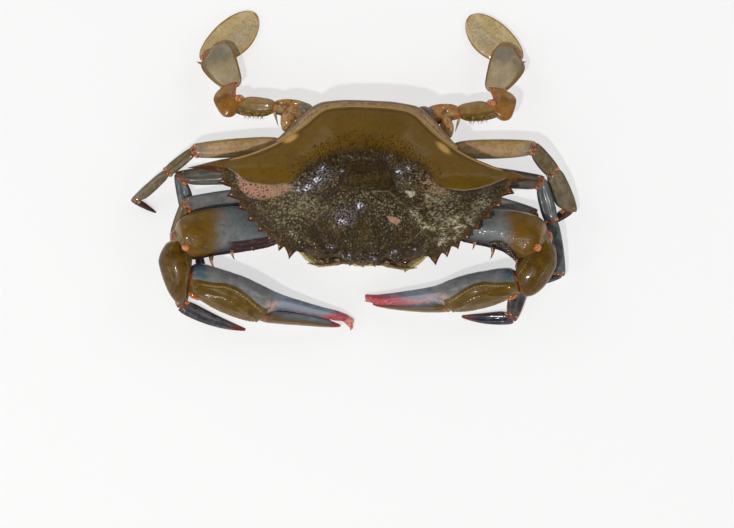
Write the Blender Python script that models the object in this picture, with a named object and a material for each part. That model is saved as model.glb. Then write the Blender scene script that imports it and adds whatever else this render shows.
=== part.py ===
"""Blue swimming crab, Callinectes sapidus, as a still life-size model lying on its belly.

The animal faces -Y with its back up. Names that end in _l are on the crab's own left side (+X),
names that end in _r on its right side (-X). Sizes and places below are in millimetres, measured
from the midline of the carapace at floor level, and one empty moves the whole animal so that its
box stands centred over the origin. Every piece is a closed solid, a hair's breadth clear of the
pieces it meets.
"""

import math

import bmesh
import bpy
from mathutils import Vector

MM = 0.001
GAP = 0.36
MIDLINE_PLACE = (3.95, -0.57, 0.0)

# Carapace: half widths and lengths of the outline, and the heights of its margin and its dome.
SPINE_TIP = (61.7, -0.1)
FIRST_TOOTH = (25.1, -30.4)
TOOTH_STEP = (3.71, 2.6)
TOOTH_CURVE = 0.15
FIRST_NOTCH = (27.0, -26.0)
NOTCH_STEP = (3.14, 2.1)
NOTCH_CURVE = 0.19
TOOTH_COUNT = 8
FRONT_MARGIN = (
    (0.0, -28.9),
    (4.3, -30.5),
    (8.0, -28.4),
    (11.6, -29.8),
    (15.0, -27.9),
    (18.8, -27.2),
    (22.6, -27.4),
)
REAR_MARGIN = (
    (49.8, 2.9),
    (42.9, 4.4),
    (36.0, 7.0),
    (29.2, 10.6),
    (22.3, 15.7),
    (15.5, 21.5),
    (8.0, 23.1),
)
REAR_MIDDLE = (0.0, 23.3)
FIRST_TOOTH_ROOT = (24.6, -26.9)
SPINE_ROOT = (50.3, 0.6)
SPINE_ROOT_REAR = (47.6, 2.2)
DOME_CENTRE = (0.0, -2.0)
DOME_HEIGHT = 30.8
DOME_FULLNESS = 0.82
MARGIN_AT_SPINE = 18.0
MARGIN_AT_MIDLINE = 20.0
MARGIN_THICKNESS = 1.3
DOME_RINGS = (0.965, 0.9, 0.8, 0.68, 0.54, 0.38, 0.2)
UNDER_RINGS = ((0.95, 1.7), (0.78, 2.7), (0.6, 5.0))
UNDER_FLAT = (0.46, 11.5)

# Thorax: the plate and side walls that carry the legs.
THORAX_HALF_WIDTH = 20.0
THORAX_HALF_LENGTH = 19.4
THORAX_MIDDLE = 2.0
THORAX_SIDES = 24
# Rings from the bottom up: height, and share of the half width and half length.
THORAX_RINGS = ((2.3, 0.79), (4.8, 0.93), (8.5, 1.0), (11.1, 0.94))

# Face: the block below the orbits that frames the mouth.
FACE_REAR = (-19.3, 14.3)
FACE_ORBIT_WALL = (-24.9, 16.2)
FACE_ORBIT_FLOOR = 13.2
FACE_REAR_BOTTOM = 5.4
FACE_REAR_BOTTOM_RISE = 0.16
FACE_REAR_TAPER = 0.2
FACE_LIP = 0.7
# Stations from the midline out: x, front edge, underside at the front, top at the front.
FACE_STATIONS = (
    (0.0, -32.3, 11.2, 16.4),
    (5.0, -31.4, 11.3, 16.2),
    (6.3, -31.4, 11.3, 13.2),
    (10.0, -31.8, 11.4, 13.2),
    (15.0, -33.4, 11.6, 13.2),
    (19.0, -31.0, 11.9, 13.2),
    (22.6, -27.6, 12.4, 13.2),
)

# Abdomen: tail plate folded under the body, as points (y, z, half width) along its middle.
ABDOMEN_PATH = (
    (19.4, 16.3, 14.6),
    (22.0, 16.1, 15.6),
    (23.4, 14.4, 15.8),
    (23.7, 9.5, 14.8),
    (22.2, 4.4, 14.2),
    (18.6, 1.4, 13.8),
    (10.0, 0.95, 13.6),
    (2.0, 0.95, 11.4),
    (-5.0, 0.95, 6.6),
    (-8.0, 0.95, 2.8),
    (-12.0, 0.95, 0.9),
)
ABDOMEN_HALF_THICKNESS = 0.95
# Half of the plate's section, as shares of its half width and of its half thickness.
ABDOMEN_EDGE = ((-1.0, 0.35), (-0.9, 1.0), (0.0, 1.0), (0.9, 1.0), (1.0, 0.35))

# Jaw legs, eyes and feelers: where each starts and ends on the +X side.
MAXILLIPED_ENDS = ((4.7, -18.6, 3.5), (4.3, -30.4, 9.6))
EYE_ENDS = ((10.8, -29.0, 15.3), (21.8, -29.9, 15.5))
ANTENNA_ENDS = ((7.6, -30.8, 14.3), (18.6, -31.6, 14.0))
ANTENNA_BOW = 1.0

# Limbs: the joints of each one, from the body outwards, as (x, y, z).
CLAW_JOINTS = {
    "l": (
        (19.2, -12.8, 7.2),
        (30.5, -16.0, 9.0),
        (62.6, -19.8, 12.4),
        (53.8, -34.4, 11.0),
        (1.3, -42.0, 1.4),
    ),
    "r": (
        (-19.2, -12.8, 7.2),
        (-30.5, -16.6, 9.0),
        (-64.0, -25.0, 12.8),
        (-58.5, -38.2, 11.0),
        (-1.2, -50.2, 1.4),
    ),
}
CLAW_WIDTH = {"l": 0.92, "r": 1.05}
CLAW_TIP = {"l": (0.5, 0.5), "r": (-1.5, 3.2)}
WRIST_CUT = 0.85
# Spines on the front edge of each arm: place along it, and reach of the tip ahead of its axis.
ARM_SPINES = {
    "l": ((0.28, 7.6), (0.485, 9.6), (0.69, 9.8)),
    "r": ((0.33, 8.2), (0.545, 11.2), (0.77, 10.9)),
}
ARM_SPINE_ROOT = 3.4
ARM_SPINE_RADIUS = 1.5
ARM_SPINE_TIP_RADIUS = 0.25
ARM_SPINE_LIFT = 0.8
ARM_SPINE_SIDES = 8
FINGER_HINGE = 0.492
FINGER_TIP = {"l": 0.965, "r": 0.94}
FINGER_SET_OUT = {"l": (7.85, 3.15), "r": (7.85, 3.1)}
FINGER_BOW = 0.55
LEG_JOINTS = {
    "leg2_l": (
        (21.4, -6.6, 5.2),
        (30.0, -6.0, 4.2),
        (57.8, -12.0, 4.0),
        (58.6, -23.0, 3.9),
        (51.8, -47.2, 2.8),
        (35.0, -47.6, 0.2),
    ),
    "leg2_r": (
        (-21.4, -6.6, 5.6),
        (-30.0, -8.2, 4.4),
        (-61.3, -13.4, 7.5),
        (-64.3, -24.0, 4.4),
        (-61.0, -46.0, 2.3),
        (-39.4, -55.2, 0.2),
    ),
    "leg3_l": (
        (22.0, 0.4, 8.0),
        (30.2, 2.0, 8.6),
        (60.2, -0.6, 8.2),
        (64.4, -13.6, 6.4),
        (67.6, -31.6, 3.2),
        (56.8, -36.6, 0.2),
    ),
    "leg3_r": (
        (-22.0, 0.4, 8.0),
        (-30.2, 0.0, 8.4),
        (-63.6, -3.9, 4.5),
        (-60.3, -17.0, 2.0),
        (-56.4, -30.6, 2.2),
        (-53.2, -43.4, 0.2),
    ),
    "leg4_l": (
        (20.8, 7.2, 8.6),
        (30.0, 9.6, 9.4),
        (57.2, 11.2, 8.2),
        (64.4, 3.2, 6.2),
        (70.2, -9.6, 3.0),
        (63.4, -14.8, 0.2),
    ),
    "leg4_r": (
        (-20.8, 7.2, 8.6),
        (-30.0, 8.9, 9.4),
        (-59.4, 5.6, 8.4),
        (-68.4, -2.0, 5.8),
        (-79.0, -12.2, 2.2),
        (-71.9, -16.0, 0.2),
    ),
}
LEG_WIDTHS = {
    "leg2_l": (1.1, 1.0, 1.05, 1.3),
    "leg2_r": (1.14, 1.0, 1.0, 1.4),
    "leg4_r": (0.97, 0.76, 0.62, 0.66),
}
LEG_WIDTHS_DEFAULT = (1.0, 1.0, 1.0, 1.0)
DACTYL_BOWS = {"leg2_l": 0.6, "leg2_r": 1.1}
SWIMMER_JOINTS = {
    "l": (
        (16.4, 17.0, 9.6),
        (31.0, 22.4, 10.8),
        (42.6, 24.2, 8.6),
        (42.9, 29.8, 6.4),
        (46.6, 46.2, 5.2),
    ),
    "r": (
        (-16.4, 17.0, 9.6),
        (-32.4, 21.6, 10.8),
        (-44.6, 22.1, 8.6),
        (-47.0, 27.6, 6.4),
        (-52.5, 42.9, 5.2),
    ),
}
PADDLE_ENDS = {
    "l": ((52.2, 41.8, 1.9), (33.0, 55.6, 0.6)),
    "r": ((-58.5, 37.2, 1.9), (-39.9, 53.7, 0.6)),
}
PADDLE_BOW = 0.9
SWIMMER_BOWS = (1.8, 0.3, 2.8, 0.0)

# Profiles: (place along the piece, width behind the axis, width before it, half height).
CLAW_BASE = (
    (0.0, 4.0, 4.0, 3.6),
    (0.35, 4.6, 4.6, 4.0),
    (0.7, 4.8, 4.8, 4.1),
    (1.0, 4.6, 4.6, 3.8),
)
CLAW_MERUS = (
    (0.0, 4.6, 4.6, 3.8),
    (0.15, 6.0, 5.2, 4.4),
    (0.35, 7.4, 5.8, 5.0),
    (0.55, 8.2, 6.4, 5.4),
    (0.75, 8.0, 6.8, 5.8),
    (0.9, 6.4, 6.2, 5.6),
    (1.0, 3.6, 4.0, 4.2),
)
CLAW_CARPUS = (
    (0.0, 3.6, 3.8, 4.2),
    (0.15, 5.4, 5.0, 5.6),
    (0.4, 7.4, 5.6, 6.2),
    (0.65, 7.9, 5.2, 6.0),
    (0.86, 6.3, 4.6, 5.2),
    (1.0, 4.1, 3.8, 4.2),
)
CLAW_PALM = (
    (0.0, 4.0, 4.4, 4.4),
    (0.05, 5.6, 5.8, 5.8),
    (0.17, 5.4, 8.2, 6.9),
    (0.3, 4.3, 9.3, 7.5),
    (0.4, 3.0, 9.8, 7.5),
    (0.465, 2.2, 9.4, 6.9),
    (0.5, 1.9, 5.2, 5.4),
    (0.57, 1.5, 4.3, 3.9),
    (0.7, 1.0, 3.6, 3.0),
    (0.83, 0.7, 2.9, 2.4),
    (0.93, 0.7, 2.2, 1.8),
)
CLAW_FINGER = (
    (0.0, 1.9, 1.9, 3.6),
    (0.07, 2.1, 2.2, 3.7),
    (0.25, 1.9, 2.0, 3.0),
    (0.5, 1.7, 1.7, 2.4),
    (0.75, 1.4, 1.4, 1.9),
    (0.92, 0.9, 0.9, 1.3),
    (1.0, 0.35, 0.35, 0.6),
)
LEG_BASE = (
    (0.0, 2.6, 2.6, 2.4),
    (0.3, 3.0, 3.0, 2.7),
    (0.7, 2.7, 2.7, 2.4),
    (1.0, 2.5, 2.5, 2.1),
)
LEG_MERUS = (
    (0.0, 2.4, 2.4, 2.0),
    (0.12, 3.2, 3.2, 2.2),
    (0.4, 3.6, 3.6, 2.2),
    (0.75, 3.3, 3.3, 2.0),
    (0.94, 2.8, 2.8, 1.9),
    (1.0, 2.2, 2.2, 1.6),
)
LEG_CARPUS = (
    (0.0, 2.0, 2.0, 1.4),
    (0.16, 2.5, 2.5, 1.5),
    (0.5, 2.8, 2.8, 1.5),
    (0.86, 2.7, 2.7, 1.5),
    (1.0, 2.2, 2.2, 1.3),
)
LEG_PROPODUS = (
    (0.0, 2.1, 2.1, 1.4),
    (0.12, 2.7, 2.7, 1.7),
    (0.45, 3.1, 3.1, 1.7),
    (0.8, 3.0, 3.0, 1.6),
    (0.95, 2.4, 2.4, 1.5),
    (1.0, 1.6, 1.6, 1.2),
)
LEG_DACTYL = (
    (0.0, 1.5, 1.5, 1.2),
    (0.12, 1.9, 1.9, 1.3),
    (0.45, 1.7, 1.7, 1.15),
    (0.8, 1.0, 1.0, 0.85),
    (1.0, 0.35, 0.35, 0.45),
)
SWIMMER_BASE = (
    (0.0, 2.6, 2.6, 2.4),
    (0.3, 3.5, 3.5, 3.0),
    (0.6, 3.5, 3.5, 2.8),
    (0.85, 2.9, 2.9, 2.3),
    (1.0, 2.3, 2.3, 1.9),
)
SWIMMER_MERUS = (
    (0.0, 2.2, 2.2, 1.8),
    (0.15, 3.1, 3.1, 2.2),
    (0.5, 3.6, 3.6, 2.4),
    (0.85, 3.4, 3.4, 2.2),
    (1.0, 2.5, 2.5, 1.7),
)
SWIMMER_CARPUS = (
    (0.0, 2.0, 2.6, 1.7),
    (0.2, 2.4, 4.4, 2.1),
    (0.5, 2.4, 5.2, 2.3),
    (0.8, 2.4, 4.6, 2.0),
    (1.0, 2.2, 3.0, 1.5),
)
SWIMMER_PROPODUS = (
    (0.0, 2.2, 1.8, 1.2),
    (0.1, 3.7, 3.7, 1.3),
    (0.25, 4.1, 5.7, 1.4),
    (0.5, 4.4, 7.8, 1.4),
    (0.69, 4.5, 8.5, 1.3),
    (0.8, 4.2, 6.0, 1.2),
    (0.91, 3.3, 3.9, 1.0),
    (1.0, 1.5, 1.6, 0.7),
)
# The paddle's outline is a power of a sine, so 1 is a lens and 0 a box.
PADDLE_HALF_WIDTH = 6.6
PADDLE_ROUNDNESS = 0.55
PADDLE_END_INSET = 0.012
PADDLE_WIDTH_AT_HINGE = 0.93
PADDLE_WIDENING = 0.12
PADDLE_HALF_HEIGHT = 0.85
PADDLE_EDGE_HEIGHT = 0.75
PADDLE_STATIONS = 8
MAXILLIPED = (
    (0.0, 2.4, 2.4, 0.7),
    (0.2, 3.6, 3.6, 0.85),
    (0.6, 3.9, 3.9, 0.85),
    (1.0, 2.6, 2.6, 0.7),
)
EYE = (
    (0.0, 0.9, 0.9, 0.9),
    (0.3, 1.2, 1.2, 1.2),
    (0.55, 1.3, 1.3, 1.3),
    (0.7, 1.95, 1.95, 1.8),
    (0.86, 2.05, 2.05, 1.9),
    (0.97, 1.3, 1.3, 1.2),
    (1.0, 0.5, 0.5, 0.5),
)
ANTENNA = (
    (0.0, 0.9, 0.9, 0.7),
    (0.22, 0.9, 0.9, 0.7),
    (0.3, 0.45, 0.45, 0.45),
    (0.65, 0.38, 0.38, 0.38),
    (1.0, 0.27, 0.27, 0.27),
)

# The slant of a cut end dies out along this share of the piece.
CUT_REACH = 0.6
SHARP_ANGLE = math.radians(50.0)
CLAW_SIDES = 12
LEG_SIDES = 8
SWIMMER_SIDES = 10

# Finishes: base colour, roughness.
OLIVE_SHELL = ((0.105, 0.085, 0.028), 0.34)
CREAM_PLATE = ((0.56, 0.50, 0.38), 0.45)
BLUE_SHELL = ((0.085, 0.125, 0.165), 0.34)
LEG_SHELL = ((0.15, 0.17, 0.15), 0.36)
PADDLE_SHELL = ((0.36, 0.29, 0.17), 0.4)
FINGER_SHELL = ((0.16, 0.17, 0.22), 0.32)
EYE_SHELL = ((0.03, 0.028, 0.025), 0.2)
FEELER_SHELL = ((0.22, 0.15, 0.08), 0.4)


def clear_scene():
    """Removes whatever the scene holds."""
    for thing in list(bpy.data.objects):
        bpy.data.objects.remove(thing, do_unlink=True)


def finish_material(name, finish):
    """A plain shell material of the piece's own colour and gloss."""
    colour, roughness = finish
    material = bpy.data.materials.new(name)
    material.use_nodes = True
    shader = material.node_tree.nodes["Principled BSDF"]
    shader.inputs["Base Color"].default_value = (*colour, 1.0)
    shader.inputs["Roughness"].default_value = roughness
    shader.inputs["Metallic"].default_value = 0.0
    return material


def add_piece(name, bm, finish, place):
    """Turns a closed bmesh in millimetres into a smooth-shaded object under the animal's empty."""
    for vert in bm.verts:
        vert.co.z = max(vert.co.z, 0.0)
    bmesh.ops.recalc_face_normals(bm, faces=bm.faces[:])
    bmesh.ops.scale(bm, vec=(MM, MM, MM), verts=bm.verts[:])
    mesh = bpy.data.meshes.new(name)
    bm.to_mesh(mesh)
    bm.free()
    mesh.shade_smooth()
    mesh.set_sharp_from_angle(angle=SHARP_ANGLE)
    mesh.materials.append(finish_material(name, finish))
    piece = bpy.data.objects.new(name, mesh)
    bpy.context.scene.collection.objects.link(piece)
    piece.parent = place
    return piece


def skin_rings(rings, close_start=True, close_end=True):
    """A bmesh whose rings of points are joined by quads, with a cap at each open end."""
    bm = bmesh.new()
    loops = [[bm.verts.new(point) for point in ring] for ring in rings]
    count = len(loops[0])
    for near, far in zip(loops, loops[1:]):
        for i in range(count):
            j = (i + 1) % count
            bm.faces.new((near[i], near[j], far[j], far[i]))
    if close_start:
        bm.faces.new(list(reversed(loops[0])))
    if close_end:
        bm.faces.new(loops[-1])
    return bm


def miter_normal(first, second, lean=0.5):
    """Unit normal of a plane across the bend between two directions, leaning to the second."""
    return (first * (1.0 - lean) + second * lean).normalized()


def limb_rings(start, end, profile, aim, sides, near_cut=None, far_cut=None, bow=0.0):
    """Rings of a limb piece from start to end, its ends in planes with the given normals.

    The profile gives the widths against aim and along it, and the half height across. The piece
    bows towards aim by bow at its middle.
    """
    start, end = Vector(start), Vector(end)
    axis = (end - start).normalized()
    aim = Vector(aim)
    side = (aim - axis * aim.dot(axis)).normalized()
    up = axis.cross(side)
    if up.z < 0:
        up = -up
    near_cut = near_cut or axis
    far_cut = far_cut or axis
    near = start + axis * (GAP / 2 / axis.dot(near_cut))
    far = end - axis * (GAP / 2 / axis.dot(far_cut))
    rings = []
    for t, behind, ahead, half_height in profile:
        middle = near.lerp(far, t) + side * (bow * math.sin(math.pi * t))
        centre = side * ((ahead - behind) / 2)
        half_width = (ahead + behind) / 2
        near_part = max(0.0, 1.0 - t / CUT_REACH)
        far_part = max(0.0, 1.0 - (1.0 - t) / CUT_REACH)
        ring = []
        for k in range(sides):
            turn = 2 * math.pi * k / sides
            offset = centre + side * (half_width * math.cos(turn)) + up * (half_height * math.sin(turn))
            slide = -near_part * offset.dot(near_cut) / axis.dot(near_cut)
            slide -= far_part * offset.dot(far_cut) / axis.dot(far_cut)
            ring.append(middle + offset + axis * slide)
        rings.append(ring)
    return rings


def scaled(profile, width):
    """A profile with its widths multiplied."""
    return [(t, behind * width, ahead * width, half) for t, behind, ahead, half in profile]


def on_side(point, sign):
    """A point given on the +X side, put on the side that the sign asks for."""
    return (sign * point[0], *point[1:])


def tooth_and_notch_pairs():
    """The eight notches behind the first tooth, each with the tooth that follows it."""
    pairs = []
    for i in range(TOOTH_COUNT):
        notch = (
            FIRST_NOTCH[0] + NOTCH_STEP[0] * i,
            FIRST_NOTCH[1] + NOTCH_STEP[1] * i + NOTCH_CURVE * i * i,
        )
        k = i + 1
        tooth = (
            FIRST_TOOTH[0] + TOOTH_STEP[0] * k,
            FIRST_TOOTH[1] + TOOTH_STEP[1] * k + TOOTH_CURVE * k * k,
        )
        pairs.append((notch, tooth if k < TOOTH_COUNT else SPINE_TIP))
    return pairs


def carapace_outlines():
    """Two matching closed outlines: one out to the tips of the teeth, one along their roots."""
    outer = list(FRONT_MARGIN) + [FIRST_TOOTH]
    inner = list(FRONT_MARGIN) + [FIRST_TOOTH_ROOT]
    pairs = tooth_and_notch_pairs()
    for i, (notch, tooth) in enumerate(pairs):
        outer += [notch, tooth]
        following = pairs[i + 1][0] if i + 1 < len(pairs) else SPINE_ROOT
        middle = ((notch[0] + following[0]) / 2, (notch[1] + following[1]) / 2)
        inner += [notch, SPINE_ROOT if tooth == SPINE_TIP else middle]
    outer += list(REAR_MARGIN)
    inner += [SPINE_ROOT_REAR] + list(REAR_MARGIN[1:])
    closed = []
    for half in (outer, inner):
        mirrored = [(-x, y) for x, y in reversed(half[1:])]
        closed.append(half + [REAR_MIDDLE] + mirrored)
    return closed


def margin_height(x):
    """Height of the carapace's edge, which falls from the midline to the side spines."""
    part = min(1.0, abs(x) / SPINE_TIP[0])
    return MARGIN_AT_MIDLINE + (MARGIN_AT_SPINE - MARGIN_AT_MIDLINE) * part


def shrunk(point, factor):
    """A point of an outline drawn towards the centre of the dome."""
    return (
        DOME_CENTRE[0] + (point[0] - DOME_CENTRE[0]) * factor,
        DOME_CENTRE[1] + (point[1] - DOME_CENTRE[1]) * factor,
    )


def make_carapace(place):
    """The back shell: a low dome with toothed front sides and a long spine at each side."""
    outer, inner = carapace_outlines()
    factor, height = UNDER_FLAT
    rings = [[(*shrunk(p, factor), height) for p in inner]]
    for factor, drop in reversed(UNDER_RINGS):
        rings.append([(*shrunk(p, factor), margin_height(p[0]) - drop) for p in inner])
    rings.append([(*p, margin_height(p[0]) - MARGIN_THICKNESS) for p in outer])
    rings.append([(*p, margin_height(p[0])) for p in outer])
    for factor in DOME_RINGS:
        ring = []
        for p in inner:
            low = margin_height(p[0])
            rise = (1.0 - factor**2) ** DOME_FULLNESS
            ring.append((*shrunk(p, factor), low + (DOME_HEIGHT - low) * rise))
        rings.append(ring)
    return add_piece("carapace", skin_rings(rings), OLIVE_SHELL, place)


def make_thorax(place):
    """The body wall and breastplate between the leg bases."""
    rings = []
    for z, part in THORAX_RINGS:
        ring = []
        for k in range(THORAX_SIDES):
            turn = 2 * math.pi * k / THORAX_SIDES
            x = THORAX_HALF_WIDTH * part * math.cos(turn)
            ring.append((x, THORAX_MIDDLE + THORAX_HALF_LENGTH * part * math.sin(turn), z))
        rings.append(ring)
    return add_piece("thorax", skin_rings(rings), CREAM_PLATE, place)


def make_face(place):
    """The block under the orbits, its front edge running out to a lobe below each eye."""
    stations = [(-x, *rest) for x, *rest in reversed(FACE_STATIONS[1:])] + list(FACE_STATIONS)
    rear, rear_top = FACE_REAR
    wall, wall_top = FACE_ORBIT_WALL
    rings = []
    for x, front, low, top in stations:
        inner_x = x * (1.0 - FACE_REAR_TAPER * abs(x) / FACE_STATIONS[-1][0])
        rear_low = FACE_REAR_BOTTOM + FACE_REAR_BOTTOM_RISE * abs(x)
        rings.append(
            [
                (inner_x, rear, rear_top),
                (inner_x, wall, wall_top),
                (x, wall - FACE_LIP, top),
                (x, front + FACE_LIP, top),
                (x, front, (top + low) / 2),
                (x, front + FACE_LIP, low),
                (inner_x, (rear + front) / 2, (low + rear_low) / 2),
                (inner_x, rear, rear_low),
            ]
        )
    return add_piece("face", skin_rings(rings), CREAM_PLATE, place)


def make_abdomen(place):
    """The broad tail plate of a female, bent down behind the body and folded under it."""
    rings = []
    for i, (y, z, half_width) in enumerate(ABDOMEN_PATH):
        y0, z0, _ = ABDOMEN_PATH[max(i - 1, 0)]
        y1, z1, _ = ABDOMEN_PATH[min(i + 1, len(ABDOMEN_PATH) - 1)]
        along = Vector((0.0, y1 - y0, z1 - z0)).normalized()
        out = Vector((0.0, -along.z, along.y)) * ABDOMEN_HALF_THICKNESS
        middle = Vector((0.0, y, z))
        ring = []
        for turn in (1.0, -1.0):
            for part, thick in ABDOMEN_EDGE:
                across = Vector((turn * part * half_width, 0.0, 0.0))
                ring.append(middle + across + out * (turn * thick))
        rings.append(ring)
    return add_piece("abdomen", skin_rings(rings), CREAM_PLATE, place)


def make_maxilliped(side, sign, place):
    """One of the two flat jaw legs that close the mouth from below."""
    start, end = (on_side(point, sign) for point in MAXILLIPED_ENDS)
    rings = limb_rings(start, end, MAXILLIPED, (sign, 0, 0), LEG_SIDES)
    return add_piece(f"maxilliped_{side}", skin_rings(rings), CREAM_PLATE, place)


def make_eye(side, sign, place):
    """An eye on its short stalk, lying outwards in the orbit."""
    start, end = (on_side(point, sign) for point in EYE_ENDS)
    rings = limb_rings(start, end, EYE, (0, -1, 0), SWIMMER_SIDES)
    return add_piece(f"eye_{side}", skin_rings(rings), EYE_SHELL, place)


def make_antenna(side, sign, place):
    """A feeler: a thick base joint that runs out into a thin whip along the orbit's lower edge."""
    start, end = (on_side(point, sign) for point in ANTENNA_ENDS)
    rings = limb_rings(start, end, ANTENNA, (0, -1, 0), LEG_SIDES, bow=ANTENNA_BOW)
    return add_piece(f"antenna_{side}", skin_rings(rings), FEELER_SHELL, place)


def make_limb(prefix, joints, profiles, names, aims, sides, finishes, place, bows=None, leans=None):
    """The pieces of one limb by name, each mitred to the next along the chain of joints."""
    points = [Vector(joint) for joint in joints]
    ways = [(b - a).normalized() for a, b in zip(points, points[1:])]
    leans = leans or [0.5] * len(ways)
    cuts = [miter_normal(a, b, lean) for a, b, lean in zip(ways, ways[1:], leans)]
    cuts = [None, *cuts, None]
    pieces = {}
    for i, name in enumerate(names):
        rings = limb_rings(
            points[i],
            points[i + 1],
            profiles[i],
            aims[i],
            sides,
            near_cut=cuts[i],
            far_cut=cuts[i + 1],
            bow=bows[i] if bows else 0.0,
        )
        pieces[name] = add_piece(f"{prefix}_{name}", skin_rings(rings), finishes[i], place)
    return pieces


def add_arm_spines(arm, side, place):
    """Joins a row of sharp spines to the front edge of an arm."""
    start, end = (Vector(joint) for joint in CLAW_JOINTS[side][1:3])
    axis = (end - start).normalized()
    ahead = Vector((0, -1, 0))
    ahead = (ahead - axis * ahead.dot(axis)).normalized()
    lift = Vector((0, 0, ARM_SPINE_LIFT))
    for number, (t, reach) in enumerate(ARM_SPINES[side], start=1):
        foot = start.lerp(end, t)
        root, tip = foot + ahead * ARM_SPINE_ROOT, foot + ahead * reach + lift
        rows = ((0.0, ARM_SPINE_RADIUS), (1.0, ARM_SPINE_TIP_RADIUS))
        profile = [(t, radius, radius, radius) for t, radius in rows]
        rings = limb_rings(root, tip, profile, axis, ARM_SPINE_SIDES)
        spine = add_piece(f"arm_spine_{side}_{number}", skin_rings(rings), BLUE_SHELL, place)
        spine.hide_render = True
        spine.display_type = "WIRE"
        join = arm.modifiers.new(f"spine_{number}", "BOOLEAN")
        join.operation = "UNION"
        join.object = spine


def make_claw(side, sign, place):
    """A claw-bearing limb: base, arm, wrist, palm with its fixed finger, and the moving finger."""
    width = CLAW_WIDTH[side]
    joints = CLAW_JOINTS[side]
    palm = scaled(CLAW_PALM, width) + [(1.0, *CLAW_TIP[side], 0.7)]
    profiles = (CLAW_BASE, CLAW_MERUS, CLAW_CARPUS, palm)
    pieces = make_limb(
        f"claw_{side}",
        joints,
        profiles,
        ("base", "merus", "carpus", "propodus"),
        ((0, -1, 0), (0, -1, 0), (-sign, 0, 0), (0, -1, 0)),
        CLAW_SIDES,
        (CREAM_PLATE, BLUE_SHELL, OLIVE_SHELL, BLUE_SHELL),
        place,
        leans=(0.5, 0.5, WRIST_CUT),
    )
    add_arm_spines(pieces["merus"], side, place)
    palm_start, palm_tip = Vector(joints[-2]), Vector(joints[-1])
    axis = (palm_tip - palm_start).normalized()
    ahead = Vector((0, -1, 0))
    ahead = (ahead - axis * ahead.dot(axis)).normalized()
    hinge = palm_start.lerp(palm_tip, FINGER_HINGE) + ahead * (FINGER_SET_OUT[side][0] * width)
    tip = palm_start.lerp(palm_tip, FINGER_TIP[side]) + ahead * (FINGER_SET_OUT[side][1] * width)
    finger = scaled(CLAW_FINGER, width)
    rings = limb_rings(hinge, tip, finger, (0, -1, 0), CLAW_SIDES, bow=FINGER_BOW)
    add_piece(f"claw_{side}_dactyl", skin_rings(rings), FINGER_SHELL, place)


def make_walking_leg(prefix, sign, place):
    """A walking leg of five pieces, the last a pointed blade whose tip rests on the floor."""
    shape = LEG_WIDTHS.get(prefix, LEG_WIDTHS_DEFAULT)
    shaped = (LEG_MERUS, LEG_CARPUS, LEG_PROPODUS, LEG_DACTYL)
    profiles = [LEG_BASE] + [scaled(profile, width) for profile, width in zip(shaped, shape)]
    make_limb(
        prefix,
        LEG_JOINTS[prefix],
        profiles,
        ("base", "merus", "carpus", "propodus", "dactyl"),
        ((0, -1, 0), (0, -1, 0), (sign, 0, 0), (sign, 0, 0), (0, -1, 0)),
        LEG_SIDES,
        (CREAM_PLATE, LEG_SHELL, LEG_SHELL, LEG_SHELL, BLUE_SHELL),
        place,
        bows=(0.0, 0.0, 0.0, 0.0, DACTYL_BOWS.get(prefix, 0.0)),
    )


def paddle_profile():
    """An oval blade, a little narrower at its hinge than at its tip."""
    rows = []
    for k in range(PADDLE_STATIONS + 1):
        t = 0.5 - 0.5 * math.cos(math.pi * k / PADDLE_STATIONS)
        inset = min(max(t, PADDLE_END_INSET), 1.0 - PADDLE_END_INSET)
        width = PADDLE_HALF_WIDTH * math.sin(math.pi * inset) ** PADDLE_ROUNDNESS
        width *= PADDLE_WIDTH_AT_HINGE + PADDLE_WIDENING * t
        swell = PADDLE_EDGE_HEIGHT + (1.0 - PADDLE_EDGE_HEIGHT) * math.sin(math.pi * t)
        rows.append((t, width, width, PADDLE_HALF_HEIGHT * swell))
    return rows


def make_swimming_leg(side, sign, place):
    """A swimming leg: short joints, a flat broad propodus and an oval paddle folded under it."""
    make_limb(
        f"swimmer_{side}",
        SWIMMER_JOINTS[side],
        (SWIMMER_BASE, SWIMMER_MERUS, SWIMMER_CARPUS, SWIMMER_PROPODUS),
        ("base", "merus", "carpus", "propodus"),
        ((0, 1, 0), (0, -1, 0), (sign, 0, 0), (sign, 0, 0)),
        SWIMMER_SIDES,
        (CREAM_PLATE, PADDLE_SHELL, PADDLE_SHELL, PADDLE_SHELL),
        place,
        bows=SWIMMER_BOWS,
    )
    hinge, tip = PADDLE_ENDS[side]
    profile = paddle_profile()
    rings = limb_rings(hinge, tip, profile, (0, -1, 0), SWIMMER_SIDES, bow=PADDLE_BOW)
    add_piece(f"swimmer_{side}_paddle", skin_rings(rings), PADDLE_SHELL, place)


def main():
    """Builds the animal piece by piece, the trunk first and then each pair of limbs."""
    clear_scene()
    place = bpy.data.objects.new("crab_midline", None)
    place.location = Vector(MIDLINE_PLACE) * MM
    bpy.context.scene.collection.objects.link(place)
    make_carapace(place)
    make_thorax(place)
    make_face(place)
    make_abdomen(place)
    for side, sign in (("l", 1.0), ("r", -1.0)):
        make_maxilliped(side, sign, place)
        make_eye(side, sign, place)
        make_antenna(side, sign, place)
        make_claw(side, sign, place)
        for number in (2, 3, 4):
            make_walking_leg(f"leg{number}_{side}", sign, place)
        make_swimming_leg(side, sign, place)


main()
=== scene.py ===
"""Looks of the blue swimming crab: its shell, claws, legs and paddles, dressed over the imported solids.

Every class below stands for one sub-assembly of the animal. It keeps its sizes as fields, in
millimetres from the midline of the back shell at floor level, and turns them into finished pieces
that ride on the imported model. The animal faces -Y; its own left side is +X.
"""

import logging
import math
from dataclasses import dataclass, field, replace
from enum import Enum
from typing import Callable, Sequence

import bpy
import numpy as np
from mathutils import Matrix, Vector


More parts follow.
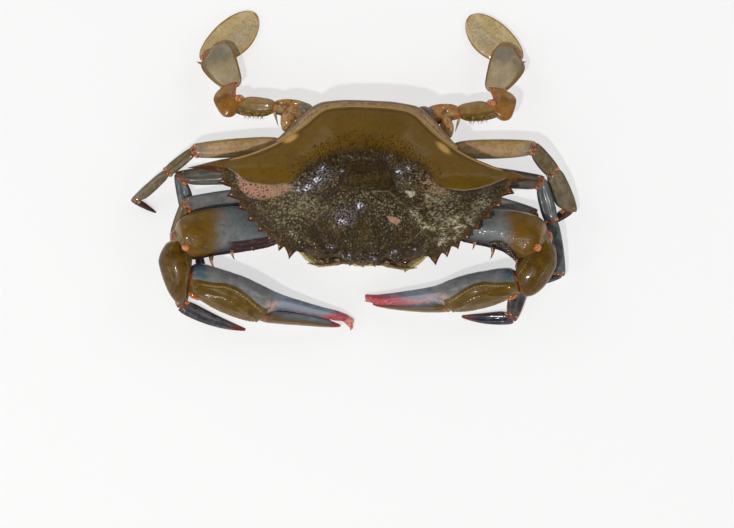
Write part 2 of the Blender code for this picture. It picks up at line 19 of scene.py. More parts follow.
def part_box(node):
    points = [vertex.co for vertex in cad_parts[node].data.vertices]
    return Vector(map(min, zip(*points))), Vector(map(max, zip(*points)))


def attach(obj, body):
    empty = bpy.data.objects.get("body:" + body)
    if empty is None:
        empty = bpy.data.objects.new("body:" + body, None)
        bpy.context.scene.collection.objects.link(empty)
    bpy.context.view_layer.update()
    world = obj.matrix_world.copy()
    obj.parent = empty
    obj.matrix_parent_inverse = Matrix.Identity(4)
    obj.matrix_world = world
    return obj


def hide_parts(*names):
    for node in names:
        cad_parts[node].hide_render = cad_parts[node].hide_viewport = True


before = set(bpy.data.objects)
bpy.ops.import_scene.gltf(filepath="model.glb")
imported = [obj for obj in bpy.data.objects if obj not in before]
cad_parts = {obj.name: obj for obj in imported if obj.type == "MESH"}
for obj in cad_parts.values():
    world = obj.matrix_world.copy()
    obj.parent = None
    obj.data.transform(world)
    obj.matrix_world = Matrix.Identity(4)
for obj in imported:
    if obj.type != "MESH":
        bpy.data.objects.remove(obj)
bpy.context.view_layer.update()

log = logging.getLogger("crab")

Array = np.ndarray
Piece = bpy.types.Object
Socket = bpy.types.NodeSocket
Colour = tuple[float, float, float]
Point = tuple[float, float, float]
Spot = tuple[float, float]
Station = tuple[float, float, float, float]
Sockets = tuple[Socket, ...]
Hills = tuple[tuple[float, float, float, float, float, float], ...]

MM = 0.001
BODY = "root"
SHELL_LOW, SHELL_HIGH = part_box("carapace")
REAR_EDGE = 23.3
MIDLINE = Vector(((SHELL_LOW.x + SHELL_HIGH.x) / 2, SHELL_HIGH.y - REAR_EDGE * MM, 0.0))
LAY, ZONE, TINT, GRAIN = "lay", "zone", "tint", "grain"
FORWARD, BACKWARD = ((0.0, -1.0, 0.0), (0.0, 1.0, 0.0))
UP = Vector((0.0, 0.0, 1.0))


class Slot(Enum):
    """The material slots of the record."""

    OLIVE = "olive_shell"
    BLUE = "blue_shell"
    FINGER = "claw_finger"
    LEG = "leg_shell"
    DARK_BLUE = "dark_blue_shell"
    SWIMMER = "swimmer_shell"
    PADDLE = "paddle_shell"
    CREAM = "cream_plate"
    JOINT = "joint_orange"
    SPINE = "spine_red"
    BRISTLE = "bristle"
    EYE = "eye"
    FEELER = "feeler"


class Source(Enum):
    """What a mask may follow: a channel of one of the attributes that the pieces carry."""

    ALONG = (LAY, 0)
    SIDE = (LAY, 1)
    LIFT = (LAY, 2)
    SMOOTH = (ZONE, 0)
    DARK = (ZONE, 1)
    PALE = (ZONE, 2)
    WARM = (TINT, 0)
    CREAM = (TINT, 1)
    RED = (TINT, 2)
    TIPS = (GRAIN, 0)
    SPECK = (GRAIN, 1)
    BLUISH = (GRAIN, 2)

    def __call__(self, low: float, high: float, *wander: float) -> "Band":
        """A mask that steps up from low to high on this channel."""
        return Band(self, low, high, *wander)


ALONG, SIDE, LIFT = Source.ALONG, Source.SIDE, Source.LIFT


class Side(Enum):
    """The two sides of the animal."""

    LEFT = "l"
    RIGHT = "r"

    @property
    def sign(self) -> float:
        """+1 on the crab's left, which is +X, and -1 on its right."""
        return 1.0 if self is Side.LEFT else -1.0


# ---------------------------------------------------------------- tools


def leave_edit_mode() -> None:
    """Goes back to object mode with nothing selected."""
    if bpy.context.mode != "OBJECT":
        bpy.ops.object.mode_set(mode="OBJECT")
    bpy.ops.object.select_all(action="DESELECT")


def pick(piece: Piece) -> None:
    """Makes one object the selected and active one."""
    leave_edit_mode()
    piece.select_set(True)
    bpy.context.view_layer.objects.active = piece


def apply_modifier(piece: Piece, kind: str, **values: object) -> None:
    """Adds a modifier to a piece and applies it.

    Args:
        piece: The object to change.
        kind: The modifier's type.
        values: Its settings by name.
    """
    pick(piece)
    modifier = piece.modifiers.new(kind.title(), kind)
    for name, value in values.items():
        setattr(modifier, name, value)
    bpy.ops.object.modifier_apply(modifier=modifier.name)


def subdivide(piece: Piece, levels: int) -> None:
    """Rounds a piece with an applied subdivision surface."""
    if levels:
        apply_modifier(piece, "SUBSURF", levels=levels, render_levels=levels)


def bake_place(piece: Piece) -> None:
    """Puts an object's place, turn and size into its mesh."""
    pick(piece)
    bpy.ops.object.transform_apply(location=True, rotation=True, scale=True)


def edit_all(piece: Piece) -> None:
    """Opens a piece in edit mode with all of it selected."""
    pick(piece)
    bpy.ops.object.mode_set(mode="EDIT")
    bpy.ops.mesh.select_all(action="SELECT")


def face_outwards(piece: Piece) -> None:
    """Merges a mesh's doubles and turns its faces outwards."""
    edit_all(piece)
    bpy.ops.mesh.remove_doubles(threshold=1e-6)
    bpy.ops.mesh.normals_make_consistent(inside=False)
    leave_edit_mode()


def join(pieces: Sequence[Piece]) -> Piece:
    """Joins several objects into the first of them.

    Args:
        pieces: The objects.

    Returns:
        The first of them, which holds them all.
    """
    leave_edit_mode()
    for piece in pieces:
        piece.select_set(True)
    bpy.context.view_layer.objects.active = pieces[0]
    if len(pieces) > 1:
        bpy.ops.object.join()
    return pieces[0]


def finish(piece: Piece, name: str, look: "Finish", slot: Slot, *stands_for: str) -> Piece:
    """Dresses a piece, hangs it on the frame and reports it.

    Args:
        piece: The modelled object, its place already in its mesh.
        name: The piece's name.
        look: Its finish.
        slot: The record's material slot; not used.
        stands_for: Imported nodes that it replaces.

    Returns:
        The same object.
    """
    piece.name = name
    piece.data.name = name
    piece.data.materials.clear()
    piece.data.materials.append(look.make())
    pick(piece)
    bpy.ops.object.shade_smooth()
    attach(piece, BODY)
    if stands_for:
        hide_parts(*stands_for)
    log.info("%s: %d faces", name, len(piece.data.polygons))
    return piece


def raw_points(piece: Piece) -> Array:
    """A mesh's vertices as they are stored."""
    found = np.empty(len(piece.data.vertices) * 3)
    piece.data.vertices.foreach_get("co", found)
    return found.reshape(-1, 3)


def set_raw_points(piece: Piece, points: Array) -> None:
    """Stores a mesh's vertices."""
    piece.data.vertices.foreach_set("co", points.ravel())
    piece.data.update()


def settle(piece: Piece, at: Point | Vector = (0.0, 0.0, 0.0), turn: Matrix = Matrix()) -> None:
    """Takes a mesh from the crab's own millimetres into the row frame.

    Args:
        piece: The object.
        at: Where its origin comes to stand, in millimetres.
        turn: How it is turned and stretched.
    """
    piece.matrix_world = Matrix.Translation(Vector(at) * MM + MIDLINE) @ turn @ Matrix.Scale(MM, 4)
    bake_place(piece)


def normals(piece: Piece) -> Array:
    """The vertex normals of a piece."""
    found = np.empty(len(piece.data.vertices) * 3, np.float32)
    piece.data.vertex_normals.foreach_get("vector", found)
    return found.reshape(-1, 3).astype(float)


def write_vectors(piece: Piece, name: str, values: Array) -> None:
    """Stores a vector attribute on a piece's vertices."""
    mesh = piece.data
    held = mesh.attributes.get(name) or mesh.attributes.new(name, "FLOAT_VECTOR", "POINT")
    held.data.foreach_set("vector", values.astype(np.float32).ravel())


def smoothed(values: Array, half: int, width: float) -> Array:
    """Averages a row with its neighbours, which takes half a window off each end."""
    kernel = bell(np.arange(-half, half + 1) / width)
    return np.convolve(values, kernel / kernel.sum(), "valid")


def smoothstep(low: float, high: float, value: Array) -> Array:
    """0 below low and 1 above high, easing between; it falls where low is above high."""
    part = np.clip((value - low) / (high - low), 0.0, 1.0)
    return part * part * (3.0 - 2.0 * part)


def hill(x: Array, y: Array, centre: Spot, radii: Spot, turn: float = 0.0) -> Array:
    """A soft round hill of height 1.

    Args:
        x: Where it is read.
        y: Where it is read.
        centre: Its middle.
        radii: Its half widths.
        turn: Its turn in degrees.

    Returns:
        Its height at each point.
    """
    c, s = math.cos(math.radians(turn)), math.sin(math.radians(turn))
    dx, dy = x - centre[0], y - centre[1]
    u, v = ((dx * c + dy * s) / radii[0], (dy * c - dx * s) / radii[1])
    return np.exp(-(u * u + v * v))


def path_distance(x: Array, y: Array, path: Sequence[Spot]) -> tuple[Array, Array]:
    """How far each point lies from a path, and on which side.

    Args:
        x: Where it is read.
        y: Where it is read.
        path: The corners of the path.

    Returns:
        The distance, positive on the path's left, and the share of the path run at the foot.
    """
    best = np.full(x.shape, np.inf)
    signed = np.zeros(x.shape)
    run = np.zeros(x.shape)
    count = len(path) - 1
    for i, ((ax, ay), (bx, by)) in enumerate(zip(path, path[1:])):
        ex, ey = bx - ax, by - ay
        length = max(ex * ex + ey * ey, 1e-12)
        t = np.clip(((x - ax) * ex + (y - ay) * ey) / length, 0.0, 1.0)
        dx, dy = x - ax - t * ex, y - ay - t * ey
        far = np.hypot(dx, dy)
        nearer = far < best
        best = np.where(nearer, far, best)
        signed = np.where(nearer, np.copysign(far, ex * dy - ey * dx), signed)
        run = np.where(nearer, (i + t) / count, run)
    return signed, run


def on_loop(points: Array, run: Array, wanted: Array) -> Array:
    """Reads a closed row of points, whose run lengths are given, at some other run lengths."""
    closed = np.vstack([points, points[:1]])
    return np.stack([np.interp(wanted, run, closed[:, c]) for c in (0, 1)], 1)


def through(before: Array, a: Array, b: Array, after: Array, w: float) -> Array:
    """A point a share w of the way from a to b, on a smooth curve through their neighbours too."""
    point = 2 * a + (b - before) * w
    point = point + (2 * before - 5 * a + 4 * b - after) * w * w
    return 0.5 * (point + (3 * a - before - 3 * b + after) * w**3)


def bell(value: Array) -> Array:
    """1 at 0, fading to nothing at about 2 on both sides."""
    return np.exp(-(value * value))


def within(x: Array, y: Array, corners: Sequence[Spot], low: float, high: float) -> Array:
    """1 inside a patch whose corners run clockwise, stepping up from low to high over its border.

    Args:
        x: Where it is read.
        y: Where it is read.
        corners: The patch's corners.
        low: Where the step starts, in millimetres inside the border.
        high: Where it is full.

    Returns:
        The mask.
    """
    inside = np.ones(x.shape)
    for (ax, ay), (bx, by) in zip(corners, (*corners[1:], corners[0])):
        away = ((by - ay) * (x - ax) - (bx - ax) * (y - ay)) / math.hypot(bx - ax, by - ay)
        inside = np.minimum(inside, smoothstep(low, high, away))
    return inside


def scatter(cell_x: Array, cell_y: Array, seed: float) -> Array:
    """A repeatable number from 0 to 1 for each cell of a grid."""
    mixed = np.sin(cell_x * 127.1 + cell_y * 311.7 + seed * 74.7) * 43758.5453
    return mixed - np.floor(mixed)


def granules(x: Array, y: Array, spacing: float, seed: float = 1.0) -> Array:
    """Round grains strewn over a surface, each near 1 at its top and 0 at its foot.

    Args:
        x: Where they are read.
        y: Where they are read.
        spacing: The mean distance from grain to grain.
        seed: Picks another strewing.

    Returns:
        The height of the tallest grain at each point.
    """
    gx, gy = np.floor(x / spacing), np.floor(y / spacing)
    tallest = np.zeros(x.shape)
    for ox in (-1, 0, 1):
        for oy in (-1, 0, 1):
            cx, cy = gx + ox, gy + oy
            px = (cx + 0.1 + 0.8 * scatter(cx, cy, seed)) * spacing
            py = (cy + 0.1 + 0.8 * scatter(cx, cy, seed + 1.0)) * spacing
            size = 0.24 + 0.3 * scatter(cx, cy, seed + 2.0)
            share = np.hypot(x - px, y - py) / (size * spacing)
            tallest = np.maximum(tallest, np.clip(1.0 - share * share, 0.0, 1.0) * size)
    return tallest * 2.0


def waves(x: Array, y: Array, size: float, seed: float) -> Array:
    """Slow irregular waves between -1 and 1, for unevenness.

    Args:
        x: Where it is read.
        y: Where it is read.
        size: The length of the longest waves.
        seed: Which pattern it is.

    Returns:
        The pattern.
    """
    total = np.zeros(x.shape)
    for i in range(4):
        angle = seed * 1.7 + i * 2.4
        reach = size * (1.0 - 0.16 * i)
        across = x * math.cos(angle) + y * math.sin(angle)
        total += np.sin(across * 2.0 * math.pi / reach + seed * 3.1 * (i + 1))
    return total / 4.0


def blotches(x: Array, y: Array, size: float, seed: float) -> Array:
    """Irregular cloudy patches between 0 and 1, from smoothed cell values at three sizes.

    Args:
        x: Where it is read.
        y: Where it is read.
        size: How large the patches are.
        seed: Which pattern it is.

    Returns:
        The pattern.
    """
    total = np.zeros(x.shape)
    weight = 0.0
    for octave in range(3):
        cell = size / 2**octave
        gx, gy = x / cell, y / cell
        ix, iy = np.floor(gx), np.floor(gy)
        fx, fy = gx - ix, gy - iy
        fx, fy = fx * fx * (3 - 2 * fx), fy * fy * (3 - 2 * fy)
        s = seed + 5.0 * octave
        near = scatter(ix, iy, s) * (1 - fx) + scatter(ix + 1, iy, s) * fx
        far = scatter(ix, iy + 1, s) * (1 - fx) + scatter(ix + 1, iy + 1, s) * fx
        share = 0.6**octave
        total += (near * (1 - fy) + far * fy) * share
        weight += share
    return total / weight


# ---------------------------------------------------------------- finishes


class Wiring:
    """Places and links the nodes of one tree, so that a finish reads from top to bottom."""

    def __init__(self, tree: bpy.types.NodeTree) -> None:
        """Keeps the tree to wire."""
        self.tree = tree

    def add(
        self, kind: str, inputs: dict[object, object] | None = None, **settings: object
    ) -> bpy.types.Node:
        """Adds a node.

        Args:
            kind: Its type.
            inputs: Sockets, by name or number, with a value or a socket to link.
            settings: The node's own properties.

        Returns:
            The node.
        """
        node = self.tree.nodes.new(kind)
        for name, value in settings.items():
            setattr(node, name, value)
        for key, value in (inputs or {}).items():
            if isinstance(value, Socket):
                self.tree.links.new(value, node.inputs[key])
            else:
                node.inputs[key].default_value = value
        return node

    def math(self, operation: str, first: object, second: object = 0.0) -> Socket:
        """A sum on one or two values."""
        return self.add("ShaderNodeMath", {0: first, 1: second}, operation=operation).outputs[0]

    def step(self, value: object, low: object, high: object) -> Socket:
        """A soft step from 0 at low to 1 at high."""
        inputs = {"Value": value, "From Min": low, "From Max": high}
        return self.add("ShaderNodeMapRange", inputs, interpolation_type="SMOOTHSTEP").outputs[0]

    def scaled(self, vector: object, size: object) -> Socket:
        """A position counted in cells of a size in millimetres."""
        share = self.math("DIVIDE", 1.0 / MM, size)
        return self.add("ShaderNodeVectorMath", {0: vector, "Scale": share}, operation="SCALE").outputs[0]

    def noise(self, vector: object, size: object, detail: float = 3.0) -> Socket:
        """Cloudy noise of a size in millimetres."""
        inputs = {"Vector": self.scaled(vector, size), "Scale": 1.0, "Detail": detail, "Roughness": 0.6}
        return self.add("ShaderNodeTexNoise", inputs).outputs[0]

    def mix(self, share: object, under: object, over: object) -> Socket:
        """Lays one colour over another."""
        return self.add("ShaderNodeMix", {0: share, 6: under, 7: over}, data_type="RGBA").outputs[2]

    def group(self, tree: bpy.types.NodeTree, inputs: dict[object, object]) -> bpy.types.NodeOutputs:
        """Places a shared effect and gives its outputs."""
        return self.add("ShaderNodeGroup", inputs, node_tree=tree).outputs


class Effects:
    """The effects that the finishes share, each one node group with named inputs and outputs."""

    def __init__(self) -> None:
        """Builds every group."""
        self.cloud = self._group(
            "cloud", {"Vector": None, "Size": 5.0, "Low": 0.4, "High": 0.6}, ("Mask",), self._cloud,
        )
        self.dots = self._group("dots", {"Vector": None, "Size": 1.0, "Reach": 0.4}, ("Mask",), self._dots)
        self.band = self._group(
            "band", {"Vector": None, "Value": 0.0, "Low": 0.0, "High": 1.0, "Wobble": 0.0, "Size": 2.0},
            ("Mask",), self._band,
        )
        self.grain = self._group(
            "grain", {"Vector": None, "Size": 0.6, "Pits": 0.3}, ("Height",), self._grain,
        )
        self.film = self._group(
            "wet_film", {"Vector": None, "Size": 4.0, "Roughness": 0.3, "Spread": 0.1, "Wet": 0.6},
            ("Roughness", "Coat"), self._film,
        )

    @staticmethod
    def _group(
        name: str, inputs: dict[str, float | None], outputs: Sequence[str], fill: Callable
    ) -> bpy.types.NodeTree:
        """Makes one group and lets a method fill it.

        Args:
            name: Its name.
            inputs: Its inputs with their values, or None for a position.
            outputs: Its outputs.
            fill: The method that wires it.

        Returns:
            The group.
        """
        tree = bpy.data.node_groups.new(name, "ShaderNodeTree")
        for label, value in inputs.items():
            kind = "NodeSocketVector" if value is None else "NodeSocketFloat"
            socket = tree.interface.new_socket(name=label, in_out="INPUT", socket_type=kind)
            if value is not None:
                socket.default_value = value
        for label in outputs:
            tree.interface.new_socket(name=label, in_out="OUTPUT", socket_type="NodeSocketFloat")
        wiring = Wiring(tree)
        made = fill(wiring, wiring.add("NodeGroupInput").outputs)
        wiring.add("NodeGroupOutput", dict(zip(outputs, made)))
        return tree

    @staticmethod
    def _cloud(w: Wiring, given: bpy.types.NodeInputs) -> Sockets:
        """Soft blotches."""
        return (w.step(w.noise(given["Vector"], given["Size"], 4.0), given["Low"], given["High"]),)

    @staticmethod
    def _dots(w: Wiring, given: bpy.types.NodeInputs) -> Sockets:
        """Round spots of uneven strength.

        Args:
            w: The group's wiring.
            given: Its inputs.

        Returns:
            The mask.
        """
        vector = w.scaled(given["Vector"], given["Size"])
        cells = w.add("ShaderNodeTexVoronoi", {"Vector": vector, "Scale": 1.0}, feature="F1")
        spot = w.step(cells.outputs["Distance"], given["Reach"], w.math("MULTIPLY", given["Reach"], 0.5))
        shade = w.add("ShaderNodeSeparateColor", {0: cells.outputs["Color"]}).outputs[0]
        return (w.math("MULTIPLY", spot, w.step(shade, 0.15, 0.7)),)

    @staticmethod
    def _band(w: Wiring, given: bpy.types.NodeInputs) -> Sockets:
        """A step on a value whose edge wanders."""
        wander = w.math("SUBTRACT", w.noise(given["Vector"], given["Size"]), 0.5)
        value = w.math("ADD", given["Value"], w.math("MULTIPLY", wander, given["Wobble"]))
        return (w.step(value, given["Low"], given["High"]),)

    @staticmethod
    def _grain(w: Wiring, given: bpy.types.NodeInputs) -> Sockets:
        """Fine round grains over finer pits.

        Args:
            w: The group's wiring.
            given: Its inputs.

        Returns:
            The height.
        """
        vector = w.scaled(given["Vector"], given["Size"])
        cells = w.add(
            "ShaderNodeTexVoronoi", {"Vector": vector, "Scale": 1.0}, feature="SMOOTH_F1",
        ).outputs["Distance"]
        round_top = w.math("SUBTRACT", 1.0, w.math("POWER", cells, 1.5))
        pits = w.noise(vector, 330.0, 2.0)
        return (w.math("ADD", round_top, w.math("MULTIPLY", pits, given["Pits"])),)

    @staticmethod
    def _film(w: Wiring, given: bpy.types.NodeInputs) -> Sockets:
        """A film of water, thicker here and thinner there.

        Args:
            w: The group's wiring.
            given: Its inputs.

        Returns:
            The roughness and the strength of the film.
        """
        cloud = w.noise(given["Vector"], given["Size"], 4.0)
        spread = w.math("MULTIPLY", w.math("SUBTRACT", cloud, 0.5), given["Spread"])
        rough = w.math("ADD", given["Roughness"], w.math("MULTIPLY", spread, 2.0))
        coat = w.math("MULTIPLY", w.step(cloud, 0.3, 0.55), given["Wet"])
        return rough, coat


EFFECTS = Effects()


@dataclass(frozen=True)
class Band:
    """A mask that steps up from low to high along one of the piece's own measures."""

    source: Source
    low: float
    high: float
    wobble: float = 0.0
    size: float = 2.5
    slant: float = 0.0

    def wire(self, w: Wiring, vector: Socket) -> Socket:
        """Wires the mask and gives its socket.

        Args:
            w: The finish's wiring.
            vector: The position.

        Returns:
            The socket.
        """
        name, channel = self.source.value
        held = w.add("ShaderNodeAttribute", attribute_name=name).outputs["Vector"]
        channels = w.add("ShaderNodeSeparateXYZ", {0: held}).outputs
        value = channels[channel]
        if self.slant:
            value = w.math("ADD", value, w.math("MULTIPLY", channels[1], self.slant))
        inputs = {
            "Vector": vector, "Value": value, "Low": self.low, "High": self.high, "Wobble": self.wobble,
            "Size": self.size,
        }
        return w.group(EFFECTS.band, inputs)[0]


@dataclass(frozen=True)
class Cloud:
    """A mask of soft blotches of a size in millimetres."""

    size: float
    low: float = 0.42
    high: float = 0.62

    def wire(self, w: Wiring, vector: Socket) -> Socket:
        """Wires the mask and gives its socket."""
        inputs = {"Vector": vector, "Size": self.size, "Low": self.low, "High": self.high}
        return w.group(EFFECTS.cloud, inputs)[0]


@dataclass(frozen=True)
class Dots:
    """A mask of round spots, one in each cell of a size in millimetres."""

    size: float
    reach: float = 0.45

    def wire(self, w: Wiring, vector: Socket) -> Socket:
        """Wires the mask and gives its socket."""
        inputs = {"Vector": vector, "Size": self.size, "Reach": self.reach}
        return w.group(EFFECTS.dots, inputs)[0]


Mask = Band | Cloud | Dots


@dataclass(frozen=True)
class Layer:
    """A colour laid over the ones before it wherever all of its masks agree."""

    colour: Colour
    masks: tuple[Mask, ...]
    strength: float


def lay(strength: float, colour: Colour, *masks: Mask) -> Layer:
    """One layer of a finish, written in a line."""
    return Layer(colour, masks, strength)


@dataclass(frozen=True)
class Finish:
    """A shell's colours from the ground up, its grain and its wet gloss."""

    name: str
    base: Colour
    layers: tuple[Layer, ...] = ()
    roughness: float = 0.34
    spread: float = 0.1
    wet: float = 0.5
    film_size: float = 4.0
    coat_roughness: float = 0.1
    grain_size: float = 0.6
    grain_depth: float = 0.05
    pits: float = 0.35
    specular: float = 0.18
    glints: tuple[Mask, ...] = ()
    glow: float = 0.0

    def make(self) -> bpy.types.Material:
        """Makes the material, or gives the one made before.

        Returns:
            The material.
        """
        made = bpy.data.materials.get(self.name)
        if made:
            return made
        made = bpy.data.materials.new(self.name)
        made.use_nodes = True
        made.node_tree.nodes.clear()
        w = Wiring(made.node_tree)
        vector = w.add("ShaderNodeTexCoord").outputs["Object"]
        colour: object = (*self.base, 1.0)
        for layer in self.layers:
            share: object = layer.strength
            for mask in layer.masks:
                share = w.math("MULTIPLY", mask.wire(w, vector), share)
            colour = w.mix(share, colour, (*layer.colour, 1.0))
        inputs = {
            "Size": self.film_size, "Roughness": self.roughness, "Spread": self.spread, "Wet": self.wet,
        }
        rough, coat = w.group(EFFECTS.film, {"Vector": vector, **inputs})
        for mask in self.glints:
            coat = w.math("MAXIMUM", coat, mask.wire(w, vector))
        height = w.group(EFFECTS.grain, {"Vector": vector, "Size": self.grain_size, "Pits": self.pits})[0]
        depth = self.grain_depth * MM
        bump = w.add("ShaderNodeBump", {"Strength": 1.0, "Distance": depth, "Height": height}).outputs[0]
        inputs = {
            "Base Color": colour, "Roughness": rough, "Coat Weight": coat,
            "Coat Roughness": self.coat_roughness, "Coat IOR": 1.32, "Specular IOR Level": self.specular,
            "Normal": bump,
        }
        if self.glow:
            flesh = {"Subsurface Radius": (1.0, 0.6, 0.3), "Subsurface Scale": 1.5 * MM}
            inputs = {**inputs, "Subsurface Weight": self.glow, **flesh}
        shader = w.add("ShaderNodeBsdfPrincipled", inputs)
        w.add("ShaderNodeOutputMaterial", {"Surface": shader.outputs[0]})
        return made


# ---------------------------------------------------------------- the back shell

SHELL_REAR = Finish(
    "back_shell", (0.047, 0.03, 0.006),
    (
        lay(0.75, (0.098, 0.06, 0.016), Cloud(5.5, 0.44, 0.62)),
        lay(0.7, (0.024, 0.016, 0.005), Cloud(3.6, 0.47, 0.64)),
        lay(0.6, (0.02, 0.012, 0.004), Cloud(1.2, 0.48, 0.62)),
        lay(0.58, (0.215, 0.19, 0.14), Source.SMOOTH(0.6, 0.1), Source.DARK(0.6, 0.2), Dots(0.85, 0.42)),
        lay(0.78, (0.008, 0.006, 0.003), Source.SMOOTH(0.6, 0.1), Cloud(0.75, 0.51, 0.43)),
        lay(1.0, (0.125, 0.065, 0.003), Source.SMOOTH(0.15, 0.85, 0.35, 1.2)),
        lay(0.6, (0.08, 0.047, 0.003), Source.SMOOTH(0.15, 0.85), Cloud(14.0, 0.45, 0.7)),
        lay(0.5, (0.135, 0.066, 0.003), Source.SMOOTH(0.5, 0.95), Cloud(9.0, 0.52, 0.75)),
        lay(0.45, (0.07, 0.042, 0.005), Source.SMOOTH(0.5, 0.95), Cloud(1.8, 0.5, 0.68)),
        lay(0.35, (0.155, 0.092, 0.018), Source.SMOOTH(0.5, 0.95), Cloud(0.8, 0.55, 0.66)),
        lay(0.85, (0.026, 0.012, 0.002), Source.DARK(0.1, 0.9, 0.15)),
        lay(0.9, (0.41, 0.222, 0.145), Source.WARM(0.15, 0.8, 0.3, 1.0)),
        lay(0.85, (0.03, 0.012, 0.005), Source.SPECK(0.35, 0.6)),
        lay(0.6, (0.25, 0.212, 0.145), Source.TIPS(0.45, 0.85)),
        lay(0.9, (0.215, 0.18, 0.1), Source.PALE(0.15, 0.9)),
        lay(0.9, (0.5, 0.43, 0.31), Source.TIPS(1.05, 1.4), Cloud(0.75, 0.43, 0.53)),
        lay(0.95, (0.46, 0.265, 0.072), Source.CREAM(0.2, 0.8, 0.25, 0.8)),
        # Painted highlights: a blue-grey sheen with dark grains round the glints.
        lay(0.75, (0.2, 0.185, 0.225), Source.BLUISH(0.12, 0.6, 0.2, 1.0), Cloud(0.75, 0.46, 0.56)),
        lay(0.8, (0.012, 0.01, 0.011), Source.BLUISH(0.12, 0.5), Cloud(0.7, 0.5, 0.43)),
        lay(0.92, (0.118, 0.052, 0.012), Source.RED(0.12, 0.4, 0.25, 0.8)),
        lay(0.6, (0.22, 0.11, 0.03), Source.RED(0.2, 0.4), Cloud(0.9, 0.5, 0.62)),
        lay(0.6, (0.035, 0.012, 0.004), Source.RED(0.2, 0.4), Cloud(1.1, 0.5, 0.4)),
        # Painted highlight: orange on the teeth where the tint marks their crests.
        lay(0.85, (0.26, 0.135, 0.045), Source.RED(0.2, 0.4), Source.WARM(0.25, 0.6)),
        lay(0.92, (0.06, 0.013, 0.005), Source.RED(0.62, 0.9, 0.15, 0.8)),
        lay(0.9, (0.19, 0.016, 0.01), Source.RED(1.0, 1.15)),
        # Painted highlights: white glints in the middle of each glint spot; the same mask also thickens the
        # wet coat.
        lay(0.95, (0.66, 0.68, 0.76), Source.BLUISH(0.63, 0.86, 0.1, 0.8), Cloud(0.75, 0.5, 0.56)),
    ),
    roughness=0.33, spread=0.16, wet=0.24, film_size=2.2, coat_roughness=0.08, grain_size=0.5,
    grain_depth=0.11, pits=0.5, specular=0.09, glints=(Source.BLUISH(0.5, 0.8),),
)


class Ground:
    """The back shell's surface while its relief and its marks are worked out."""

    def __init__(self, x: Array, y: Array, teeth: Array, gap: Array, crest: Array) -> None:
        """Starts a plain surface.

        Args:
            x: Where its points lie.
            y: Where its points lie.
            teeth: 0 on the shell, rising to 1 at the tips of the teeth.
            gap: How far the edge is.
            crest: 1 along the middle of each tooth.
        """
        self.x, self.y, self.teeth, self.gap, self.crest = x, y, teeth, gap, crest
        self.wide = np.abs(x)
        self.rise, self.dark, self.pale, self.tips, self.warm = np.zeros((5, x.size))
        self.frost, self.speck, self.bluish, self.red, self.cream = np.zeros((5, x.size))
        self.smooth, self.inside, self.lobes = np.zeros((3, x.size))

    def hills(self, rows: Hills) -> Array:
        """The sum of soft hills, each a weight, a middle, two half widths and a turn."""
        return sum((w * hill(self.x, self.y, (cx, cy), (rx, ry), turn) for w, cx, cy, rx, ry, turn in rows))

    def grains(self, spacing: float, seed: float, low: float, high: float) -> Array:
        """Strewn round grains, cut off between two heights."""
        return smoothstep(low, high, granules(self.x, self.y, spacing, seed))

    def patches(self, size: float, seed: float) -> Array:
        """Irregular cloudy patches between 0 and 1."""
        return blotches(self.x, self.y, size, seed)

    def cover(self, mark: str, values: Array) -> None:
        """Raises a mark to some values wherever they are higher."""
        setattr(self, mark, np.maximum(getattr(self, mark), values))


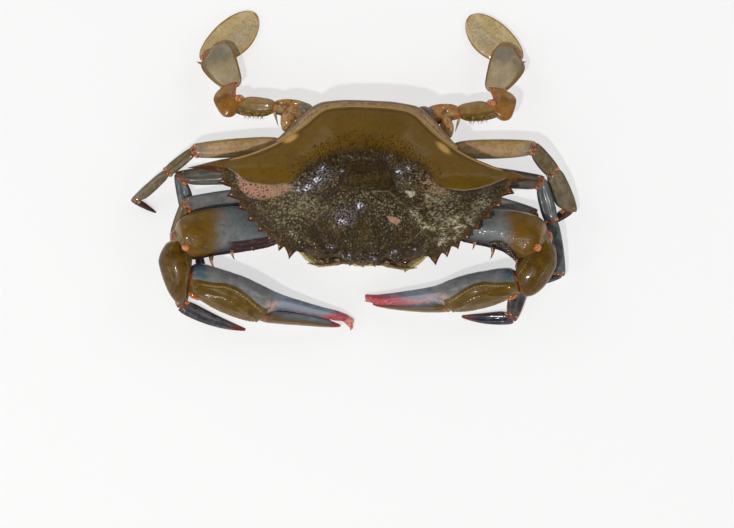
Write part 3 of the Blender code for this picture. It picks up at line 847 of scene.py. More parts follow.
@dataclass
class BackShell:
    """The back shell: a low dome with toothed front sides and a long spine at each side."""

    cells: int = 292
    tooth_share: float = 0.09
    spine_tip: Spot = (61.5, -0.5)
    first_tooth: Spot = (25.1, -30.4)
    tooth_step: Spot = (3.71, 2.6)
    tooth_curve: float = 0.15
    first_notch: Spot = (27.0, -26.0)
    notch_step: Spot = (3.14, 2.1)
    notch_curve: float = 0.19
    tooth_count: int = 8
    front_margin: tuple[Spot, ...] = (
        (0.0, -28.9), (4.3, -30.5), (8.0, -28.4), (11.6, -29.8), (15.0, -27.9), (18.8, -27.2),
        (22.6, -27.4),
    )
    rear_margin: tuple[Spot, ...] = (
        (49.8, 2.9), (42.9, 4.4), (36.0, 7.0), (29.2, 10.6), (22.3, 15.7), (15.5, 21.5), (8.0, 23.1),
    )
    first_tooth_root: Spot = (24.6, -26.9)
    spine_root: Spot = (50.3, 0.6)
    spine_root_rear: Spot = (47.6, 2.2)
    centre: Spot = (0.0, -2.0)
    height: float = 30.1
    fullness: float = 0.82
    margin_at_spine: float = 18.0
    margin_at_midline: float = 20.0
    edge_radius: float = 1.2
    near_edge: float = 0.78
    stretch_steps: int = 24
    lobe_height: float = 1.4
    edge_rings: tuple[Spot, ...] = ((0.85, 0.55), (0.4, 0.95), (0.0, 1.15))
    under_rings: tuple[Spot, ...] = ((0.95, 1.7), (0.78, 2.7), (0.6, 5.0), (0.46, 8.6))
    # Where the painted highlights sit on the shell.
    painted_glint_hills: Hills = (
        (0.5, -6.4, -15.0, 5.2, 4.4, 0.0), (0.45, -15.0, -2.6, 7.0, 4.0, 30.0),
        (0.6, -5.6, 5.0, 1.8, 0.7, -20.0), (0.6, 7.0, 5.6, 1.8, 0.7, 30.0), (0.3, 2.0, 3.2, 5.0, 1.6, 0.0),
        (0.16, -12.0, -27.0, 5.0, 2.4, 0.0), (0.2, 12.0, -26.6, 5.0, 2.0, 0.0),
        (0.35, 12.0, 0.6, 4.0, 3.0, -35.0), (0.85, -19.9, -5.9, 1.9, 1.3, 40.0),
        (0.85, -16.3, -3.0, 1.5, 1.0, 20.0), (0.85, -14.6, 1.0, 1.8, 0.8, 30.0),
        (0.85, -1.5, -11.1, 1.5, 1.9, -30.0), (0.85, -7.6, -16.9, 1.6, 0.9, 0.0),
        (0.85, -4.5, -28.3, 0.7, 1.7, 20.0), (0.85, 3.7, -28.9, 1.5, 0.8, -35.0),
        (0.85, 10.4, -26.4, 1.4, 0.7, 20.0), (0.85, -11.0, -25.5, 1.5, 0.7, -10.0),
        (0.85, 10.8, 0.9, 1.4, 0.8, -35.0), (0.85, 14.3, 2.2, 1.2, 0.7, -20.0),
        (0.85, -23.0, -7.0, 1.0, 0.8, 0.0), (0.85, -8.0, 0.4, 1.0, 0.6, 0.0),
        (0.85, 17.6, -25.2, 1.0, 0.6, 30.0),
    )
    pink_corners: tuple[Spot, ...] = (
        (8.8, -16.0), (7.5, -14.2), (10.6, -14.6), (12.4, -15.6), (11.0, -17.3),
    )
    pink_band: tuple[Spot, ...] = (
        (-43.8, -1.8), (-34.0, -3.5), (-25.0, -4.6), (-25.2, -6.8), (-29.5, -8.6), (-34.5, -9.8),
        (-39.0, -9.2), (-42.4, -6.5),
    )
    ridges: tuple[tuple[Spot, ...], ...] = (
        ((47.6, 0.4), (45.0, -0.9), (42.1, -2.3), (37.7, -3.7), (33.2, -4.5), (28.0, -4.1), (23.5, -3.1)),
        (
            (-22.6, -2.3), (-26.3, -4.3), (-30.7, -5.4), (-35.1, -5.4), (-39.6, -4.6), (-41.9, -4.0),
            (-43.5, -2.0), (-47.0, 0.0),
        ),
    )
    grooves: tuple[tuple[Spot, ...], ...] = (
        ((8.7, -4.0), (11.8, -6.9), (16.8, -11.5), (19.2, -15.5), (19.0, -20.0), (16.0, -23.0)),
        ((-9.0, -4.6), (-11.6, -7.6), (-14.6, -11.2), (-16.6, -15.5), (-16.2, -20.0), (-14.0, -23.0)),
    )
    lips: tuple[tuple[Spot, ...], ...] = (
        ((2.1, -6.1), (8.0, -5.9), (12.6, -9.8), (18.0, -14.4), (19.9, -18.4), (17.2, -21.5)),
        ((-8.1, 5.8), (-5.8, 4.3), (-2.1, 5.1), (2.4, 4.7), (6.1, 5.2), (7.5, 6.4)),
        ((-15.1, -3.9), (-13.0, -1.0), (-8.6, -0.6)),
        ((-9.1, -4.7), (-4.7, -5.1), (0.5, -4.9), (6.5, -5.2), (10.6, -5.4)),
    )
    ring: tuple[Spot, ...] = (
        (17.4, 0.4), (21.8, 1.3), (26.4, -1.1), (28.1, -5.5), (25.2, -9.3), (20.7, -6.5), (21.8, -12.0),
        (25.0, -15.0), (29.4, -14.0),
    )
    frost_lines: tuple[tuple[float, float, tuple[Spot, ...]], ...] = (
        (
            0.95, 1.5,
            (
                (16.3, -11.9), (18.7, -16.1), (21.8, -17.5), (26.2, -17.0), (29.8, -15.4), (33.4, -12.4),
                (36.1, -10.1), (38.2, -8.2), (40.2, -5.7),
            ),
        ),
        (
            1.0, 1.8,
            (
                (21.0, -24.0), (25.0, -21.6), (30.0, -20.0), (32.4, -18.7), (34.8, -16.7), (37.5, -13.6),
                (40.0, -10.0), (42.0, -7.0),
            ),
        ),
        (0.5, 1.4, ((-24.0, -22.0), (-29.0, -19.5), (-33.5, -15.5), (-37.5, -11.5))),
    )
    trapezoid: tuple[Spot, ...] = ((-5.9, 4.3), (-9.2, -4.8), (10.4, -4.9), (6.3, 4.6))
    swellings: Hills = (
        (0.45, -19.6, -5.4, 1.9, 1.5, 20.0), (0.35, -16.0, -2.7, 1.3, 1.1, 0.0),
        (0.35, -14.4, 1.4, 1.5, 1.0, 0.0), (0.4, -1.2, -10.6, 1.6, 1.3, 30.0),
        (0.3, -7.0, -16.0, 2.2, 1.7, 0.0), (0.2, -10.0, -15.0, 1.4, 1.2, 0.0),
        (0.9, 8.5, -14.5, 6.5, 6.0, 20.0), (0.9, -7.5, -14.0, 6.5, 6.0, -20.0),
        (0.45, 0.5, -9.5, 3.6, 4.6, 0.0), (0.45, 3.9, -23.4, 3.0, 2.6, 0.0),
        (0.45, -4.3, -23.2, 3.0, 2.6, 0.0), (0.85, 14.6, -1.8, 4.2, 3.4, -25.0),
        (0.85, -14.0, -2.6, 4.6, 3.4, 25.0), (0.95, 22.6, -4.0, 5.2, 5.0, 0.0),
        (0.9, -22.8, -4.6, 5.2, 4.4, 0.0), (0.35, 15.6, -6.4, 2.4, 2.0, 0.0),
        (0.35, -18.6, -8.6, 2.6, 2.0, 0.0), (0.5, 0.0, 10.0, 9.0, 5.5, 0.0),
        (0.35, 17.0, 8.0, 9.0, 6.0, -25.0), (0.35, -17.0, 8.0, 9.0, 6.0, 25.0),
        (-0.5, 29.0, -13.5, 6.0, 5.0, 40.0), (-0.5, -28.0, -13.5, 6.0, 5.0, -40.0),
        (0.35, 22.0, -22.0, 4.0, 3.0, 30.0), (0.35, -22.0, -22.0, 4.0, 3.0, -30.0),
        (-0.45, 35.0, -6.6, 5.0, 2.0, 12.0), (-0.45, -34.0, -7.6, 6.0, 2.2, -6.0),
        (0.3, 6.6, -15.6, 2.4, 1.8, 0.0), (-0.5, 0.0, -28.0, 3.0, 2.6, 0.0),
    )
    cream_spots: Hills = ((0.95, 26.0, 9.7, 3.4, 1.3, -38.0), (0.95, -26.1, 10.9, 3.0, 1.3, 29.0))
    frost_hills: Hills = (
        (0.5, 33.5, -14.0, 2.0, 8.5, -38.0), (0.5, 39.5, -6.5, 1.6, 4.0, -20.0),
        (0.55, 24.6, -4.4, 3.8, 3.2, 0.0), (0.45, -19.0, -11.5, 8.0, 6.0, 0.0),
        (0.4, 27.0, -22.5, 4.2, 2.4, 30.0), (0.4, 19.5, -9.0, 2.4, 5.5, -55.0),
        (0.35, -19.0, -24.0, 6.0, 2.4, -20.0), (0.3, 21.0, -14.0, 2.0, 5.0, 0.0),
    )
    haze_hills: Hills = (
        (0.98, 27.0, -12.5, 10.5, 8.5, 30.0), (0.84, -27.0, -13.0, 10.0, 8.0, -30.0),
        (0.6, 6.0, -10.2, 4.6, 3.4, 0.0), (0.62, -21.0, -12.0, 9.0, 7.0, 0.0),
        (0.5, 24.5, -4.6, 4.0, 3.4, 0.0),
    )
    blush_hills: Hills = (
        (0.95, 21.6, -1.6, 4.4, 3.2, 0.0), (0.8, 24.6, -5.4, 3.4, 3.0, 0.0),
        (0.6, -16.0, -13.0, 3.6, 3.2, 0.0), (0.5, 30.0, -7.0, 4.0, 2.0, 0.0),
    )
    olive_hill: Hills = ((1.0, 1.0, -19.0, 9.5, 6.0, 0.0),)
    rear_shade: Hills = ((0.5, -0.5, 9.0, 10.0, 4.6, 0.0),)
    star_hills: Hills = ((1.0, 15.9, -6.6, 1.9, 0.9, 55.0), (1.0, 14.6, -6.0, 1.7, 0.8, -20.0))
    smooth_line: tuple[Spot, ...] = (
        (-47.0, 0.0), (-43.5, -2.2), (-39.6, -4.8), (-30.7, -5.6), (-26.0, -4.6), (-22.0, -2.0),
        (-17.0, 1.2), (-10.0, 4.6), (-6.0, 5.0), (0.0, 4.9), (6.0, 5.0), (10.0, 4.6), (17.0, 2.2),
        (23.0, -2.4), (28.0, -4.4), (33.0, -4.7), (38.0, -3.9), (42.0, -2.4), (46.0, -0.4),
    )
    lip_rises: tuple[float, ...] = (0.28, 0.42, 0.3, 0.26)
    lip_pales: tuple[float, ...] = (0.75, 0.45, 0.4, 0.35)

    def corners(self) -> tuple[Array, Array, Array]:
        """The corners of the outline.

        Returns:
            The outer outline over the tooth tips, the inner one along their roots, and how far
            each stretch swells outwards, closed all the way round.
        """
        outer = [*self.front_margin, self.first_tooth]
        inner = [*self.front_margin, self.first_tooth_root]
        swell = [0.0] * len(self.front_margin) + [-0.15]
        steps = range(self.tooth_count + 1)
        teeth = [self._stepped(self.first_tooth, self.tooth_step, self.tooth_curve, i) for i in steps[:-1]]
        notches = [
            self._stepped(self.first_notch, self.notch_step, self.notch_curve, i)
            for i in steps[:-1]
        ]
        roots = [((a[0] + b[0]) / 2, (a[1] + b[1]) / 2) for a, b in zip(notches, notches[1:])]
        for notch, tooth, root in zip(notches, [*teeth[1:], self.spine_tip], [*roots, self.spine_root]):
            outer += [notch, tooth]
            inner += [notch, root]
            swell += [-0.9, -0.35] if root == self.spine_root else [-0.34, 0.08]
        outer += self.rear_margin
        inner += [self.spine_root_rear, *self.rear_margin[1:]]
        swell += [0.0] * len(self.rear_margin)
        closed = [
            np.array(half + [(0.0, REAR_EDGE)] + [(-x, y) for x, y in reversed(half[1:])])
            for half in (outer, inner)
        ]
        swell = swell + [0.0] + list(reversed(swell[1:])) + [0.0]
        return closed[0], closed[1], np.array(swell[:len(closed[0])])

    @staticmethod
    def _stepped(first: Spot, step: Spot, curve: float, i: int) -> Spot:
        """The place of one of a row of teeth or notches, which bends back more and more."""
        return first[0] + step[0] * i, first[1] + step[1] * i + curve * i * i

    def outlines(self, count: int) -> tuple[Array, Array]:
        """Both outlines as evenly strewn matching points, starting at the front middle.

        Args:
            count: How many points each has.

        Returns:
            The outer and the inner points.
        """
        outer, inner, swell = self.corners()
        total = len(outer)
        start = len(self.front_margin) + 1 + 2 * self.tooth_count
        end = total - start
        fine = []
        for corner, bulges in ((outer, swell), (inner, swell * 0)):
            points = []
            for i, bulge in enumerate(bulges):
                before, a, b, after = (corner[(i + o) % total] for o in (-1, 0, 1, 2))
                for w in np.arange(self.stretch_steps) / self.stretch_steps:
                    if start <= i < end:
                        points.append(
                            through(a if i == start else before, a, b, b if i + 1 == end else after, w),
                        )
                    else:
                        points.append(a + (b - a) * w + self._bulge(bulge, a, b) * 4 * w * (1 - w))
            fine.append(np.array(points))
        steps = [np.hypot(*(np.roll(points, -1, 0) - points).T) for points in fine]
        run = np.concatenate([[0.0], np.cumsum(steps[0] + 0.4 * steps[1])])
        wanted = np.arange(count) / count * run[-1]
        return on_loop(fine[0], run, wanted), on_loop(fine[1], run, wanted)

    @staticmethod
    def _bulge(swell: float, a: Array, b: Array) -> Array:
        """How far the middle of a straight stretch stands out, as a vector."""
        way = b - a
        length = np.hypot(*way)
        return np.array([way[1], -way[0]]) / max(length, 1e-9) * swell * min(1.0, length / 2.5)

    def margin(self, x: Array) -> Array:
        """Height of the shell's edge, which falls from the midline to the side spines."""
        part = np.minimum(1.0, np.abs(x) / self.spine_tip[0])
        return self.margin_at_midline + (self.margin_at_spine - self.margin_at_midline) * part

    def dome(self, x: Array, y: Array) -> Array:
        """The smooth height of the shell, carried on beyond its edge.

        Args:
            x: Where it is read.
            y: Where it is read.

        Returns:
            The height.
        """
        angle = np.arctan2(y - self.centre[1], x - self.centre[0])
        far = np.hypot(x - self.centre[0], y - self.centre[1])
        share = far / np.interp(angle, self._angles, self._reaches, period=2 * math.pi)
        low = self.margin(x)
        rise = np.clip(1.0 - np.minimum(share, 1.0)**2, 0.0, 1.0)**self.fullness
        return low + (self.height - low) * rise - 0.12 * np.maximum(share - 1.0, 0.0) * far

    def measure(self, inner: Array) -> None:
        """Notes how far the smoothed outline lies from the middle in every direction.

        Args:
            inner: The inner outline.
        """
        angle = np.arctan2(inner[:, 1] - self.centre[1], inner[:, 0] - self.centre[0])
        far = np.hypot(inner[:, 0] - self.centre[0], inner[:, 1] - self.centre[1])
        order = np.argsort(angle)
        grid = np.linspace(-math.pi, math.pi, 721)[:-1]
        reach = np.interp(grid, angle[order], far[order], period=2 * math.pi)
        self._angles, self._reaches = (
            grid, smoothed(np.concatenate([reach[-16:], reach, reach[:16]]), 16, 7.0),
        )

    def relief(self, g: Ground) -> dict[str, Array]:
        """Works the shell's lobes, lines, grains and marks into its surface.

        Args:
            g: The surface.

        Returns:
            The masks that colour it, each three channels wide.
        """
        g.rise += self.lobe_height * g.hills(self.swellings)
        g.lobes = smoothstep(-0.1, 0.85, g.rise + 0.5 * (g.patches(3.2, 17.0) - 0.5))
        behind = (
            g.y - np.interp(g.x, *zip(*self.smooth_line))
            + 1.1 * (g.patches(3.0, 3.0) - 0.5) * smoothstep(30.0, 20.0, g.wide)
        )
        flank = smoothstep(20.0, 27.0, g.wide)
        g.smooth = smoothstep(-0.3, 0.6, behind) * flank + smoothstep(-1.0, 8.0, behind) * (1 - flank)
        self._lines(g)
        self._middle(g)
        rough = self._grit(g)
        lace = self._blush(g)
        self._frosting(g)
        self._brow(g, lace)
        self._spots(g, behind, rough)
        self._gloss(g)
        self._rim(g)
        return {
            ZONE: np.stack([g.smooth, g.dark, g.pale], 1),
            TINT: np.stack([np.clip(g.warm, 0, 1), g.cream, g.red], 1),
            GRAIN: np.stack([g.tips, g.speck, np.clip(g.bluish, 0, 1)], 1),
        }

    def _lines(self, g: Ground) -> None:
        """The ridges to the side spines, the furrows with painted shade down them, and the fine raised
        lips.

        Args:
            g: The surface.
        """
        for path in self.ridges:
            side, run = path_distance(g.x, g.y, path)
            reach = np.abs(side)
            fade = smoothstep(1.0, 0.72, run if path[0][0] > 0 else 1.0 - run)
            line = np.interp(g.x, *zip(*sorted(path)))
            g.rise += (0.42 * bell(reach / 0.45) + 0.35 * bell(reach / 2.6) * (g.y > line)) * fade
            g.cover("dark", bell((reach - 0.55) / 0.32) * (g.y < line) * fade)
            g.cover("pale", 0.75 * bell(reach / 0.28) * fade)
        for path in self.grooves:
            side, run = path_distance(g.x, g.y, path)
            g.rise -= 0.65 * bell(side / 1.05) * smoothstep(0.0, 0.1, run)
            # Painted shade down the furrow.
            g.cover("dark", 0.45 * bell(side / 0.8))
        for number, (path, rise, pale) in enumerate(zip(self.lips, self.lip_rises, self.lip_pales)):
            side, _ = path_distance(g.x, g.y, path)
            g.rise += rise * bell(side / 0.42)
            g.cover("pale", pale * (0.3 + 0.9 * g.patches(1.2, 61.0 + number)) * bell(side / 0.34))

    def _middle(self, g: Ground) -> None:
        """The raised field in the middle of the shell, and painted shade in the furrows along its sides
        between the lobes.

        Args:
            g: The surface.
        """
        g.inside = within(g.x, g.y, self.trapezoid[::-1], -0.4, 0.5)
        g.cover("dark", 0.5 * g.inside)
        g.rise += g.inside * (0.22 - 0.14 * granules(g.x, g.y, 0.8, 15.0))
        for flank in (self.trapezoid[:2], self.trapezoid[2:]):
            side, _ = path_distance(g.x, g.y, flank)
            g.rise -= 0.5 * bell(side / 0.7)
            # Painted shade in the furrow along each side.
            g.cover("dark", 0.9 * bell(side / 0.5))

    def _grit(self, g: Ground) -> Array:
        """The grains of the front, pale at their tips, with painted light on the lobes' tops and painted
        shade in the hollows between the lobes.

        Args:
            g: The surface.

        Returns:
            How rough each point is.
        """
        olive = g.hills(self.olive_hill)
        # Painted shade in the hollows between the lobes.
        valley_shade = (1.0 - g.lobes) * (1.0 - 0.8 * olive)
        g.cover("dark", 0.42 * valley_shade * (1.0 - g.smooth) * smoothstep(30.0, 22.0, g.wide))
        coarse = granules(g.x, g.y, 1.1, 2.0)
        medium = granules(g.x + 0.3, g.y, 0.7, 9.0)
        patchy = g.patches(4.0, 11.0)
        rough = (1.0 - g.smooth) * (1.0 - 0.55 * g.inside) * (1.0 - smoothstep(0.2, 0.7, g.teeth))
        g.rise += rough * (0.2 * coarse + 0.13 * medium) * (0.5 + patchy)
        g.rise += g.smooth * 0.018 * medium + 0.06 * waves(g.x, g.y, 9.0, 2.0)
        tops = np.maximum(smoothstep(0.5, 0.85, coarse), 0.9 * smoothstep(0.5, 0.85, medium))
        # Painted light: the pale tips brighten on the tops of the lobes.
        g.tips = (
            (0.55 + 0.75 * g.lobes) * (1.0 - 0.6 * olive) * rough * np.clip(tops * (0.45 + patchy), 0, 1)
        )
        return rough

    def _blush(self, g: Ground) -> Array:
        """The pink band, the pink mark and the pink lace.

        Args:
            g: The surface.

        Returns:
            The lace.
        """
        g.warm = within(g.x, g.y, self.pink_band, -1.5, 0.45) * (0.6 + 0.4 * smoothstep(-27.0, -37.0, g.x))
        g.warm *= 0.65 + 0.7 * g.patches(1.3, 39.0)
        lace = smoothstep(0.38, 0.58, g.patches(0.9, 57.0)) * (0.45 + 0.55 * g.grains(0.8, 73.0, 0.2, 0.55))
        g.warm += lace * g.hills(self.blush_hills)
        g.cover("warm", 0.72 * within(g.x, g.y, self.pink_corners, -0.35, 0.105))
        g.warm *= 1.0 - g.smooth
        return lace

    def _frosting(self, g: Ground) -> None:
        """The pale flecks on the front of the shell and the haze round them.

        Args:
            g: The surface.
        """
        front = 1.0 - g.smooth
        g.frost = g.hills(self.frost_hills)
        for weight, width, path in self.frost_lines:
            g.frost += weight * bell(path_distance(g.x, g.y, path)[0] / width)
        flecks = np.maximum(g.grains(0.62, 71.0, 0.3, 0.62), smoothstep(0.5, 0.7, g.patches(0.8, 21.0)))
        g.frost *= front * flecks * (0.35 + 0.9 * smoothstep(0.35, 0.65, g.patches(3.0, 27.0)))
        g.frost *= smoothstep(0.7, 0.1, g.teeth)
        g.cover("pale", np.clip(g.frost * 1.35, 0, 1))
        g.cover("pale", 0.3 * smoothstep(0.62, 0.8, g.patches(1.0, 31.0)) * front * (1 - g.inside))
        grit = (0.27 + 0.95 * g.grains(0.85, 35.0, 0.25, 0.6)) * (0.4 + 0.9 * g.patches(1.4, 33.0))
        g.cover("pale", g.hills(self.haze_hills) * front * grit)
        ring = bell(path_distance(g.x, g.y, self.ring)[0] / 1.1) * front
        ring *= smoothstep(0.35, 0.6, g.patches(0.8, 87.0))
        g.cover("frost", 0.62 * ring)
        g.cover("pale", 0.35 * ring)

    def _brow(self, g: Ground, lace: Array) -> None:
        """The lumps and crumbs behind the forehead's edge with painted shade in the hollows between them,
        and the pale tips of all the flecks.

        Args:
            g: The surface.
            lace: The pink lace.
        """
        clutter = smoothstep(5.5, 2.0, g.gap) * smoothstep(25.5, 22.5, g.wide) * (g.y < -15.0)
        lumps = g.patches(1.7, 91.0)
        crumbs = granules(g.x, g.y, 1.05, 95.0)
        g.rise += clutter * (1.5 * (lumps - 0.5) + 0.55 * crumbs)
        # Painted shade in the hollows between the lumps.
        g.cover("dark", clutter * smoothstep(0.5, 0.36, lumps))
        g.cover("warm", clutter * 0.6 * smoothstep(0.56, 0.72, lumps) * lace)
        g.cover(
            "frost", clutter * smoothstep(0.55, 0.85, crumbs) * smoothstep(0.4, 0.6, g.patches(2.4, 99.0)),
        )
        g.cover("tips", 1.7 * smoothstep(0.38, 0.72, g.frost))

    def _spots(self, g: Ground, behind: Array, rough: Array) -> None:
        """The cream spots, the pale star and the dark specks.

        Args:
            g: The surface.
            behind: How far each point lies behind the start of the smooth rear.
            rough: How rough it is.
        """
        g.cream = g.hills(self.cream_spots)
        star = g.hills(self.star_hills)
        g.rise += 0.15 * g.cream + 0.25 * star
        g.cover("tips", 1.45 * smoothstep(0.35, 0.8, star))
        g.cover("dark", g.hills(self.rear_shade) * (0.55 + 0.9 * g.patches(1.0, 37.0)))
        change = 1.2 * bell((behind - 3.6) / 6.0) * smoothstep(36.0, 14.0, g.wide)
        g.speck = g.grains(0.85, 41.0, 0.3, 0.62) * np.clip(change * 1.1, 0, 1)
        g.cover("speck", g.grains(0.95, 47.0, 0.35, 0.7) * np.clip(g.warm * 1.2, 0, 1) * (g.x < 0))
        g.cover("speck", 0.8 * g.grains(0.7, 53.0, 0.5, 0.8) * rough)
        pink = within(g.x, g.y, self.pink_corners, -0.35, 0.105)
        around = within(g.x, g.y, self.pink_corners, -2.2, 0.66) * (1.0 - 0.75 * pink) * (1.0 - g.smooth)
        g.cover("speck", around * g.grains(0.8, 43.0, 0.45, 0.7))
        g.cover("tips", 1.2 * around * g.grains(0.8, 45.0, 0.45, 0.7))

    def _gloss(self, g: Ground) -> None:
        """Painted highlights: white glints in a blue-grey sheen on the lobes, and along the crests of the
        teeth.
        """
        g.bluish = g.hills(self.painted_glint_hills) * (1 - g.inside)
        g.bluish += (
            0.95 * g.crest * smoothstep(0.15, 0.4, g.teeth) * smoothstep(0.75, 0.5, g.teeth)
            * (g.wide < 50.0)
        )

    def _rim(self, g: Ground) -> None:
        """The red-brown border, the teeth with a painted highlight along their crests, and the red side
        spines.

        Args:
            g: The surface.
        """
        border = smoothstep(3.4, 0.8, g.gap) * (g.y < 1.0) * (0.55 + 0.6 * g.patches(1.6, 83.0))
        g.red = 0.27 * np.clip(border, 0, 1) * smoothstep(22.5, 25.0, g.wide)
        tooth = (
            0.42 * smoothstep(0.0, 0.3, g.teeth)
            + 0.55 * smoothstep(1.15, 0.4, g.gap) * smoothstep(0.1, 0.4, g.teeth)
        )
        tooth = np.maximum(tooth, smoothstep(0.8, 1.0, g.teeth))
        g.red = np.where(g.wide > 23.9, np.maximum(g.red, tooth), g.red)
        body = smoothstep(0.25, 0.6, g.teeth) * (1 - smoothstep(0.75, 0.95, g.teeth)) * (g.wide < 48.0)
        # Painted highlight: a pale orange streak along the crest of each tooth.
        g.cover("warm", 0.75 * g.crest * body)
        g.rise += 0.6 * g.crest
        rear = bell((g.gap - 0.55) / 0.3) * smoothstep(-2.0, 3.0, g.y) * smoothstep(52.0, 45.0, g.wide)
        g.cover("cream", 0.8 * rear)
        g.cover("dark", 0.5 * bell((g.gap - 1.5) / 0.6) * smoothstep(2.0, 5.0, g.y))
        out = smoothstep(48.0, 52.0, g.wide)
        front_edge = np.interp(g.wide, (48.0, 51.0, 56.0, 61.7), (-0.6, 0.9, 0.9, 0.2))
        spine = np.maximum(0.85 * smoothstep(0.35, -0.5, g.y - front_edge), smoothstep(55.0, 60.0, g.wide))
        g.red = np.where(g.wide > 58.2, 1.1, g.red * (1 - out) + out * spine)

    def build(self) -> Piece:
        """Models the shell.

        Returns:
            The finished object.
        """
        leave_edit_mode()
        n = self.cells
        bpy.ops.mesh.primitive_grid_add(x_subdivisions=n, y_subdivisions=n, size=2.0)
        piece = bpy.context.object
        flat = raw_points(piece)[:, :2]
        level = np.abs(flat).max(1)
        edge = np.flatnonzero(np.rint(level * n / 2) == n // 2)
        place = self._turn(flat / np.maximum(level, 1e-9)[:, None]) * 4 * n
        outline, roots = self.outlines(4 * n)
        self.measure(roots)
        outer, inner = (on_loop(points, np.arange(4 * n + 1), place) for points in (outline, roots))
        x, y, teeth = self._spread(level, outer, inner)
        g = Ground(x, y, teeth, *self._border(x, y, level > self.near_edge, outline))
        masks = self.relief(g)
        fall = (
            self.edge_radius * (1.0 - np.sqrt(1.0 - (1.0 - np.minimum(g.gap / self.edge_radius, 1.0))**2))
        )
        z = self.dome(x, y) + g.rise * smoothstep(0.0, 1.2, g.gap) - fall
        set_raw_points(piece, np.column_stack([x, y, z]))
        added = self._underside(piece, edge, outer[edge], inner[edge], z[edge])
        for name, values in masks.items():
            write_vectors(piece, name, np.vstack([values, np.zeros((added, 3))]))
        face_outwards(piece)
        settle(piece)
        return finish(piece, "back_shell", SHELL_REAR, Slot.OLIVE, "carapace")

    @staticmethod
    def _turn(square: Array) -> Array:
        """How far round a square's border some points lie, from 0 to 1 and from the front middle.

        Args:
            square: The points.

        Returns:
            The shares of a full turn.
        """
        a, b = square.T
        sides = (b <= -1 + 1e-6, a >= 1 - 1e-6, b >= 1 - 1e-6)
        turn = np.select(sides, ((a + 1) / 8, 0.25 + (b + 1) / 8, 0.5 + (1 - a) / 8), 0.75 + (1 - b) / 8)
        return (turn - 0.125) % 1.0

    def _spread(self, level: Array, outer: Array, inner: Array) -> tuple[Array, Array, Array]:
        """Lays the grid out over the shell and its teeth, ragged at the forehead.

        Args:
            level: 0 at the grid's middle, 1 at its edge.
            outer: The outer outline in each point's direction.
            inner: The inner outline there.

        Returns:
            Where the points lie, and 0 on the shell rising to 1 at the tips of the teeth.
        """
        rim = 1.0 - self.tooth_share
        teeth = np.clip((level - rim) / self.tooth_share, 0.0, 1.0)
        middle = np.array(self.centre)
        xy = middle + (inner - middle) * np.minimum(level / rim, 1.0)[:, None]
        xy += (outer - inner) * teeth[:, None]
        ragged = (
            smoothstep(0.88, 0.97, level) * smoothstep(24.2, 22.4, np.abs(xy[:, 0])) * (xy[:, 1] < -15.0)
        )
        for seed, c in ((101.0, 0), (103.0, 1)):
            xy[:, c] += 1.5 * ragged * (blotches(xy[:, 0], xy[:, 1], 1.9, seed) - 0.5)
        return xy[:, 0], xy[:, 1], teeth * smoothstep(0.2, 1.4, np.hypot(*(outer - inner).T))

    def _border(self, x: Array, y: Array, near: Array, outline: Array) -> tuple[Array, Array]:
        """Works out how far the edge is and where the crests of the teeth run.

        Args:
            x: Where the points lie.
            y: Where the points lie.
            near: Which of them lie near the edge.
            outline: The outer outline.

        Returns:
            The distance to the edge, and 1 along the middle of each tooth.
        """
        gap, crest = np.full(x.shape, 9.0), np.zeros(x.shape)
        gap[near] = np.abs(
            path_distance(x[near], y[near], [tuple(p) for p in np.vstack([outline, outline[:1]])])[0],
        )
        tips, roots, _ = self.corners()
        first = len(self.front_margin)
        for root, tip in zip(roots[first::2], tips[first:first + 2 * self.tooth_count + 1:2]):
            side, run = path_distance(
                np.abs(x[near]), y[near], (tuple(root - (tip - root) * 0.5), tuple(tip)),
            )
            crest[near] = np.maximum(crest[near], bell(side / 0.55) * smoothstep(0.0, 0.35, run))
        return gap, crest

    def _underside(self, piece: Piece, edge: Array, outer: Array, inner: Array, z: Array) -> int:
        """Draws the edge out into the shell's underside, ring by ring, and closes it.

        Args:
            piece: The shell.
            edge: Which of its vertices are on the edge.
            outer: The outer outline at each of them.
            inner: The inner outline at each of them.
            z: Their height.

        Returns:
            How many vertices were added.
        """
        first = len(piece.data.vertices)
        middle = np.array(self.centre)
        rings = [
            np.column_stack([inner + (outer - inner) * share, z - drop])
            for share, drop in self.edge_rings
        ]
        low = self.margin(inner[:, 0])
        rings += [
            np.column_stack([middle + (inner - middle) * share, low - drop])
            for share, drop in self.under_rings
        ]
        for points in rings:
            self._select_ring(piece, edge)
            bpy.ops.mesh.extrude_edges_move()
            bpy.ops.mesh.select_mode(type="VERT")
            leave_edit_mode()
            held = raw_points(piece)
            fresh = np.arange(len(held) - len(edge), len(held))
            key = {tuple(np.round(held[v], 6)): k for k, v in enumerate(edge)}
            order = np.array([key[tuple(np.round(held[v], 6))] for v in fresh])
            held[fresh] = points[order]
            set_raw_points(piece, held)
            edge = fresh[np.argsort(order)]
        self._select_ring(piece, edge)
        bpy.ops.mesh.edge_face_add()
        leave_edit_mode()
        return len(piece.data.vertices) - first

    @staticmethod
    def _select_ring(piece: Piece, ring: Array) -> None:
        """Selects some vertices and the edges between them, in edit mode.

        Args:
            piece: The shell.
            ring: The vertices.
        """
        mesh = piece.data
        chosen = np.zeros(len(mesh.vertices), bool)
        chosen[ring] = True
        ends = np.empty(len(mesh.edges) * 2, int)
        mesh.edges.foreach_get("vertices", ends)
        mesh.vertices.foreach_set("select", chosen)
        mesh.edges.foreach_set("select", chosen[ends.reshape(-1, 2)].all(1))
        mesh.polygons.foreach_set("select", np.zeros(len(mesh.polygons), bool))
        pick(piece)
        bpy.ops.object.mode_set(mode="EDIT")
        bpy.ops.mesh.select_mode(type="EDGE")


# ---------------------------------------------------------------- limbs


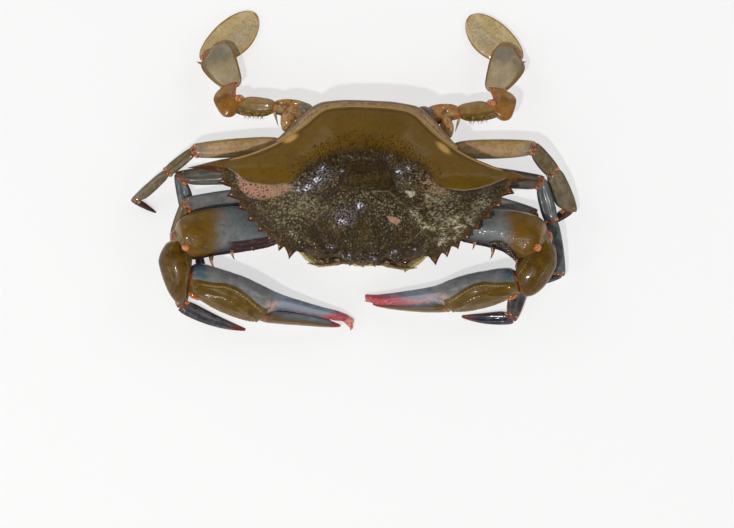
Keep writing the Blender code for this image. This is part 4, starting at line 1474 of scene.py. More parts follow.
@dataclass(frozen=True)
class Crest:
    """A ridge along a limb piece, or a furrow if its height is below zero.

    The place round the piece is in degrees: 0 ahead, 90 up, 180 behind, -90 below.
    """

    around: float
    height: float
    width: float
    start: float = 0.04
    end: float = 0.96
    drift: float = 0.0
    beads: float = 0.0
    spacing: float = 1.15


@dataclass(frozen=True)
class Knob:
    """A rounded bump, or a dent if its height is below zero: along, around, height, radius."""

    along: float
    around: float
    height: float
    radius: float


@dataclass(frozen=True)
class Skin:
    """The relief of a limb piece and how finely its mesh is divided."""

    crests: tuple[Crest, ...] = ()
    knobs: tuple[Knob, ...] = ()
    grain: float = 0.0
    spacing: float = 0.9
    unevenness: float = 0.05
    levels: int = 3
    sides: int = 14


def draw_tube(stations: Sequence[Station], length: float, sides: int, bow: float = 0.0) -> Piece:
    """Draws a closed tube out of a circle, station by station, along +Z from the origin.

    Args:
        stations: Place along the tube, width behind, width ahead and half height.
        length: The tube's length.
        sides: How many corners its section has.
        bow: How far its middle bows ahead.

    Returns:
        The tube, its section's ahead along X and its height along Y.
    """
    leave_edit_mode()
    bpy.ops.mesh.primitive_circle_add(vertices=sides, radius=1.0, fill_type="NGON")
    piece = bpy.context.object
    bpy.ops.object.mode_set(mode="EDIT")
    bpy.ops.mesh.select_all(action="SELECT")
    bpy.ops.mesh.select_mode(type="FACE")
    old = (0.0, 0.0, 1.0, 1.0)
    for number, (t, behind, ahead, half) in enumerate(stations):
        new = ((ahead - behind) / 2 + bow * math.sin(math.pi * t), t * length, (ahead + behind) / 2, half)
        shift = (new[0] - old[0], 0.0, new[1] - old[1])
        if number:
            bpy.ops.mesh.extrude_region_move(TRANSFORM_OT_translate={"value": shift})
        else:
            bpy.ops.transform.translate(value=shift)
        grow = (new[2] / old[2], new[3] / old[3], 1.0)
        bpy.ops.transform.resize(value=grow, center_override=(new[0], 0.0, new[1]))
        old = new
    bpy.ops.mesh.select_mode(type="VERT")
    leave_edit_mode()
    face_outwards(piece)
    return piece


def firm_ends(stations: Sequence[Station], blunt: float = 0.018) -> list[Station]:
    """The stations with one more just inside each end, so that subdividing keeps the ends full.

    Args:
        stations: The profile.
        blunt: How much of the length the end rows take.

    Returns:
        The longer profile.
    """
    rows = list(stations)
    for end, inward in ((0, blunt), (-1, -blunt)):
        t, behind, ahead, half = rows[end]
        beside = rows[1 if end == 0 else -2]
        share = abs(inward / (beside[0] - t))
        between = tuple((a + (b - a) * share for a, b in zip((behind, ahead, half), beside[1:])))
        rows[end] = (t, behind * 0.9, ahead * 0.9, half * 0.88)
        rows.insert(1 if end == 0 else -1, (t + inward, *between))
    return rows


@dataclass
class LimbPiece:
    """One piece of a limb: a tube between two points, with its relief and its finish."""

    name: str
    start: Point
    end: Point
    profile: Sequence[Station]
    aim: Point
    look: Finish
    slot: Slot
    skin: Skin = Skin()
    near_cut: Vector | None = None
    far_cut: Vector | None = None
    bow: float = 0.0
    stands_for: tuple[str, ...] = ()
    cut_reach: float = 0.6
    blunt: float = 0.018
    patch: tuple[Spot, ...] = ()
    patch_end: float = 1.1

    def frame(self) -> tuple[Vector, Vector, Vector, float]:
        """The piece's own directions: along, ahead, up, and its length.

        Returns:
            The three directions and the length.
        """
        start, end = Vector(self.start), Vector(self.end)
        along = (end - start).normalized()
        aim = Vector(self.aim)
        ahead = (aim - along * aim.dot(along)).normalized()
        up = along.cross(ahead)
        return along, ahead, -up if up.z < 0 else up, (end - start).length

    def point(self, t: float, side: float = 0.0, lift: float = 0.0) -> Vector:
        """A point of the piece in the crab's millimetres.

        Args:
            t: Place along it.
            side: Share of its width, ahead or behind.
            lift: Share of its half height.

        Returns:
            The point.
        """
        along, ahead, up, length = self.frame()
        places = [row[0] for row in self.profile]
        behind, front, half = (np.interp(t, places, [row[c] for row in self.profile]) for c in (1, 2, 3))
        across = (front - behind) / 2 + side * (front + behind) / 2 + self.bow * math.sin(math.pi * t)
        return Vector(self.start) + along * (t * length) + ahead * float(across) + up * float(lift * half)

    def build(self) -> Piece:
        """Models and dresses the piece.

        Returns:
            The finished object.
        """
        along, ahead, up, length = self.frame()
        rows = firm_ends(self.profile, self.blunt)
        piece = draw_tube(rows, length, self.skin.sides, self.bow)
        subdivide(piece, self.skin.levels)
        points = raw_points(piece)
        t = np.clip(points[:, 2] / length, 0.0, 1.0)
        table = np.array(self.profile)
        behind, front, half = (np.interp(t, table[:, 0], table[:, c]) for c in (1, 2, 3))
        centre = (front - behind) / 2 + self.bow * np.sin(math.pi * t)
        width = np.maximum((front + behind) / 2, 0.3)
        half = np.maximum(half, 0.3)
        side, lift = ((points[:, 0] - centre) / width, points[:, 1] / half)
        around = np.degrees(np.arctan2(lift, side))
        rise = self._relief(t, around, width, half, points[:, 2])
        if self.patch:
            rise += self._patch(piece, t, side, lift, points[:, 2])
        points = points + normals(piece) * rise[:, None]
        for cut, share in (
            (self.near_cut, np.maximum(0.0, 1.0 - t / self.cut_reach)),
            (self.far_cut, np.maximum(0.0, 1.0 - (1.0 - t) / self.cut_reach)),
        ):
            if cut is not None:
                slope = (points[:, 0] * ahead.dot(cut) + points[:, 1] * up.dot(cut)) / along.dot(cut)
                points[:, 2] -= share * slope
        set_raw_points(piece, points)
        write_vectors(piece, LAY, np.stack([t, side, lift], 1))
        settle(piece, self.start, Matrix((ahead, up, along)).transposed().to_4x4())
        face_outwards(piece)
        return finish(piece, self.name, self.look, self.slot, *self.stands_for)

    def _patch(self, piece: Piece, t: Array, side: Array, lift: Array, z: Array) -> Array:
        """Marks a patch ahead of a line across the piece, with a beaded ridge just inside it.

        Args:
            piece: The piece.
            t: Place along it.
            side: Place across it.
            lift: Height over its middle.
            z: Millimetres along it.

        Returns:
            The height of the patch and its ridge.
        """
        line = np.interp(t, [p[0] for p in self.patch], [p[1] for p in self.patch])
        away = side - line
        inside = (
            smoothstep(-0.05, 0.06, away) * smoothstep(self.patch_end + 0.012, self.patch_end - 0.012, t)
        )
        inside *= smoothstep(-0.5, -0.1, lift)
        window = (
            smoothstep(0.03, 0.1, t) * smoothstep(self.patch_end, self.patch_end - 0.05, t) * (lift > 0)
        )
        bead = 1.0 - 0.45 * (0.5 + 0.5 * np.cos(2 * math.pi * z / 1.15))
        ridge = bell((away - 0.2) / 0.055) * window * bead
        second = bell((away - 0.75) / 0.07) * window * bead
        # The ridges go into the tint too, where the palm paints a highlight along them.
        write_vectors(piece, TINT, np.stack([inside, np.clip(ridge + 0.45 * second, 0, 1), 0 * t], 1))
        return 0.28 * inside + 0.55 * ridge + 0.4 * second

    def _relief(self, t: Array, around: Array, width: Array, half: Array, z: Array) -> Array:
        """The height of the crests, knobs and grains over the plain tube.

        Args:
            t: Place along the piece.
            around: Degrees round it.
            width: Its half width there.
            half: Its half height there.
            z: Millimetres along it.

        Returns:
            The height.
        """
        skin = self.skin
        radius = np.sqrt(width * half)
        rise = np.zeros(t.shape)
        for crest in skin.crests:
            middle = crest.around + crest.drift * t
            away = (around - middle + 180.0) % 360.0 - 180.0
            reach = (
                np.radians(away)
                * np.where(np.abs(np.sin(np.radians(middle))) > 0.5, np.maximum(width, radius), radius)
            )
            shape = bell(reach / crest.width)
            ease = 0.06
            window = (
                smoothstep(crest.start - ease, crest.start + ease, t)
                * smoothstep(crest.end + ease, crest.end - ease, t)
            )
            bead = 1.0 - crest.beads * (0.5 + 0.5 * np.cos(2 * math.pi * z / crest.spacing))
            rise += crest.height * shape * window * bead
        for knob in skin.knobs:
            away = (around - knob.around + 180.0) % 360.0 - 180.0
            reach = np.hypot(np.radians(away) * radius, z - knob.along * z.max())
            rise += knob.height * bell(reach / knob.radius)
        across = np.radians((around + 90.0) % 360.0) * float(np.median(radius))
        if skin.grain:
            rise += (
                skin.grain * granules(z, across, skin.spacing, 3.0) * (0.4 + blotches(z, across, 5.0, 7.0))
            )
        return rise + skin.unevenness * waves(z, across, 7.0, 5.0)


def miter(first: Vector, second: Vector, lean: float = 0.5) -> Vector:
    """Unit normal of a plane across the bend between two directions, leaning to the second."""
    return (first * (1.0 - lean) + second * lean).normalized()


@dataclass
class Limb:
    """A chain of limb pieces, each mitred to the next."""

    prefix: str
    joints: tuple[Point, ...]
    names: tuple[str, ...]
    profiles: tuple[Sequence[Station], ...]
    aims: tuple[Point, ...]
    looks: tuple[Finish, ...]
    slots: tuple[Slot, ...]
    skins: tuple[Skin, ...]
    leans: tuple[float | None, ...] | None = None
    bows: tuple[float, ...] | None = None
    patches: dict[str, tuple[tuple[Spot, ...], float]] = field(default_factory=dict)
    reach_back: dict[str, float] = field(default_factory=dict)
    pieces: dict[str, LimbPiece] = field(default_factory=dict)

    def build(self) -> None:
        """Models the whole chain."""
        points = [Vector(joint) for joint in self.joints]
        ways = [(b - a).normalized() for a, b in zip(points, points[1:])]
        leans = self.leans or (0.5,) * len(ways)
        cuts = [
            None,
            *(None if lean is None else miter(a, b, lean) for a, b, lean in zip(ways, ways[1:], leans)),
            None,
        ]
        for i, name in enumerate(self.names):
            piece = LimbPiece(
                f"{self.prefix}_{name}_shell", tuple(points[i] - ways[i] * self.reach_back.get(name, 0.0)),
                self.joints[i + 1], self.profiles[i], self.aims[i], self.looks[i], self.slots[i],
                self.skins[i], cuts[i], cuts[i + 1], self.bows[i] if self.bows else 0.0,
                (f"{self.prefix}_{name}",),
            )
            piece.patch, piece.patch_end = self.patches.get(name, ((), 1.1))
            piece.build()
            self.pieces[name] = piece

    def joint_balls(
        self, girth: Point, spot: Point, knob: Point, groove: float = 0.12, first: int = 0
    ) -> tuple[list[Piece], list[Piece]]:
        """Rounds every joint with skin and sets two knobs beside it.

        Args:
            girth: The skin's width and height as shares of the joint's, and its length.
            spot: Where the knobs sit on the piece before the joint.
            knob: Their half widths.
            groove: How deep the groove round them is.
            first: The first joint that has them.

        Returns:
            The skins and the knobs.
        """
        skins, knobs = [], []
        for i, (key, following) in enumerate(zip(self.names, self.names[1:])):
            piece, after = self.pieces[key], self.pieces[following]
            _, behind, ahead, half = piece.profile[-1]
            size = (girth[0] * (ahead + behind) / 2, girth[1] * half, girth[2])
            skins.append(ball(Vector(piece.end), size, miter(piece.frame()[0], after.frame()[0])))
            for sign in (1.0, -1.0) if i >= first else ():
                knobs.append(ball(piece.point(spot[0], sign * spot[1], spot[2]), knob, UP, groove))
        return skins, knobs


def ball(centre: Vector, radii: Point, along: Vector, groove: float = 0.12) -> Piece:
    """A knuckle: a rounded knob with a shallow groove round it, in the crab's millimetres.

    Args:
        centre: Its middle.
        radii: Its half widths, the last one along the direction.
        along: The direction of its axis.
        groove: How deep the groove is, as a share of its size.

    Returns:
        The knob.
    """
    leave_edit_mode()
    bpy.ops.mesh.primitive_uv_sphere_add(segments=20, ring_count=12, radius=1.0)
    piece = bpy.context.object
    points = raw_points(piece)
    ring = 1.0 - groove * bell((points[:, 2] - 0.35) / 0.16)
    points[:, :2] *= ring[:, None]
    set_raw_points(piece, points)
    write_vectors(piece, LAY, np.stack([points[:, 2] * 0.5 + 0.5, points[:, 0], points[:, 1]], 1))
    turn = along.to_track_quat("Z", "Y").to_matrix().to_4x4()
    settle(piece, centre, turn @ Matrix.Diagonal((*radii, 1.0)))
    return piece


def thorn(root: Vector, tip: Vector, radius: float, bend: Vector | None = None, flat: float = 1.0) -> Piece:
    """A spine that tapers to a point and may bend on its way, in the crab's millimetres.

    Args:
        root: Where it stands.
        tip: Its point.
        radius: Its half width at the root.
        bend: How far its middle is pushed aside.
        flat: Its thickness as a share of its width.

    Returns:
        The spine.
    """
    way = tip - root
    length = way.length
    rows = [
        (t, r * radius, r * radius, r * radius * flat)
        for t, r in ((0.0, 1.0), (0.08, 0.98), (0.35, 0.72), (0.65, 0.42), (0.88, 0.17), (1.0, 0.05))
    ]
    piece = draw_tube(rows, length, 8)
    subdivide(piece, 2)
    points = raw_points(piece)
    t = np.clip(points[:, 2] / length, 0.0, 1.0)
    write_vectors(piece, LAY, np.stack([t, points[:, 0] / radius, points[:, 1] / radius], 1))
    turn = way.to_track_quat("Z", "Y").to_matrix().to_4x4()
    if bend is not None:
        local = turn.to_3x3().transposed() @ bend
        points += np.sin(math.pi * t)[:, None] * np.array(local)
        set_raw_points(piece, points)
    settle(piece, root, turn)
    return piece


def hairs(roots: Array, tips: Array, radius: float) -> Piece:
    """A tuft of fine bristles as one mesh, each a three-sided spike that leans over.

    Args:
        roots: Where they stand, in the crab's millimetres.
        tips: Their points.
        radius: Their half width at the root.

    Returns:
        The tuft.
    """
    leave_edit_mode()
    bpy.ops.mesh.primitive_cone_add(
        vertices=3, radius1=1.0, radius2=0.0, depth=1.0, location=(0.0, 0.0, 0.5),
    )
    one = bpy.context.object
    bake_place(one)
    edit_all(one)
    bpy.ops.mesh.subdivide(number_cuts=1)
    leave_edit_mode()
    shape = raw_points(one)
    faces = [tuple(p.vertices) for p in one.data.polygons]
    taper = 1.0 - 0.75 * shape[:, 2:3]
    count = len(shape)
    everything, joined = [], []
    for number, (root, tip) in enumerate(zip(roots, tips)):
        way = tip - root
        length = np.linalg.norm(way)
        way = way / length
        side = np.cross(way, (0.3, 0.2, 1.0))
        side /= np.linalg.norm(side)
        other = np.cross(way, side)
        swing = 0.12 * length * np.sin(math.pi * shape[:, 2:3])
        points = (
            root + shape[:, 2:3] * length * way
            + (shape[:, 0:1] * side + shape[:, 1:2] * other) * radius * taper + side * swing
        )
        everything.append(points)
        joined += [tuple((v + number * count for v in face)) for face in faces]
    mesh = bpy.data.meshes.new("tuft")
    mesh.from_pydata(np.vstack(everything).tolist(), [], joined)
    one.data = mesh
    settle(one)
    face_outwards(one)
    return one


def tuft(name: str, roots: Sequence[Point], tips: Sequence[Point], radius: float = 0.09) -> None:
    """Models a tuft of bristles and dresses it."""
    finish(hairs(np.array(roots), np.array(tips), radius), name, BRISTLE, Slot.BRISTLE)


def dress_joints(name: str, skins: Sequence[Piece], knobs: Sequence[Piece]) -> None:
    """Joins and dresses the skin and the knobs that show in a limb's joints."""
    finish(join(skins), f"{name}_joint_skin", FLESH, Slot.JOINT)
    finish(join(knobs), f"{name}_knuckles", KNUCKLE, Slot.JOINT)


FLESH = Finish(
    "joint_skin", (0.26, 0.06, 0.014),
    (
        lay(0.8, (0.42, 0.17, 0.05), Cloud(0.8, 0.48, 0.62)),
        lay(0.85, (0.09, 0.012, 0.006), Cloud(0.7, 0.48, 0.6)),
        lay(0.6, (0.52, 0.42, 0.34), Dots(0.8, 0.22)),
    ),
    roughness=0.26, wet=0.9, film_size=1.0, coat_roughness=0.06, grain_size=0.35, grain_depth=0.03,
)
KNUCKLE = Finish(
    "joint_knuckle", (0.44, 0.135, 0.022),
    (
        lay(0.7, (0.52, 0.27, 0.1), ALONG(0.6, 0.95, 0.2, 0.6)),
        lay(0.8, (0.22, 0.03, 0.01), Cloud(0.7, 0.46, 0.6)),
    ),
    roughness=0.2, wet=1.0, film_size=0.8, coat_roughness=0.05, grain_size=0.3, grain_depth=0.015,
)
THORN = Finish(
    "claw_thorn", (0.09, 0.055, 0.022),
    (
        lay(0.95, (0.46, 0.21, 0.07), ALONG(0.3, 0.46)),
        lay(0.8, (0.34, 0.08, 0.03), ALONG(0.55, 0.68)),
        lay(1.0, (0.03, 0.008, 0.01), ALONG(0.7, 0.8)),
    ),
    roughness=0.25, wet=0.9, film_size=0.8, coat_roughness=0.06, grain_size=0.3, grain_depth=0.02,
)
DARK_THORN = Finish(
    "wrist_thorn", (0.1, 0.05, 0.02),
    (lay(0.9, (0.28, 0.07, 0.02), ALONG(0.45, 0.8)), lay(1.0, (0.05, 0.01, 0.01), ALONG(0.88, 0.96))),
    roughness=0.25, wet=0.9, film_size=0.8, coat_roughness=0.06, grain_size=0.3, grain_depth=0.02,
)
FOLD_LOOK = Finish(
    "arm_fold", (0.125, 0.085, 0.03),
    (
        lay(0.7, (0.24, 0.18, 0.09), Cloud(2.0, 0.48, 0.6)),
        lay(0.8, (0.035, 0.018, 0.012), Cloud(1.6, 0.5, 0.62)),
        lay(0.5, (0.16, 0.05, 0.05), Cloud(1.1, 0.56, 0.66)),
    ),
    roughness=0.26, wet=0.9, film_size=1.0, coat_roughness=0.06, grain_size=0.4, grain_depth=0.03,
)
# The beads across the arm: near black, with pale dots on them as painted highlights.
CREASE_LOOK = Finish(
    "arm_crease", (0.02, 0.013, 0.009),
    (lay(0.7, (0.13, 0.07, 0.02), Cloud(1.0, 0.48, 0.58)), lay(0.8, (0.45, 0.4, 0.3), Dots(1.0, 0.26))),
    roughness=0.2, wet=1.0, film_size=0.8, coat_roughness=0.04, grain_size=0.4, grain_depth=0.03,
    specular=0.4,
)
HOOK_LOOK = Finish(
    "finger_hook", (0.55, 0.16, 0.12),
    (
        lay(0.8, (0.66, 0.36, 0.26), Cloud(1.0, 0.45, 0.6)),
        lay(0.7, (0.3, 0.04, 0.035), Cloud(0.8, 0.52, 0.62)),
    ),
    roughness=0.3, wet=0.8, film_size=1.0, coat_roughness=0.06, grain_size=0.4, grain_depth=0.05,
)
BRISTLE = Finish(
    "bristle_hair", (0.34, 0.24, 0.12), (lay(0.8, (0.18, 0.1, 0.04), Cloud(1.5, 0.4, 0.6)),),
    roughness=0.45, wet=0.2, grain_size=0.3, grain_depth=0.005,
)

CLAW_BASE_PROFILE = (
    (0.0, 4.0, 4.0, 3.6), (0.35, 4.6, 4.6, 4.0), (0.7, 4.8, 4.8, 4.1), (1.0, 4.6, 4.6, 3.8),
)
CLAW_MERUS_PROFILE = (
    (0.0, 4.6, 1.0, 3.8), (0.15, 6.0, 1.0, 4.4), (0.35, 7.4, 1.0, 5.0), (0.55, 8.3, 1.0, 5.6),
    (0.66, 8.4, 1.0, 6.0), (0.75, 8.3, 1.0, 6.2), (0.88, 7.6, 1.0, 6.1), (0.955, 6.2, 1.0, 5.2),
    (1.0, 3.4, 1.0, 3.2),
)
CLAW_CARPUS_PROFILE = (
    (0.0, 3.6, 3.6, 3.2), (0.15, 6.4, 4.4, 4.2), (0.4, 8.8, 4.8, 5.2), (0.65, 9.0, 4.8, 5.6),
    (0.86, 6.8, 4.6, 5.0), (1.0, 4.0, 3.8, 4.0),
)
CLAW_PALM_PROFILE = (
    (0.0, 4.2, 4.4, 4.4), (0.05, 5.7, 5.8, 5.8), (0.17, 5.4, 8.0, 6.9), (0.3, 4.9, 9.2, 7.5),
    (0.38, 4.0, 9.4, 7.3), (0.44, 3.2, 8.8, 6.7), (0.485, 2.5, 6.6, 5.6), (0.54, 1.9, 3.9, 4.3),
    (0.6, 1.5, 3.1, 3.6), (0.7, 1.1, 2.9, 3.0), (0.83, 0.8, 2.6, 2.4), (0.93, 0.8, 2.2, 1.9),
)
CLAW_FINGER_PROFILE = (
    (0.0, 2.2, 1.8, 3.4), (0.07, 2.4, 2.0, 3.5), (0.25, 2.6, 2.1, 3.0), (0.5, 2.3, 1.9, 2.4),
    (0.75, 1.7, 1.5, 1.9), (0.92, 1.0, 1.0, 1.3), (1.0, 0.35, 0.35, 0.6),
)

UNDER_WHITE = lay(0.85, (0.5, 0.52, 0.52), LIFT(-0.35, -0.85, 0.3))
END_RED = lay(0.7, (0.2, 0.075, 0.03), ALONG(0.965, 0.995, 0.04))

CLAW_PALM_CLOSED = (
    *CLAW_PALM_PROFILE[:6], (0.485, 2.1, 7.0, 5.8), (0.54, 1.35, 5.7, 4.8), (0.6, 1.0, 5.5, 4.1),
    (0.7, 0.6, 5.4, 3.6), (0.83, 0.3, 4.8, 2.9), (0.93, 0.2, 3.8, 2.2),
)
# The arm's front face: its own dark blue-purple colour deepened with painted shade.
ARM_FRONT_SHADE = (0.028, 0.011, 0.014)
ARM_LOOK = Finish(
    "claw_arm", (0.126, 0.14, 0.146),
    (
        lay(0.6, (0.185, 0.2, 0.2), Cloud(4.0)),
        lay(0.55, (0.24, 0.155, 0.115), ALONG(0.4, 0.54, 0.1), ALONG(0.68, 0.6), Cloud(3.0, 0.42, 0.62)),
        lay(0.5, (0.07, 0.075, 0.07), Cloud(1.6, 0.5, 0.7)),
        lay(0.85, (0.02, 0.042, 0.052), SIDE(0.5, 0.8, 0.25)),
        lay(1.0, (0.14, 0.07, 0.006), ALONG(0.5, 0.7, 0.16, 5.0, -0.06)),
        lay(0.7, (0.085, 0.045, 0.006), ALONG(0.58, 0.75), Cloud(3.0, 0.45, 0.65)),
        lay(0.6, (0.16, 0.085, 0.03), ALONG(0.55, 0.7), SIDE(0.1, 0.5), Cloud(1.6, 0.5, 0.66)),
        lay(0.9, (0.022, 0.013, 0.01), SIDE(0.8, 0.93, 0.12), ALONG(0.4, 0.5)),
        lay(0.95, ARM_FRONT_SHADE, SIDE(0.46, 0.54, 0.08), ALONG(0.54, 0.46, 0.1)),
        lay(0.7, (0.12, 0.03, 0.015), SIDE(0.5, 0.58), ALONG(0.54, 0.46), Cloud(1.5, 0.5, 0.62)),
        # Painted shade along the arm's lower front edge.
        lay(0.9, (0.015, 0.01, 0.016), SIDE(0.9, 0.99, 0.1)),
        lay(0.6, (0.3, 0.24, 0.15), ALONG(0.93, 0.965, 0.03), SIDE(0.3, 0.0)),
        lay(0.4, (0.03, 0.028, 0.012), Dots(1.1, 0.26)),
        UNDER_WHITE,
        END_RED,
    ),
    grain_size=0.55, grain_depth=0.05,
)
WRIST_LOOK = Finish(
    "claw_wrist", (0.082, 0.039, 0.002),
    (
        lay(0.7, (0.13, 0.068, 0.004), Cloud(3.5)),
        lay(0.7, (0.045, 0.021, 0.004), Cloud(1.5, 0.5, 0.66)),
        lay(0.92, (0.011, 0.01, 0.013), SIDE(0.2, 0.45, 0.2), ALONG(0.4, 0.26, 0.1)),
        lay(0.3, (0.2, 0.13, 0.04), Dots(0.8, 0.2)),
        lay(0.9, (0.018, 0.01, 0.006), SIDE(0.62, 0.86, 0.15)),
        lay(0.6, (0.09, 0.06, 0.03), SIDE(-0.78, -0.98, 0.2)),
        UNDER_WHITE,
        lay(0.7, (0.22, 0.06, 0.02), ALONG(0.94, 0.99, 0.05)),
    ),
    grain_size=0.6, grain_depth=0.06,
)
PALM_LOOK = Finish(
    "claw_palm", (0.148, 0.151, 0.151),
    (
        lay(0.7, (0.225, 0.23, 0.225), Cloud(4.0, 0.42, 0.62)),
        lay(0.85, (0.035, 0.075, 0.1), ALONG(0.13, 0.04, 0.1), SIDE(0.1, -0.3, 0.2)),
        lay(0.7, (0.08, 0.095, 0.11), SIDE(-0.62, -0.92, 0.2), Cloud(3.0, 0.35, 0.55)),
        lay(0.95, (0.23, 0.27, 0.33), ALONG(0.47, 0.56, 0.12)),
        lay(0.7, (0.09, 0.12, 0.16), ALONG(0.5, 0.58), SIDE(-0.1, -0.6, 0.5), Cloud(2.6, 0.4, 0.6)),
        lay(0.6, (0.08, 0.1, 0.13), ALONG(0.46, 0.52), SIDE(0.45, 0.75, 0.3)),
        lay(
            0.8, (0.48, 0.28, 0.2), ALONG(0.43, 0.48), ALONG(0.56, 0.51), SIDE(-0.35, 0.0),
            Cloud(1.3, 0.42, 0.56),
        ),
        lay(0.5, (0.48, 0.22, 0.21), ALONG(0.52, 0.64, 0.1), SIDE(0.15, 0.6, 0.4), Cloud(1.6, 0.46, 0.6)),
        lay(0.9, (0.42, 0.065, 0.075), ALONG(0.8, 0.9, 0.08, 2.0, 0.06)),
        lay(0.7, (0.2, 0.015, 0.025), ALONG(0.83, 0.9), Cloud(1.5, 0.45, 0.6)),
        lay(0.8, (0.62, 0.27, 0.2), ALONG(0.94, 0.97)),
        lay(1.0, (0.098, 0.052, 0.002), Source.WARM(0.3, 0.7)),
        lay(0.6, (0.15, 0.088, 0.014), Source.WARM(0.3, 0.7), Cloud(4.0, 0.45, 0.65)),
        lay(0.5, (0.05, 0.028, 0.004), Source.WARM(0.3, 0.7), Cloud(1.8, 0.5, 0.68)),
        lay(0.8, (0.2, 0.12, 0.04), Source.WARM(0.3, 0.7), SIDE(0.8, 0.96, 0.15)),
        # Painted highlight along the beaded ridges of the olive panel.
        lay(0.65, (0.3, 0.22, 0.1), Source.CREAM(0.3, 0.8)),
        lay(0.8, (0.24, 0.07, 0.02), ALONG(0.025, 0.0, 0.04)),
        UNDER_WHITE,
    ),
    grain_size=0.55, grain_depth=0.05,
)
FINGER_LOOK = Finish(
    "claw_moving_finger", (0.12, 0.14, 0.16),
    (
        lay(0.6, (0.19, 0.215, 0.24), Cloud(2.5)),
        lay(0.5, (0.05, 0.055, 0.06), Cloud(1.2, 0.52, 0.7)),
        lay(0.9, (0.125, 0.07, 0.022), SIDE(-0.15, 0.3, 0.35, 2.5)),
        lay(0.8, (0.105, 0.058, 0.012), ALONG(0.3, 0.12, 0.1), SIDE(-0.7, -0.3)),
        lay(0.6, (0.36, 0.17, 0.07), SIDE(0.72, 0.92, 0.15)),
        lay(0.9, (0.22, 0.025, 0.025), ALONG(0.82, 0.9, 0.05)),
        lay(0.8, (0.4, 0.1, 0.05), ALONG(0.955, 0.985)),
        lay(0.8, (0.3, 0.1, 0.04), ALONG(0.06, 0.02)),
        UNDER_WHITE,
    ),
    grain_size=0.5, grain_depth=0.04,
)


def scaled(profile: Sequence[Station], width: float) -> tuple[Station, ...]:
    """A profile with its widths multiplied."""
    return tuple(((t, behind * width, ahead * width, half) for t, behind, ahead, half in profile))


ARM_SKIN = Skin(
    crests=(
        Crest(150.0, 0.3, 1.3, 0.1, 0.85), Crest(34.0, 0.35, 0.6, 0.02, 0.55, beads=0.3),
        Crest(8.0, 0.3, 0.7, 0.1, 0.9), Crest(22.0, -0.3, 0.7, 0.05, 0.6), Crest(-25.0, 0.3, 1.0, 0.1, 0.9),
    ),
    knobs=(Knob(0.8, 50.0, 0.4, 2.4), Knob(0.88, 120.0, 0.4, 2.6), Knob(0.72, 40.0, -0.35, 1.2)),
    grain=0.06, spacing=1.0, levels=4, unevenness=0.06,
)
WRIST_SKIN = Skin(
    crests=(
        Crest(48.0, 0.32, 0.5, 0.15, 0.95, 12.0, 0.5),
        Crest(130.0, 0.16, 1.2, 0.2, 0.85, -20.0, 0.3),
        Crest(20.0, 0.25, 1.0, 0.3, 0.9),
    ),
    knobs=(Knob(0.5, 100.0, 0.4, 3.0),), grain=0.03, spacing=1.0, levels=4, unevenness=0.07,
)
PALM_SKIN = Skin(
    crests=(
        Crest(62.0, -0.22, 1.3, 0.1, 0.44),
        Crest(30.0, -0.2, 1.0, 0.1, 0.44),
        Crest(12.0, 0.35, 0.7, 0.1, 0.48, 0.0, 0.3, 1.2),
        Crest(155.0, 0.3, 0.9, 0.05, 0.5),
        Crest(100.0, 0.28, 0.55, 0.52, 0.93),
        Crest(60.0, -0.25, 0.5, 0.52, 0.93),
        Crest(150.0, 0.25, 0.5, 0.52, 0.93),
        Crest(20.0, 0.24, 0.45, 0.52, 0.93),
    ),
    knobs=(
        Knob(0.045, 60.0, 0.7, 1.6), Knob(0.455, 30.0, 0.5, 1.4),
        *(Knob(0.57 + 0.045 * k, 0.0, 0.4 - 0.02 * k, 0.75) for k in range(8)),
    ),
    grain=0.04, spacing=1.0, levels=4, unevenness=0.08,
)
FINGER_SKIN = Skin(
    crests=(
        Crest(60.0, 0.22, 0.5, 0.1, 0.9), Crest(100.0, -0.22, 0.45, 0.1, 0.9),
        Crest(135.0, 0.2, 0.5, 0.1, 0.9),
    ),
    knobs=(
        *(Knob(0.16 + 0.085 * k, 180.0, 0.5 - 0.02 * k, 0.7) for k in range(9)), Knob(0.06, 90.0, 0.5, 1.2),
    ),
    grain=0.03, levels=3, unevenness=0.04,
)


def narrowed(look: Finish, name: str, start: float) -> Finish:
    """The arm's finish with the dark of its front face, its own colour deepened with painted shade,
    narrower.

    Args:
        look: The arm's finish.
        name: The new finish's name.
        start: Where across the arm the painted shade of the front face begins.

    Returns:
        The new finish.
    """
    layers = []
    for layer in look.layers:
        if layer.colour == ARM_FRONT_SHADE:
            layer = replace(layer, masks=(SIDE(start, start + 0.1, 0.1), ALONG(0.7, 0.62, 0.1)))
        layers.append(layer)
    return replace(look, name=name, layers=tuple(layers))


def reddened(look: Finish, name: str, start: float, full: float) -> Finish:
    """The palm's finish with the red of the finger beginning further back.

    Args:
        look: The palm's finish.
        name: The new finish's name.
        start: Where along the claw the red begins.
        full: Where it is full.

    Returns:
        The new finish.
    """
    red = lay(0.85, (0.4, 0.06, 0.075), ALONG(start, full, 0.16, 1.6, 0.1))
    blush = lay(
        0.7, (0.5, 0.29, 0.26), ALONG(0.5, 0.56, 0.1), ALONG(0.8, 0.68, 0.1), SIDE(-0.35, 0.2, 0.4),
        Cloud(1.3, 0.42, 0.56),
    )
    streak = lay(
        0.7, (0.16, 0.17, 0.22), ALONG(start, full), SIDE(-0.3, -0.8, 0.4), ALONG(0.93, 0.85),
        Cloud(1.6, 0.4, 0.55),
    )
    glow = lay(0.6, (0.6, 0.2, 0.2), ALONG(start, full), Cloud(1.1, 0.5, 0.62))
    firsts = [layer.masks[0] for layer in look.layers]
    at = [isinstance(mask, Band) and mask.source is Source.WARM for mask in firsts].index(True)
    return replace(look, name=name, layers=(*look.layers[:at], blush, red, glow, streak, *look.layers[at:]))


